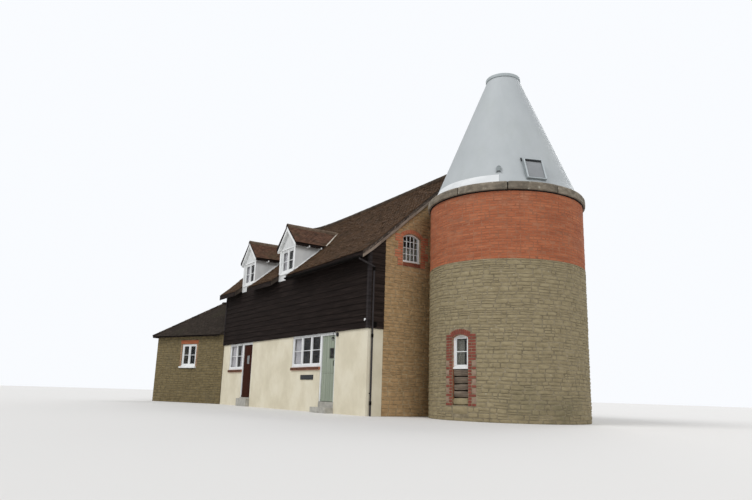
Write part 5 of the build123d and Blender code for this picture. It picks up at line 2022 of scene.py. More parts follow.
@dataclass
class Cone(Assembly):
    """The painted cone with its flat cap, its apron flashing and its rooflight."""

    foot: float = 6.23
    foot_radius: float = 2.15
    kick_radius: float = 2.008
    kick_rise: float = 0.25
    top: float = 10.24
    top_radius: float = 0.472
    thick: float = 0.06
    sides: int = 192
    apron: Span = (-112.0, -49.0)
    light_azimuth: float = -21.5
    light_rise: float = 0.4
    light_size: Span = (0.56, 0.68)
    light_stand: float = 0.095
    rim: float = 0.055
    vent_azimuth: float = -49.4
    vent_rise: float = 0.42

    def radius_at(self, z: float) -> float:
        """The radius of the cone's outer face at a height.

        Args:
            z: The height.

        Returns:
            The radius.
        """
        kick = self.foot + self.kick_rise
        if z < kick:
            share = (z - self.foot) / self.kick_rise
            return self.foot_radius + (self.kick_radius - self.foot_radius) * share
        share = (z - kick) / (self.top - kick)
        return self.kick_radius + (self.top_radius - self.kick_radius) * share

    @property
    def lean(self) -> float:
        """The straight part's lean from upright."""
        rise = self.top - self.foot - self.kick_rise
        return math.atan2(self.kick_radius - self.top_radius, rise)

    def light_surface(self) -> Flat:
        """The rooflight's face, u across it and v up it."""
        z = self.foot + self.light_rise
        angle = math.radians(self.light_azimuth)
        c, s = math.cos(angle), math.sin(angle)
        radius = self.radius_at(z)
        up = (-c * math.sin(self.lean), -s * math.sin(self.lean), math.cos(self.lean))
        return Flat((radius * c, radius * s, z), (-s, c, 0.0), up)

    def build(self) -> None:
        """Builds and dresses the cone."""
        self.build_shell()
        self.build_cap()
        self.build_apron()
        self.build_rooflight()

    def build_shell(self) -> None:
        """The smooth shell with the rooflight's hole cut through."""
        heights = [self.foot, self.foot + 0.1, self.foot + 0.19, self.foot + self.kick_rise, self.foot + 0.32]
        heights += list(np.linspace(self.foot + 0.6, self.top, 12))
        outer = [(self.radius_at(z), z) for z in heights]
        inner = [(self.radius_at(z) - self.thick, z) for z in heights[::-1]]
        work = Meshwork()
        work.sweep(turned(outer + inner, self.sides), closed=True)
        shell = bpy.data.objects.new("cone_blank", facing_out(work.mesh("cone_blank")))
        bpy.context.scene.collection.objects.link(shell)
        cut = Meshwork()
        across, along = (size / 2 - self.rim for size in self.light_size)
        cut.box((-across, across), (-along, along), (-0.4, 0.4), 0.0005)
        block = facing_out(cut.mesh("cutter", self.light_surface()))
        cutter = bpy.data.objects.new("rooflight_cutter", block)
        bpy.context.scene.collection.objects.link(cutter)
        carve = shell.modifiers.new("rooflight_hole", "BOOLEAN")
        carve.operation, carve.object, carve.solver = "DIFFERENCE", cutter, "EXACT"
        graph = bpy.context.evaluated_depsgraph_get()
        mesh = bpy.data.meshes.new_from_object(shell.evaluated_get(graph), depsgraph=graph)
        bpy.data.objects.remove(shell)
        bpy.data.objects.remove(cutter)
        mesh.name = "kiln_cone_shell"
        self.works.piece(mesh, CONE_PAINT, replaces=("kiln_cone",), smooth=SHELL_EDGE)

    def build_cap(self) -> None:
        """The metal cap with a rolled rim."""
        low = self.top - 0.07
        inside = self.radius_at(low) + 0.0005
        outline = [
            (inside, low),
            (inside + 0.02, low - 0.0005),
            (inside + 0.026, low + 0.008),
            (inside + 0.026, self.top + 0.012),
            (inside + 0.022, self.top + 0.026),
            (inside + 0.01, self.top + 0.03),
            (inside * 0.6, self.top + 0.0295),
            (0.001, self.top + 0.0295),
            (0.001, self.top + 0.004),
            (inside * 0.6, self.top + 0.004),
            (self.radius_at(self.top) + 0.002, self.top + 0.003),
        ]
        work = Meshwork()
        work.sweep(turned(outline, 96), closed=True)
        mesh = facing_out(work.mesh("kiln_cone_cap_metal"))
        self.works.piece(mesh, CAP_METAL, replaces=("kiln_cone_cap",), smooth=35)

    def build_apron(self) -> None:
        """The white apron in lapped sheets over the cone's foot."""
        work = Meshwork()
        cuts = np.linspace(*self.apron, 5)
        for index, (start, end) in enumerate(zip(cuts, cuts[1:])):
            lift = 0.0005 + 0.003 * (index % 2)
            heights = [0.0, 0.1, 0.19, self.kick_rise, 0.255]
            rings = []
            for angle in np.radians(np.linspace(start, end + (0.7 if index < 3 else 0.0), 19)):
                outer = [(self.radius_at(self.foot + h) + 0.008 + lift, self.foot + h) for h in heights]
                inner = [(self.radius_at(self.foot + h) + lift, self.foot + h) for h in heights[::-1]]
                loop = [(r * math.cos(angle), r * math.sin(angle), z) for r, z in outer + inner]
                rings.append(loop)
            work.sweep(np.array(rings))
        mesh = facing_out(work.mesh("cone_apron_sheets"))
        self.works.piece(mesh, FLASHING, replaces=("cone_apron",), smooth=SHELL_EDGE)

    def build_rooflight(self) -> None:
        """Cover strips, a black strip under the top rail that is painted shade, hinges, and a hooded vent
        beside the rooflight.
        """
        # The upstand's dark grey is partly painted shade.
        self.works.paint(UPSTAND_WITH_SHADE, "rooflight_frame")
        self.works.paint(SKY_REFLECTION_GLASS, "rooflight_glass")
        surface = self.light_surface()
        wide, long = (size / 2 for size in self.light_size)
        top = self.light_stand
        strips = Meshwork()
        strips.box((-wide, wide), (long - 0.02, long), (top - 0.002, top + 0.016), 0.002)
        strips.box((-wide, wide), (-long, -long + 0.02), (top - 0.002, top + 0.006), 0.002)
        for side in (-1, 1):
            u = sorted((side * wide, side * (wide - 0.04)))
            strips.box((u[0], u[1]), (-long + 0.02, long - 0.02), (top - 0.002, top + 0.014), 0.002)
        self.works.piece(strips.mesh("rooflight_strips", surface), GALVANISED, smooth=TRIM_EDGE)
        # Painted shade: the black strip under the top rail stands for the shadow under the hood; the two
        # boxes beside it are dark hinges.
        shade_and_hinges = Meshwork()
        shade_and_hinges.box((-wide + 0.04, wide - 0.04), (long - 0.075, long - 0.02), (top - 0.03, top + 0.004), 0.002)
        for u in (-wide - 0.03, wide - 0.02):
            shade_and_hinges.box((u, u + 0.04), (long - 0.03, long + 0.09), (-0.005, 0.02), 0.006)
        self.works.piece(shade_and_hinges.mesh("rooflight_seal", surface), HINGE_AND_SHADE_BLACK, smooth=TRIM_EDGE)
        # The vent hood takes the upstand's dark grey, which is partly painted shade.
        beside = replace(self, light_azimuth=self.vent_azimuth, light_rise=self.vent_rise)
        vent = facing_out(self.vent_hood().mesh("cone_vent", beside.light_surface()))
        self.works.piece(vent, UPSTAND_WITH_SHADE, smooth=ROUND_EDGE)

    @staticmethod
    def vent_hood(
        half: float = 0.062, low: float = -0.1, shoulder: float = 0.05, out: float = 0.05
    ) -> Meshwork:
        """A small round-headed hood, open below.

        Args:
            half: Half of its width.
            low: Its foot.
            shoulder: Where its round head starts.
            out: How far it stands out.

        Returns:
            The mesh that gathers it.
        """
        work = Meshwork()
        turn = np.linspace(0.0, math.pi, 9)
        head = [(half * math.cos(a), shoulder + half * math.sin(a)) for a in turn]
        back, thick = -0.01, 0.012
        rings = []
        for u, v in [(half, low), *head, (-half, low)]:
            pull = 0.8 if v > low else 1.0
            inner = [(u * pull * 0.8, v - thick, out), (u * 0.84, v - thick, back)]
            rings.append([(u, v, back), (u, v, out), *inner])
        work.sweep(np.array(rings))
        heights = (low + 0.03, shoulder + half * 0.6)
        work.box((-half * 0.9, half * 0.9), heights, (out - thick, out - 0.004), 0.002)
        return work


def facing_out(mesh: bpy.types.Mesh, merge: float = 1e-5) -> bpy.types.Mesh:
    """Merges doubles and turns a closed mesh's faces outwards.

    Args:
        mesh: The mesh, which is changed.
        merge: How near two points are when they are one.

    Returns:
        The same mesh.
    """
    work = bmesh.new()
    work.from_mesh(mesh)
    bmesh.ops.remove_doubles(work, verts=work.verts, dist=merge)
    bmesh.ops.recalc_face_normals(work, faces=work.faces)
    work.to_mesh(mesh)
    work.free()
    return mesh


# Range roof


@dataclass
class RangeRoof(Assembly):
    """The long tiled roof of the range, with its ridge and its verges."""

    line: RangeLine = field(default_factory=RangeLine)
    pitch: float = 0.168
    gauge: float = 0.1
    strip: float = 0.1
    dormers: Span = DORMER_MIDDLES
    dormer_half: float = DORMER_HALF
    dormer_apex: float = DORMER_APEX
    dormer_slope: float = 0.949

    @property
    def ends(self) -> Span:
        """Where the roof ends at its two verges."""
        return self.line.far_x - self.line.verge, self.line.gable_x + self.line.verge

    def build(self) -> None:
        """Builds and dresses the roof."""
        self.works.paint(ROOF_BED, "roof_front_slope", "roof_rear_slope")
        self.tile_slope(-1, 31)
        self.tile_slope(1, 32)
        self.build_ridge()
        self.build_verges()
        self.build_eaves()

    def build_eaves(self) -> None:
        """Near-black boards under the tiles along both eaves, open at the dormers; their darkness is partly
        painted shade under the tile ends.
        """
        work = Meshwork()
        gaps = [(x - self.dormer_half, x + self.dormer_half) for x in self.dormers]
        for side in (-1, 1):
            inner, outer = side * (self.line.half + 0.0005), side * (self.line.half + 0.006)
            for low, high in clear_of([self.ends], gaps if side < 0 else []):
                x = np.linspace(low + 0.001, high - 0.001, max(2, round((high - low) / 0.4)))
                heads = self.line.section(x)[2] - 0.006
                rings = []
                for a, head in zip(x, heads):
                    foot = head + 0.007 - self.line.depth
                    rings.append([(a, inner, foot), (a, outer, foot), (a, outer, head), (a, inner, head)])
                work.sweep(np.array(rings))
        # Painted shade, in part: the boards are near black to stand for the shadow under the tile ends.
        self.works.piece(facing_out(work.mesh("eaves_boards")), DARK_TIMBER_AND_SHADE, smooth=TRIM_EDGE)

    def build_verges(self) -> None:
        """Worn verge strips under broken tile ends, on a dark board."""
        rng = random.Random(33)
        for end, word in ((1, "near"), (-1, "far")):
            boards, strips = Meshwork(), Meshwork()
            for side in (-1, 1):
                face = VergeFace(self.line, side, end)
                upper, full = face.lengths
                cuts = [0.0005, *np.arange(0.42, upper - 0.2, 0.42), upper, full]
                work = Meshwork()
                for low, high in zip(cuts, cuts[1:]):
                    work.box((low, high), (-self.line.depth - 0.012, -0.014), (-0.027, -0.004), 0.0004)
                boards.merge(work, face)
                work = Meshwork()
                for low, high in zip(cuts, cuts[1:]):
                    lift = rng.uniform(-0.004, 0.004)
                    foot = -self.line.depth - 0.016 + lift
                    strip = (foot, foot + self.strip)
                    work.box((low, high - 0.001), strip, (-0.02, 0.0035), 0.006, rng.random())
                for k in range(int(full / self.gauge)):
                    low = k * self.gauge + rng.uniform(0.0, 0.02)
                    drop = -0.028 - rng.uniform(0.0, 0.03)
                    for v in (drop, drop - rng.uniform(0.024, 0.036)):
                        if rng.random() < 0.8:
                            long = self.gauge * rng.uniform(0.5, 0.95)
                            tall = rng.uniform(0.013, 0.02)
                            out = (-0.02, rng.uniform(-0.001, 0.003))
                            work.box((low, low + long), (v - tall, v), out, 0.003, rng.random())
                strips.merge(work, face)
            mesh = facing_out(boards.mesh(f"{word}_verge_board"))
            self.works.piece(mesh, DARK_TIMBER_AND_SHADE, replaces=("bargeboards",) if end > 0 else ())
            self.works.piece(facing_out(strips.mesh(f"{word}_verge_strips")), VERGE_TIMBER, smooth=TRIM_EDGE)

    def covered(self, place: np.ndarray) -> bool:
        """Whether a dormer stands where a tile would lie.

        Args:
            place: The tile's place.

        Returns:
            True where the tile is left out.
        """
        for x in self.dormers:
            off = abs(place[0] - x)
            limit = min(self.dormer_half, (self.dormer_apex - 0.12 - place[2]) / self.dormer_slope)
            if off < limit:
                return True
        return False

    def tile_slope(self, side: int, seed: int) -> None:
        """Lays the plain tiles of one slope.

        Args:
            side: -1 for the front slope, 1 for the rear.
            seed: The seed of its unevenness.
        """
        rng = random.Random(seed)
        surface = RangeSlope(self.line, side)
        low, high = sorted((self.ends[0] * -side, self.ends[1] * -side))
        count = round((high - low) / self.pitch)
        pitch = (high - low) / count
        layout = Layout()
        rows = int(surface.length / self.gauge)
        wave = [rng.uniform(0, 6.28) for _ in range(4)]
        for row in range(-1, rows):
            v = row * self.gauge + 0.1 - 0.022 if row >= 0 else 0.045
            length = 0.2 if row >= 0 else 0.12
            shift = 0.5 if row % 2 else 0.0
            for k in range(count + (1 if shift else 0)):
                start = max(low, low + (k - shift) * pitch)
                end = min(high, low + (k + 1 - shift) * pitch)
                u = (start + end) / 2
                place = surface.place(np.array(((u, v - 0.05, 0.0),)))[0]
                if side < 0 and self.covered(place):
                    continue
                swell = 0.004 + 0.004 * math.sin(u * 1.7 + wave[0]) * math.sin(v * 2.3 + wave[1])
                kick = 0.009 if rng.random() < 0.06 else 0.0
                out = swell + rng.uniform(0.0, 0.007) + (kick if row >= 0 else -0.016)
                slip = rng.uniform(-0.011, 0.007)
                size = (end - start - 0.006, length, 0.016)
                layout.put(u + rng.uniform(-0.003, 0.003), v + slip, out, size, rng.uniform(-0.024, 0.024))
        name = "front_tiles" if side < 0 else "rear_tiles"
        self.tiles(name, layout, TILES, surface, seed)

    def build_ridge(self) -> None:
        """Half-round ridge tiles that follow the sagging ridge, on a mortar bed."""
        work = Meshwork()
        x = np.linspace(self.ends[1] + 0.02, self.ends[0] - 0.02, 27)
        apex = self.line.section(x)[0]
        line = [(a, 0.0, z + 0.002) for a, z in zip(x, apex)]
        capping(work, line, 0.128, 0.092, 0.085)
        mesh = facing_out(work.mesh("range_ridge_tiles"))
        self.works.piece(mesh, DARK_RIDGE, replaces=("ridge_tiles",), smooth=ROUND_EDGE)
        bed = Meshwork()
        rings = []
        for a, z in zip(x, apex):
            loop = [(a, 0.122, z - 0.1), (a, 0.105, z + 0.0), (a, 0.05, z + 0.05), (a, -0.05, z + 0.05)]
            rings.append(loop + [(a, -0.105, z + 0.0), (a, -0.122, z - 0.1), (a, 0.0, z + 0.002)])
        bed.sweep(np.array(rings))
        self.works.piece(facing_out(bed.mesh("ridge_bedding")), ROOF_BED)


# Range walls


@dataclass
class RangeWalls(Assembly):
    """Rendered ground floor, weatherboarded upper storey and rubble gables."""

    line: RangeLine = field(default_factory=RangeLine)
    board_face: float = 3.47
    stone_half: float = 2.93
    board_foot: float = 2.43
    board_gauge: float = 0.185
    proud: float = 0.02
    dormers: Span = DORMER_MIDDLES
    dormer_half: float = DORMER_HALF
    dormer_foot: float = 4.5

    @property
    def gable_window(self) -> Opening:
        """The arched window of the near gable."""
        sizes = {"ring": 0.145, "jamb": 0.2, "quoin": 0.11, "jamb_foot": 4.36}
        return Opening(GABLE_WINDOW_MIDDLE, 0.325, 4.49, 5.255, 0.125, **sizes)

    def under(self, x: float, reach: float) -> float:
        """Height of the roof's underside at a distance from the ridge line."""
        apex, kick, eaves = (float(row[0]) for row in self.line.section(np.array((x,))))
        half, low = self.line.half, self.line.kick_half
        if reach < low:
            return apex + (kick - apex) * reach / low - self.line.depth
        return kick + (eaves - kick) * (reach - low) / (half - low) - self.line.depth

    def reach_at(self, x: float, z: float) -> float:
        """How far from the ridge line the roof's underside comes down to a height."""
        reach = self.line.half
        while reach > 0 and self.under(x, reach) < z:
            reach -= 0.01
        return reach

    def build(self) -> None:
        """Builds and dresses the walls."""
        works = self.works
        works.paint(RENDER, "front_wall_piers", "rear_wall_piers", "window_aprons")
        works.paint(DARK_TIMBER_AND_SHADE, "front_boarded_wall", "rear_boarded_wall")
        works.paint(GABLE_MORTAR, "near_gable_wall", "far_gable_wall", "gable_doorway_heads")
        works.paint(FLOOR_SLAB, "ground_floors", "wing_floor")
        works.paint(FLOORBOARDS, "upper_floors")
        works.paint(STEP_STONE, "door_steps")
        self.board_fronts()
        self.board_returns()
        self.build_gables()

    def rows(self, top: float) -> list[Span]:
        """The courses of boards from the foot to a height."""
        count = math.ceil((top - self.board_foot) / self.board_gauge)
        return [
            (self.board_foot + k * self.board_gauge, self.board_foot + (k + 1) * self.board_gauge)
            for k in range(count)
        ]

    def boards(self, rng: random.Random, spans: Callable[[float, float], list[Span]], top: float) -> Layout:
        """Lays lapped boards.

        Args:
            rng: The source of their lengths.
            spans: The clear spans of a course.
            top: The height that they reach.

        Returns:
            The layout.
        """
        layout = Layout()
        for foot, head in self.rows(top):
            head = min(head, top)
            for low, high in spans(foot, head):
                u = low
                while u < high - 0.01:
                    end = min(u + rng.uniform(2.2, 4.6), high)
                    if high - end < 0.6:
                        end = high
                    tall = head - foot + 0.03
                    v = foot - 0.012 + tall / 2 + rng.uniform(-0.002, 0.002)
                    size = (end - u - 0.003, tall, 0.03)
                    layout.put((u + end) / 2, v, 0.008, size, rng.uniform(-0.0008, 0.0008))
                    u = end
        return layout

    def board_fronts(self) -> None:
        """The long boarded sides."""
        low, high = self.line.far_x - self.proud, self.line.gable_x + self.proud
        for side, seed in ((-1, 41), (1, 42)):
            holes = [(x - self.dormer_half, x + self.dormer_half) for x in self.dormers] if side < 0 else []
            ends = (low, high) if side < 0 else (-high, -low)

            def spans(_: float, head: float) -> list[Span]:
                """Clear spans of a course, without the dormers."""
                return clear_of([ends], holes if head > self.dormer_foot + 0.05 else [])

            layout = self.boards(random.Random(seed), spans, self.under(-7.0, self.board_face) + 0.01)
            along = (-side, 0.0, 0.0)
            surface = Flat((0.0, side * self.board_face, 0.0), along)
            name = "front_boards" if side < 0 else "rear_boards"
            self.coursing.lay(name, layout, self.shapes.boards, BOARDS, surface, seed, 0.0, 0.002)

    def board_returns(self) -> None:
        """The boards that turn the corners onto the gables, with their corner boards."""
        corners = Meshwork()
        for end, x in ((1, self.line.gable_x + self.proud), (-1, self.line.far_x - self.proud)):
            layout = Layout()
            rng = random.Random(43 + end)
            for side in (-1, 1):

                def spans(foot: float, _: float) -> list[Span]:
                    """The clear span of a course under the roof."""
                    reach = min(self.board_face, self.reach_at(x, foot) + 0.05)
                    if reach < self.stone_half + 0.02:
                        return []
                    return [tuple(sorted((side * end * self.stone_half, side * end * reach)))]

                part = self.boards(rng, spans, 5.1)
                layout.middle += part.middle
                layout.size += part.size
                layout.turn += part.turn
            surface = Flat((x, 0.0, 0.0), (0.0, end, 0.0))
            name = "near_return_boards" if end > 0 else "far_return_boards"
            self.coursing.lay(name, layout, self.shapes.boards, LIT_RETURN_BOARDS, surface, 45 + end, 0.0, 0.002)
            for side in (-1, 1):
                y = side * self.board_face
                head = self.under(x, self.board_face) - 0.004
                out_x, out_y = end * 0.03, side * 0.03
                spans_x = sorted((x - end * 0.07, x + out_x))
                corners.box(tuple(spans_x), tuple(sorted((y, y + out_y))), (2.415, head), 0.004)
                inner = sorted((y - side * 0.07, y - side * 0.0005))
                corners.box(tuple(sorted((x, x + out_x))), tuple(inner), (2.415, head), 0.004)
        self.works.piece(facing_out(corners.mesh("corner_boards")), WORN_TIMBER, smooth=TRIM_EDGE)

    def build_gables(self) -> None:
        """Rubble on the two gables, with the window's dressings."""
        opening = self.gable_window
        near_x = self.line.gable_x
        for end, x, seed in ((1, near_x, 51), (-1, self.line.far_x, 52)):

            def spans(foot: float, head: float) -> list[Span]:
                """Clear spans of a course under the roof, beside the kiln and the window.

                Args:
                    foot: The foot of the course.
                    head: Its top.

                Returns:
                    The spans.
                """
                reach = min(self.stone_half, self.reach_at(x, foot) + 0.03)
                holes = opening.holes(foot, head) if end > 0 else []
                if end > 0 and foot < 6.0:
                    holes = holes + [(-0.93, 0.93)]
                return clear_of([(-reach, reach)], holes)

            stones = Rubble((0.08, 0.14), (0.15, 0.42)).lay(random.Random(seed), (0.0, 7.6), spans)
            surface = Flat((x, 0.0, 0.0), (0.0, end, 0.0))
            name = "near_gable_stones" if end > 0 else "far_gable_stones"
            self.stones(name, stones, GABLE_STONE, surface, seed, 0.012, 0.006)
        face = Flat((near_x, 0.0, 0.0), (0.0, 1.0, 0.0))
        jambs = opening.dress(random.Random(53))
        self.bricks("gable_window_bricks", jambs, JAMB_BRICK, face, 53, 0.01)
        self.bricks("gable_window_joints", bedding(jambs), BRICK_JOINT, face, 55)
        sill = Layout()
        pitch, size = 0.0722, (0.064, 0.118, 0.08)
        for k in range(9):
            sill.put(opening.middle - opening.half + pitch * (k + 0.5), 4.425, -0.02, size)
        self.bricks("gable_window_sill", sill, SILL_BRICK, face, 54, 0.01)


# Studio


@dataclass
class Studio:
    """Pale floor, plain soft light and the photograph's point of view."""

    eye: Point = (13.202, -13.229, 0.6105)
    azimuth: float = 56.701
    pitch: float = 12.685
    roll: float = 1.722
    focal: float = 638.537
    width: float = 752.0
    sensor: float = 36.0
    softness: float = 35.0
    sky: float = 0.46

    def build(self) -> None:
        """Sets the floor, the lights, the world and the camera."""
        self.build_floor()
        self.build_world()
        self.lamp("key_light", (-0.15, -0.8, 0.85), 1.5)
        self.lamp("fill_light", (0.9, -0.15, 0.55), 1.0)
        self.lamp("back_light", (-0.5, 0.8, 0.7), 1.1)
        self.build_camera()

    @staticmethod
    def build_floor() -> None:
        """A wide pale floor at the ground."""
        work = Meshwork()
        work.box((-150.0, 150.0), (-150.0, 150.0), (-0.2, 0.0), 0.01)
        floor = bpy.data.objects.new("studio_floor", work.mesh("studio_floor"))
        bpy.context.scene.collection.objects.link(floor)
        material = bpy.data.materials.new("studio_floor")
        material.use_nodes = True
        shader = material.node_tree.nodes["Principled BSDF"]
        shader.inputs["Base Color"].default_value = (0.66, 0.65, 0.635, 1.0)
        shader.inputs["Roughness"].default_value = 0.9
        floor.data.materials.append(material)

    def build_world(self) -> None:
        """A pale world that is white to the camera, in gloss and through glass."""
        world = bpy.data.worlds.new("studio")
        world.use_nodes = True
        bpy.context.scene.world = world
        w = Wiring(world.node_tree)
        back = world.node_tree.nodes["Background"]
        rays = w.node("ShaderNodeLightPath")
        seen = w.math("MAXIMUM", rays.outputs["Is Camera Ray"], rays.outputs["Is Glossy Ray"])
        seen = w.math("MAXIMUM", seen, rays.outputs["Is Transmission Ray"])
        strength = w.math("ADD", w.math("MULTIPLY", seen, 1.0 - self.sky), self.sky)
        back.inputs["Color"].default_value = (0.95, 0.97, 1.0, 1.0)
        world.node_tree.links.new(strength, back.inputs["Strength"])

    def lamp(self, name: str, side: Point, power: float) -> None:
        """Adds a wide soft lamp that lights the whole house evenly from one side.

        Args:
            name: Its name.
            side: The direction that it shines from.
            power: Its strength.
        """
        data = bpy.data.lights.new(name, "SUN")
        data.energy, data.angle = power, math.radians(self.softness)
        lamp = bpy.data.objects.new(name, data)
        lamp.rotation_euler = (-Vector(side)).to_track_quat("-Z", "Y").to_euler()
        bpy.context.scene.collection.objects.link(lamp)

    def build_camera(self) -> None:
        """The camera at the photograph's place."""
        az, pitch, roll = (math.radians(a) for a in (self.azimuth, self.pitch, self.roll))
        ahead = Vector((-math.sin(az) * math.cos(pitch), math.cos(az) * math.cos(pitch), math.sin(pitch)))
        level = Vector((math.cos(az), math.sin(az), 0.0))
        over = level.cross(ahead)
        right = math.cos(roll) * level + math.sin(roll) * over
        up = -math.sin(roll) * level + math.cos(roll) * over
        data = bpy.data.cameras.new("photo_view")
        data.sensor_width = self.sensor
        data.lens = self.focal * self.sensor / self.width
        data.clip_end = 500.0
        camera = bpy.data.objects.new("photo_view", data)
        bpy.context.scene.collection.objects.link(camera)
        turn = Matrix((right, up, -ahead)).transposed().to_4x4()
        camera.matrix_world = Matrix.Translation(self.eye) @ turn
        bpy.context.scene.camera = camera


# Joinery


def local_frame(origin: Point, degrees: float) -> Callable[[float, float, float], Point]:
    """A function that turns local places into the part's frame.

    Args:
        origin: Where the local frame starts.
        degrees: How far it is turned about z.

    Returns:
        The function.
    """
    c, s = math.cos(math.radians(degrees)), math.sin(math.radians(degrees))

    def place(x: float, y: float, z: float) -> Point:
        """The place of a local point."""
        return origin[0] + x * c - y * s, origin[1] + x * s + y * c, origin[2] + z

    return place


@dataclass(frozen=True)
class Sash:
    """A casement in front of its glass: stiles, rails, thin bars and a weather strip."""

    u: Span
    v: Span
    rows: tuple[float, ...] = (0.5,)
    columns: tuple[float, ...] = ()
    stile: float = 0.036
    foot: float = 0.07
    bar: float = 0.022
    front: float = -0.012
    back: float = -0.0495

    def add(self, work: Meshwork) -> None:
        """Adds the casement to a mesh.

        Args:
            work: The mesh that gathers it.
        """
        (a, b), (low, high) = self.u, self.v
        out = (self.back, self.front)
        a, b, low, high = a + 0.002, b - 0.002, low + 0.002, high - 0.002
        work.box((a, a + self.stile), (low, high), out, 0.004)
        work.box((b - self.stile, b), (low, high), out, 0.004)
        work.box((a + self.stile, b - self.stile), (low, low + self.foot), out, 0.004)
        work.box((a + self.stile, b - self.stile), (high - self.stile, high), out, 0.004)
        work.box((a - 0.001, b + 0.001), (low - 0.001, low + 0.018), (self.front, self.front + 0.02), 0.006)
        inner = (self.back, self.front - 0.008)
        foot, head = low + self.foot, high - self.stile
        left, right = a + self.stile, b - self.stile
        for share in self.rows:
            v = foot + (head - foot) * share
            work.box((left, right), (v - self.bar / 2, v + self.bar / 2), inner, 0.005)
        for share in self.columns:
            u = left + (right - left) * share
            work.box((u - self.bar / 2, u + self.bar / 2), (foot, head), inner, 0.005)


@dataclass(frozen=True)
class SquareWindow:
    """A square-headed window of the solids, in its surface's flat coordinates."""

    name: str
    surface: Surface
    start: float
    width: float
    foot: float
    top: float
    lights: int
    frame: float = 0.05
    mullion: float = 0.045
    curtained: bool = True
    holder: str = "ground_window_frames"
    cloth: Finish = LINEN

    def panes(self) -> list[Span]:
        """The clear spans between the posts."""
        pitch = (self.width - self.frame) / self.lights
        posts = [self.start + self.frame / 2 + k * pitch for k in range(self.lights + 1)]
        halves = [self.frame / 2] + [self.mullion / 2] * (self.lights - 1) + [self.frame / 2]
        return [
            (posts[k] + halves[k], posts[k + 1] - halves[k + 1]) for k in range(self.lights)
        ]


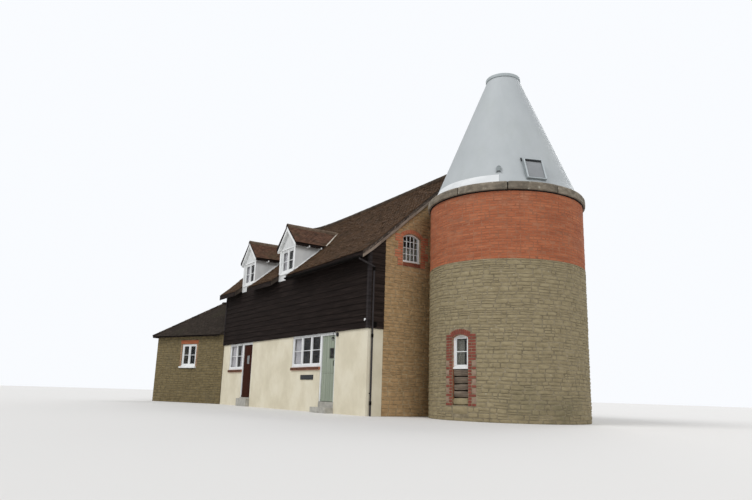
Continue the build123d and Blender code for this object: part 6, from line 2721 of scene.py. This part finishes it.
@dataclass
class Windows(Assembly):
    """Casements, brick sills and curtains of every window."""

    frame_y: float = 3.43
    sill_face: float = 3.495
    near: Span = (-6.69, 1.99)
    far: Span = (-12.48, 1.38)
    rear: Span = (-5.6, -10.0)
    foot: float = 1.385
    top: float = 2.43
    dormers: Span = DORMER_MIDDLES
    kiln_azimuth: float = KILN_WINDOW_AZIMUTH
    gable_middle: float = GABLE_WINDOW_MIDDLE
    glass_back: float = -0.0495

    def square(self) -> list[SquareWindow]:
        """Every square-headed window but the wing's."""
        front = Flat((0.0, -self.frame_y, 0.0), (1.0, 0.0, 0.0))
        back = Flat((0.0, self.frame_y, 0.0), (-1.0, 0.0, 0.0))
        found = [
            SquareWindow("near_window", front, *self.near, self.foot, self.top, 3),
            SquareWindow("far_window", front, *self.far, self.foot, self.top, 2),
        ]
        for index, x in enumerate(self.rear):
            found.append(SquareWindow(f"rear_window_{index}", back, -x - 0.995, 1.99, self.foot, self.top, 3))
        face = Flat((0.0, -3.45, 0.0), (1.0, 0.0, 0.0))
        for index, x in enumerate(self.dormers):
            name = f"dormer_window_{index}"
            found.append(SquareWindow(name, face, x - 0.5, 1.0, 4.76, 5.63, 2, holder="upper_window_frames"))
        return found

    def build(self) -> None:
        """Builds and dresses the windows."""
        works = self.works
        works.paint(WHITE_TIMBER, "ground_window_frames", "upper_window_frames", "kiln_window_frame")
        works.paint(WINDOW_GLASS, "ground_window_glass", "upper_window_glass")
        works.paint(BRICK_JOINT, "window_sills")
        for window in self.square():
            self.dress(window)
        self.build_brick_sills()
        self.build_arched()

    def dress(self, window: SquareWindow) -> None:
        """Hangs a casement in each light, with a drip sill, and a curtain behind.

        Args:
            window: The window.
        """
        work = Meshwork()
        for span in window.panes():
            Sash(span, (window.foot + window.frame, window.top - window.frame)).add(work)
        ends = (window.start + 0.001, window.start + window.width - 0.001)
        work.box(ends, (window.foot + 0.001, window.foot + 0.05), (-0.02, 0.018), 0.008)
        mesh = work.mesh(f"{window.name}_casements", window.surface)
        self.works.piece(mesh, WHITE_TIMBER, smooth=TRIM_EDGE)
        if window.curtained:
            spans = window.panes()
            self.curtain(window, "left", spans[0], 0.95)
            self.curtain(window, "right", spans[-1], 0.3 if window.lights == 3 else 0.6)

    def curtain(self, window: SquareWindow, side: str, span: Span, share: float) -> None:
        """Hangs a thin gathered curtain behind the glass.

        Args:
            window: The window.
            side: left or right.
            span: The light that it hangs in.
            share: How much of the light it covers.
        """
        long = (span[1] - span[0]) * share
        start = span[0] if side == "left" else span[1] - long
        folds = max(4, round(long / 0.07))
        u = np.linspace(0.0, 1.0, folds * 12 + 1)
        rows = np.linspace(0.0, 1.0, 13)
        foot, head = window.foot + 0.06, window.top - 0.06
        rng = random.Random(len(window.name) * 7 + len(side))
        phase = [rng.uniform(0.0, 1.2) for _ in range(3)]
        points = []
        for row in rows:
            swing = 0.011 + 0.005 * (1.0 - row)
            wave = u * folds * 2 * math.pi + 0.35 * np.sin(u * 9 + phase[0] + row)
            out = -0.098 + swing * np.sin(wave) + 0.003 * np.sin(row * 5 + u * 11 + phase[1])
            height = np.full(len(u), foot + row * (head - foot))
            points.append(np.column_stack((start + u * long, height, out)))
        grid = np.array(points)
        across = len(u)
        faces = [
            [j * across + i, j * across + i + 1, (j + 1) * across + i + 1, (j + 1) * across + i]
            for j in range(len(rows) - 1)
            for i in range(across - 1)
        ]
        work = Meshwork()
        work.add(grid.reshape(-1, 3), faces)
        mesh = work.mesh(f"{window.name}_curtain_{side}", window.surface)
        cloth = self.works.piece(mesh, window.cloth, smooth=180)
        thick = cloth.modifiers.new("cloth_thickness", "SOLIDIFY")
        thick.thickness = 0.001
        head - foot

    def build_brick_sills(self) -> None:
        """Bricks on edge over the sills, and the kiln's and the gable's stay as they are."""
        for side, seed, spans in (
            (-1, 61, [self.near, self.far]),
            (1, 62, [(-x - 0.995, 1.99) for x in self.rear]),
        ):
            layout = Layout()
            rng = random.Random(seed)
            for start, width in spans:
                count = round(width / 0.075)
                for k in range(count):
                    size = (width / count - 0.009, 0.088, 0.06)
                    out = -0.025 + rng.uniform(-0.003, 0.002)
                    layout.put(start + (k + 0.5) * width / count, 1.342, out, size, rng.uniform(-0.02, 0.02))
            surface = Flat((0.0, side * self.sill_face, 0.0), (-side, 0.0, 0.0))
            name = "front_brick_sills" if side < 0 else "rear_brick_sills"
            self.bricks(name, layout, WINDOW_SILL, surface, seed, 0.03)

    def build_arched(self) -> None:
        """The casements of the kiln's and the gable's arched windows."""
        angle = math.radians(self.kiln_azimuth)
        away = (math.cos(angle), math.sin(angle))
        kiln = Flat((2.13 * away[0], 2.13 * away[1], 0.0), (-away[1], away[0], 0.0))
        work = Meshwork()
        Sash((-0.205, 0.205), (1.35, 2.122), (0.5,), foot=0.06).add(work)
        work.box((-0.254, 0.254), (1.301, 1.345), (-0.02, 0.03), 0.008)
        self.works.piece(work.mesh("kiln_window_casement", kiln), WHITE_TIMBER, smooth=TRIM_EDGE)
        size = (-0.205, 0.41, 1.3, 2.16)
        window = SquareWindow("kiln_window", kiln, *size, 1, holder="kiln_window_frame", cloth=GREY_LINEN)
        self.curtain(window, "left", (-0.19, 0.19), 0.6)
        gable = Flat((-2.04, 0.0, 0.0), (0.0, 1.0, 0.0))
        work = Meshwork()
        middle, back, width = self.gable_middle, self.glass_back, (-2.2345, -1.6855)
        for off, head, bar in ((-0.1375, 5.311, 0.022), (0.0, 5.329, 0.018), (0.1375, 5.311, 0.02)):
            span = (middle + off - bar / 2, middle + off + bar / 2)
            work.box(span, (4.541, head), (back, -0.014), 0.005)
        for v in (4.76, 4.955, 5.15):
            work.box(width, (v - 0.008, v + 0.008), (back, -0.019), 0.005)
        work.box(width, (4.5405, 4.565), (back, -0.01), 0.004)
        work.box((-2.284, -1.636), (4.491, 4.532), (-0.02, 0.045), 0.008)
        self.works.piece(work.mesh("gable_window_bars", gable), WHITE_TIMBER, smooth=TRIM_EDGE)
        size = (-2.2345, 0.549, 4.5, 5.05)
        holder = "upper_window_frames"
        window = SquareWindow("gable_window", gable, *size, 1, holder=holder, cloth=GREY_LINEN)
        self.curtain(window, "left", (-2.225, -1.695), 1.0)


# Dormers


@dataclass
class Dormers(Assembly):
    """Two gabled dormers: plastered, tiled, with white verge boards and rafter ends."""

    line: RangeLine = field(default_factory=RangeLine)
    middles: Span = DORMER_MIDDLES
    half: float = DORMER_HALF
    roof_half: float = 0.79
    foot: float = 5.77
    apex: float = DORMER_APEX
    wall_y: float = -3.4695
    rafters: Span = (-3.02, -2.53)
    verge_y: float = -3.545
    gauge: float = 0.1
    pitch: float = 0.165

    @property
    def length(self) -> float:
        """The length of a slope."""
        return math.hypot(self.roof_half, self.apex - self.foot)

    def meets(self, x: float, z: float) -> float:
        """Where the range's front slope is at a height."""
        apex, kick, _ = (float(row[0]) for row in self.line.section(np.array((x,))))
        return -self.line.kick_half * (apex - z) / (apex - kick)

    def slope_z(self, x: float, y: float) -> float:
        """The height of the range's front slope at a place."""
        apex, kick, eaves = (float(row[0]) for row in self.line.section(np.array((x,))))
        if -y < self.line.kick_half:
            return apex + (kick - apex) * -y / self.line.kick_half
        share = (-y - self.line.kick_half) / (self.line.half - self.line.kick_half)
        return kick + (eaves - kick) * share

    def build(self) -> None:
        """Builds and dresses the dormers."""
        self.works.paint(PLASTER, "dormer_fronts", "dormer_cheeks")
        self.works.paint(DARK_TIMBER_AND_SHADE, "dormer_left_slopes", "dormer_right_slopes")
        for index, x in enumerate(self.middles):
            self.tile(index, x)
            self.trim(index, x)

    def tile(self, index: int, x: float) -> None:
        """Tiles both slopes and the ridge of one dormer.

        Args:
            index: Its number.
            x: Its middle.
        """
        for side, word in ((1, "right"), (-1, "left")):
            rng = random.Random(70 + index * 2 + side)
            layout = Layout()
            rows = int(self.length / self.gauge)
            for row in range(-1, rows):
                v = row * self.gauge + 0.078 if row >= 0 else 0.045
                long = 0.2 if row >= 0 else 0.12
                z = self.foot + v / self.length * (self.apex - self.foot)
                back = self.meets(x, z) + 0.05
                front = self.verge_y - 0.012
                count = max(1, math.ceil((back - front) / self.pitch))
                shift = 0.5 if row % 2 else 0.0
                for k in range(count + 1):
                    a = max(front, front + (k - shift) * self.pitch)
                    b = min(back, front + (k + 1 - shift) * self.pitch)
                    if b - a < 0.03:
                        continue
                    out = 0.003 + rng.uniform(0.0, 0.004) + (0.0 if row >= 0 else -0.014)
                    size = (b - a - 0.004, long, 0.015)
                    height = v + rng.uniform(-0.005, 0.004)
                    layout.put(side * (a + b) / 2, height, out, size, rng.uniform(-0.014, 0.014))
            origin = (x + side * self.roof_half, 0.0, self.foot)
            up = (-side * self.roof_half, 0.0, self.apex - self.foot)
            surface = Flat(origin, (0.0, side, 0.0), up)
            name = f"dormer_{index}_{word}_tiles"
            self.tiles(name, layout, DORMER_TILES, surface, 75 + index * 2 + side)
        work = Meshwork()
        y = np.linspace(self.verge_y - 0.01, self.meets(x, self.apex) + 0.04, 6)
        capping(work, [(x, a, self.apex + 0.006) for a in y], 0.095, 0.055, 0.09, 0.005)
        self.works.piece(facing_out(work.mesh(f"dormer_{index}_ridge_tiles")), PALE_RIDGE, smooth=ROUND_EDGE)

    def trim(self, index: int, x: float) -> None:
        """Verge boards, rafter ends, valleys and fillets of one dormer.

        Args:
            index: Its number.
            x: Its middle.
        """
        white, dark, mortar = Meshwork(), Meshwork(), Meshwork()
        for side in (-1, 1):
            thin, deep = (0.04, 0.115) if side > 0 else (0.125, 0.09)
            for board, top, tall, out in ((dark, 0.012, thin, 0.0), (white, 0.005 + thin, deep, 0.003)):
                rings = []
                back = self.wall_y if board is white else self.verge_y + 0.02
                for y in (back, self.verge_y - 0.02 - out):
                    reach = self.roof_half - 0.004 - (thin - 0.015 if board is white else 0.0)
                    line = [(x + side * 0.0006, self.apex - top), (x + side * reach, self.foot - top)]
                    low = [(line[1][0], line[1][1] - tall * 0.8), (line[0][0], line[0][1] - tall * 1.2)]
                    rings.append([(a, y, z) for a, z in line + low])
                board.sweep(np.array(rings))
            edge = x + side * self.half
            turn = np.arange(10) * 2 * math.pi / 10
            for y in self.rafters:
                ends = sorted((edge + side * 0.001, edge + side * 0.183))
                z = self.foot - 0.15 + 0.045
                rings = [[(a, y + 0.03 * math.cos(t), z + 0.038 * math.sin(t)) for t in turn] for a in ends]
                white.sweep(np.array(rings))
            z_low = self.foot - 0.01
            a = np.array((x + side * (self.roof_half + 0.01), self.meets(x, z_low) - 0.02, z_low))
            b = np.array((x + side * 0.02, self.meets(x, self.apex) + 0.02, self.apex))
            across = np.array((side * 0.055, 0.0, 0.0))
            up = np.array((0.0, -0.034, 0.042))
            rings = [[p - across, p + across, p + across + up * 0.5, p - across + up] for p in (a, b)]
            mortar.sweep(np.array(rings))
            y_back = self.meets(x, self.foot - 0.02)
            rings = []
            for y in np.linspace(-3.47, y_back, 9):
                z = self.slope_z(x, y)
                wide = 0.055 + 0.008 * math.sin(y * 23)
                inner = edge - side * 0.004
                low = [(inner, y, z - 0.01), (edge + side * wide, y, z - 0.01)]
                rings.append([*low, (edge + side * wide * 0.8, y, z + 0.022), (inner, y, z + 0.085)])
            white.sweep(np.array(rings))
        reach = self.half + 0.02
        white.box((x - reach, x + reach), (-3.488, self.wall_y), (5.632, 5.675), 0.006)
        white.box((x - 0.52, x + 0.52), (-3.5, self.wall_y), (4.715, 4.758), 0.008)
        for side in (-1, 1):
            u = sorted((x + side * 0.502, x + side * 0.6195))
            white.box((u[0], u[1]), (-3.486, self.wall_y), (4.515, 5.63), 0.005)
        parts = ((white, WHITE_TIMBER, "trim"), (dark, DARK_TIMBER_AND_SHADE, "verge"), (mortar, FILLET, "fillets"))
        for work, finish, word in parts:
            self.works.piece(facing_out(work.mesh(f"dormer_{index}_{word}")), finish, smooth=TRIM_EDGE)


# Doors


@dataclass
class Doors(Assembly):
    """The brown plank door and the sage stable door."""

    inner_y: float = -3.355
    thick: float = 0.045
    foot: float = 0.335
    head: float = 2.333
    split: Span = (1.184, 1.19)

    def build(self) -> None:
        """Builds and dresses the leaves."""
        works = self.works
        works.paint(WHITE_TIMBER, "door_frames")
        leaves = ("brown_door", "green_door_lower", "green_door_upper")
        works.paint(IRON, "door_pintles", *(f"{leaf}_ironwork" for leaf in leaves))
        works.paint(WINDOW_GLASS, "green_door_pane")
        brown = (-11.035, -10.198)
        green = (-4.635, -3.83)
        pane = (-10.75, -10.48, 1.59, 1.93)
        glass = Meshwork()
        glass.box(pane[:2], pane[2:], (-0.028, -0.006), 0.001)
        outer = Flat((0.0, self.inner_y - self.thick, 0.0), (1.0, 0.0, 0.0))
        mesh = facing_out(glass.mesh("brown_door_glass", outer))
        works.piece(mesh, DOOR_GLASS, Body.BROWN_DOOR, replaces=("brown_door_pane",))
        self.leaf("brown_door", brown, (self.foot, self.head), 7, BROWN_PLANKS, Body.BROWN_DOOR, pane)
        self.leaf("green_door_lower", green, (self.foot, self.split[0]), 6, SAGE_PAINT, Body.LOWER_LEAF, None)
        pane = (-4.207, -3.907, 1.62, 1.95)
        self.leaf("green_door_upper", green, (self.split[1], self.head), 6, SAGE_PAINT, Body.UPPER_LEAF, pane)

    def leaf(
        self,
        node: str,
        u: Span,
        v: Span,
        count: int,
        finish: Finish,
        body: Body,
        pane: tuple[float, float, float, float] | None,
    ) -> None:
        """Builds one leaf of upright planks, with beads round its pane.

        Args:
            node: The CAD leaf that it stands for.
            u: Its limits along the wall.
            v: Its limits in height.
            count: How many planks it has.
            finish: Its finish.
            body: The body that it rides on.
            pane: The limits of its pane, or None.
        """
        outer = Flat((0.0, self.inner_y - self.thick, 0.0), (1.0, 0.0, 0.0))
        edges = list(np.linspace(u[0], u[1], count + 1))
        if pane:
            kept = [e for e in edges if min(abs(e - pane[0]), abs(e - pane[1])) > 0.03]
            edges = sorted([*kept, *pane[:2]])
        layout = Layout()
        for a, b in zip(edges, edges[1:]):
            within = pane is not None and a > pane[0] - 0.001 and b < pane[1] + 0.001
            for low, high in [(v[0], pane[2]), (pane[3], v[1])] if within else [v]:
                layout.put((a + b) / 2, (low + high) / 2, -self.thick / 2, (b - a, high - low, self.thick))
        name, family = f"{node}_planks", self.shapes.planks
        self.coursing.lay(name, layout, family, finish, outer, 80 + count, body=body, replaces=(node,))
        trim = Meshwork()
        if pane:
            a, b, low, high = pane
            middle = -self.thick / 2
            for out in ((-self.thick, middle - 0.0065), (middle + 0.0065, 0.004)):
                trim.box((a - 0.001, a + 0.008), (low, high), out, 0.002)
                trim.box((b - 0.008, b + 0.001), (low, high), out, 0.002)
                trim.box((a, b), (low - 0.001, low + 0.008), out, 0.002)
                trim.box((a, b), (high - 0.008, high + 0.001), out, 0.002)
        if node != "green_door_upper":
            trim.box((u[0] + 0.01, u[1] - 0.01), (v[0] + 0.008, v[0] + 0.075), (-0.004, 0.016), 0.006)
        if trim.points:
            self.works.piece(facing_out(trim.mesh(f"{node}_trim", outer)), finish, body, smooth=TRIM_EDGE)


# Low wing


@dataclass
class Wing(Assembly):
    """The low hipped wing that turns away from the range's far end."""

    corner: Point = (-13.2, -3.47, 0.0)
    angle: float = 23.4
    long: float = 4.3
    deep: float = 4.0
    eaves: float = 2.89
    slope: float = 0.77
    overhang: float = 0.2
    window: tuple[float, float, float, float] = (-2.59, -1.69, 1.54, 2.51)
    toothing: float = 0.11
    arch: float = 0.2
    gauge: float = 0.105
    pitch: float = 0.17

    def place(self) -> Callable[[float, float, float], Point]:
        """The wing's own frame."""
        return local_frame(self.corner, self.angle)

    def face(self, x: float, y: float, z: float, along: Point, up: Point = (0.0, 0.0, 1.0)) -> Flat:
        """A flat face given in the wing's own frame."""
        turn = local_frame((0.0, 0.0, 0.0), self.angle)
        return Flat(self.place()(x, y, z), turn(*along), turn(*up))

    def build(self) -> None:
        """Builds and dresses the wing."""
        self.works.paint(WING_MORTAR, "wing_side_walls", "wing_end_wall")
        self.works.paint(ROOF_BED, "wing_roof")
        self.build_walls()
        self.build_window()
        self.build_roof()

    def limit(self, y: float) -> float:
        """How far along its own frame the wing runs before it meets the range."""
        a = math.radians(self.angle)
        return (y * math.sin(a) - 0.005) / math.cos(a)

    def build_walls(self) -> None:
        """Rubble on the three free sides."""
        left, right, foot, top = self.window
        opening = [(left - self.toothing, right + self.toothing)]
        head = top + self.arch

        def front(low: float, high: float) -> list[Span]:
            """Clear spans of the front wall."""
            holes = opening if high > foot + 0.02 and low < head else []
            return clear_of([(-self.long, self.limit(0.0))], holes)

        end, rear = (-self.deep, 0.0), (-self.limit(self.deep), self.long)
        parts = [
            ("front", self.face(0, 0, 0, (1, 0, 0)), front),
            ("end", self.face(-self.long, 0, 0, (0, -1, 0)), lambda low, high: [end]),
            ("rear", self.face(0, self.deep, 0, (-1, 0, 0)), lambda low, high: [rear]),
        ]
        for index, (word, surface, spans) in enumerate(parts):
            rubble = Rubble((0.08, 0.14), (0.16, 0.42))
            stones = rubble.lay(random.Random(91 + index), (0.0, self.eaves), spans)
            self.stones(f"wing_{word}_stones", stones, WING_STONE, surface, 91 + index, 0.012, 0.006)

    def build_window(self) -> None:
        """The wing's window: toothed brick jambs, a flat brick arch, casements and a deep white cill."""
        left, right, foot, top = self.window
        surface = self.face(0, 0, 0, (1, 0, 0))
        jambs, arch = Layout(), Layout()
        rows = round((top - foot) / 0.075)
        pitch = (top - foot) / rows
        for row in range(rows):
            for side, edge in ((-1, left), (1, right)):
                size = (self.toothing - 0.009, pitch - 0.009, 0.09)
                jambs.put(edge + side * self.toothing / 2, foot + (row + 0.5) * pitch, -0.037, size)
        wide = right - left + 2 * self.toothing
        count = round(wide / 0.075)
        for k in range(count):
            u = left - self.toothing + (k + 0.5) * wide / count
            lean = (u - (left + right) / 2) * 0.3
            arch.put(u, top + self.arch / 2, -0.036, (wide / count - 0.009, self.arch - 0.015, 0.09), -lean)
        self.bricks("wing_window_jambs", jambs, TAN_BRICK, surface, 95, 0.01)
        self.bricks("wing_window_arch", arch, BRICK, surface, 94, 0.01)
        inset = self.face(0, 0.02, 0, (1, 0, 0))
        window = SquareWindow("wing_window", inset, left, right - left, foot, top, 2)
        work = Meshwork()
        for span in window.panes():
            Sash(span, (foot + 0.05, top - 0.05)).add(work)
        work.box((left - 0.07, right + 0.07), (foot - 0.065, foot + 0.004), (0.021, 0.105), 0.01)
        work.box((left + 0.001, right - 0.001), (foot + 0.001, foot + 0.06), (-0.03, 0.03), 0.008)
        self.works.piece(work.mesh("wing_window_casements", window.surface), WHITE_TIMBER, smooth=TRIM_EDGE)

    def build_roof(self) -> None:
        """Tiles on the two slopes and the hip, with their cappings and eaves boards."""
        lean = math.atan(self.slope)
        c, s = math.cos(lean), math.sin(lean)
        out, half = self.overhang, self.deep / 2 + self.overhang
        tip = -self.long - out
        planes = [
            (
                "front",
                self.face(0, -out, self.eaves, (1, 0, 0), (0, c, s)),
                lambda r: (tip + r, self.limit(r - out) - 0.01),
            ),
            (
                "rear",
                self.face(0, self.deep + out, self.eaves, (-1, 0, 0), (0, -c, s)),
                lambda r: (-self.limit(self.deep + out - r) + 0.01, -tip - r),
            ),
            (
                "hip",
                self.face(tip, 0, self.eaves, (0, -1, 0), (c, 0, s)),
                lambda r: (-self.deep / 2 - half + r, -self.deep / 2 + half - r),
            ),
        ]
        for index, (word, surface, spans) in enumerate(planes):
            rng = random.Random(96 + index)
            layout = Layout()
            for row in range(-1, int(half / c / self.gauge)):
                v = row * self.gauge + 0.08 if row >= 0 else 0.045
                long = 0.21 if row >= 0 else 0.12
                low, high = spans(max(0.0, v * c))
                count = math.ceil((high - low) / self.pitch) + 1
                shift = 0.5 if row % 2 else 0.0
                base = math.floor(low / self.pitch) * self.pitch
                for k in range(count + 1):
                    a = max(low, base + (k - shift) * self.pitch)
                    b = min(high, base + (k + 1 - shift) * self.pitch)
                    if b - a < 0.03:
                        continue
                    lift = 0.003 + rng.uniform(0.0, 0.005) + (0.0 if row >= 0 else -0.016)
                    size = (b - a - 0.004, long, 0.016)
                    height = v + rng.uniform(-0.006, 0.004)
                    layout.put((a + b) / 2, height, lift, size, rng.uniform(-0.014, 0.014))
            self.tiles(f"wing_{word}_tiles", layout, WING_TILES_WITH_SHADE, surface, 96 + index)
        place = self.place()
        ridge_z = self.eaves + half * self.slope
        work = Meshwork()
        peak = (tip + half, self.deep / 2, ridge_z)
        for y in (-out, self.deep + out):
            corner = np.array((tip, y, self.eaves))
            line = [corner * (1 - t) + np.array(peak) * t for t in np.linspace(0.01, 0.985, 12)]
            capping(work, [place(a, b, d + 0.004) for a, b, d in line], 0.11, 0.045, 0.05, 0.008)
        end = self.limit(self.deep / 2)
        line = [(x, self.deep / 2, ridge_z + 0.004) for x in np.linspace(peak[0] - 0.05, end - 0.01, 9)]
        capping(work, [place(*p) for p in line], 0.11, 0.07, 0.07)
        self.works.piece(facing_out(work.mesh("wing_ridge_tiles")), WING_TILES_WITH_SHADE, smooth=ROUND_EDGE)
        boards = Meshwork()
        eaves = [(tip + 0.02, -out + 0.02), (self.limit(-out) - 0.06, -out + 0.02)]
        rear = self.deep + out
        back = [(tip + 0.02, rear - 0.02), (self.limit(rear) - 0.02, rear - 0.02)]
        side = [(tip + 0.02, -out + 0.0205), (tip + 0.02, rear - 0.0205)]
        for (a, b), inward in ((eaves, (0.0, 0.02)), (back, (0.0, -0.02)), (side, (0.02, 0.0))):
            rings = []
            for x, y in (a, b):
                p, q = (x, y), (x + inward[0], y + inward[1])
                rings.append([place(*p, 2.825), place(*q, 2.825), place(*q, 2.9), place(*p, 2.888)])
            boards.sweep(np.array(rings))
        self.works.piece(facing_out(boards.mesh("wing_eaves_boards")), DARK_TIMBER_AND_SHADE, smooth=TRIM_EDGE)


# Trim


@dataclass
class Trim(Assembly):
    """Rainwater goods, the bare sign and the lamps."""

    gutter_y: float = 3.8353
    gutter_z: float = 4.44
    pipe_x: float = -1.926
    pipe_y: float = 3.33
    lantern_x: float = -3.655
    lantern_z: float = 2.2
    lantern_reach: float = 3.61

    def build(self) -> None:
        """Builds and dresses the trim."""
        self.works.paint(PLASTIC, "gutters")
        self.works.paint(PIPE, "downpipes")
        self.works.paint(SIGN, "sign_plate")
        self.build_brackets()
        self.build_sign()
        self.build_lantern()
        self.build_corner_lamp()

    def build_brackets(self) -> None:
        """Gutter brackets and unions, and sockets on the downpipes."""
        work = Meshwork()
        turns = ((0.062, np.linspace(0, math.pi, 11)), (0.0555, np.linspace(math.pi, 0, 11)))
        socket = [(0.0265, -0.05), (0.034, -0.048), (0.034, 0.03)]
        socket += [(0.037, 0.034), (0.037, 0.05), (0.0265, 0.052)]
        for side, start in ((-1, -6.79), (1, -13.32)):
            ends = (start + 0.05, -1.88)
            for x in np.linspace(*ends, max(2, round((ends[1] - ends[0]) / 0.9))):
                rings = []
                for a in (x - 0.012, x + 0.012):
                    loop = []
                    for radius, angles in turns:
                        for angle in angles:
                            y = side * self.gutter_y + radius * math.cos(angle)
                            loop.append((a, y, self.gutter_z - radius * math.sin(angle)))
                    rings.append(loop)
                work.sweep(np.array(rings))
            y = side * self.pipe_y
            for z in (0.35, 2.2, 4.12):
                work.lathe(socket, (self.pipe_x, y, z), 20)
        self.works.piece(facing_out(work.mesh("gutter_brackets")), PLASTIC, smooth=ROUND_EDGE)

    def build_sign(self) -> None:
        """A raised rim and four screws on the bare sign."""
        work = Meshwork()
        a, b, low, high = -5.945, -5.095, 0.993, 1.138
        out = (-0.001, 0.006)
        work.box((a, b), (low, low + 0.012), out, 0.002)
        work.box((a, b), (high - 0.012, high), out, 0.002)
        work.box((a, a + 0.012), (low + 0.012, high - 0.012), out, 0.002)
        work.box((b - 0.012, b), (low + 0.012, high - 0.012), out, 0.002)
        surface = Flat((0.0, -3.468, 0.0), (1.0, 0.0, 0.0))
        self.works.piece(work.mesh("sign_rim", surface), PLASTIC, smooth=TRIM_EDGE)
        screws = Meshwork()
        head = [(0.0, 0.0), (0.008, 0.0), (0.007, -0.003), (0.0, -0.004)]
        for u in (a + 0.035, b - 0.035):
            for v in (low + 0.035, high - 0.035):
                screws.lathe(head, (u, -3.468, v), 12, "y")
        self.works.piece(facing_out(screws.mesh("sign_screws")), GALVANISED, smooth=ROUND_EDGE)

    def build_lantern(self) -> None:
        """A small black lantern that hangs from a swan-neck arm on a round boss."""
        x, z, y = self.lantern_x, self.lantern_z, -self.lantern_reach
        work = Meshwork()
        boss = [(0.0, 0.0), (0.066, 0.0), (0.07, -0.012), (0.06, -0.03)]
        boss += [(0.034, -0.046), (0.014, -0.052), (0.0, -0.053)]
        work.lathe(boss, (x, -3.4503, z + 0.13), 28, "y")
        turn = np.linspace(-0.35 * math.pi, 0.5 * math.pi, 13)
        reach = (-3.49 - y) / 2
        arm = [(x, -3.49, z + 0.13)]
        arm += [(x, (-3.49 + y) / 2 - reach * math.sin(t), z + 0.12 + 0.075 * math.cos(t)) for t in turn]
        arm += [(x, y, z + 0.09), (x, y, z + 0.05)]
        work.tube(arm, 0.008, 10)
        profile = [(0.0, 0.062), (0.013, 0.06), (0.016, 0.045), (0.03, 0.036), (0.048, 0.006), (0.05, -0.002)]
        profile += [(0.046, -0.004), (0.026, 0.028), (0.0, 0.032)]
        work.lathe(profile, (x, y, z), 24)
        mesh = facing_out(work.mesh("lantern_body"))
        self.works.piece(mesh, IRON, replaces=("wall_lantern",), smooth=ROUND_EDGE)
        bulb = Meshwork()
        profile = [(0.0, -0.07), (0.02, -0.067), (0.032, -0.045)]
        profile += [(0.03, -0.015), (0.022, 0.012), (0.0, 0.022)]
        bulb.lathe(profile, (x, y, z), 24)
        self.works.piece(facing_out(bulb.mesh("lantern_glass")), LAMP_GLASS, smooth=60)

    def build_corner_lamp(self) -> None:
        """A small white lamp and a dark box at the front corner of the boarding."""
        white = Meshwork()
        white.box((-2.075, -2.02), (-3.535, -3.498), (2.645, 2.69), 0.01)
        white.tube([(-2.047, -3.52, 2.65), (-2.047, -3.53, 2.635), (-2.047, -3.54, 2.625)], 0.016, 14)
        self.works.piece(facing_out(white.mesh("corner_lamp")), WHITE_TIMBER, smooth=ROUND_EDGE)
        dark = Meshwork()
        dark.box((-1.938, -1.9), (-3.33, -3.2), (2.46, 2.6), 0.008)
        self.works.piece(facing_out(dark.mesh("return_box")), PLASTIC, smooth=ROUND_EDGE)


def main() -> None:
    """Builds the pieces in order."""
    logging.basicConfig(level=logging.INFO, format="%(name)s %(message)s")
    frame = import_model()
    works = Workshop(Paintbox(), frame["nodes"])
    coursing = Coursing(works)
    shapes = Shapes()
    for assembly in (Kiln, Cone, RangeRoof, RangeWalls, Windows, Dormers, Doors, Wing, Trim):
        assembly(works, coursing, shapes).build()
    shapes.clear()
    Studio().build()
    bpy.context.scene.view_settings.view_transform = "Standard"
    bpy.context.view_layer.update()


if __name__ == "__main__":
    main()
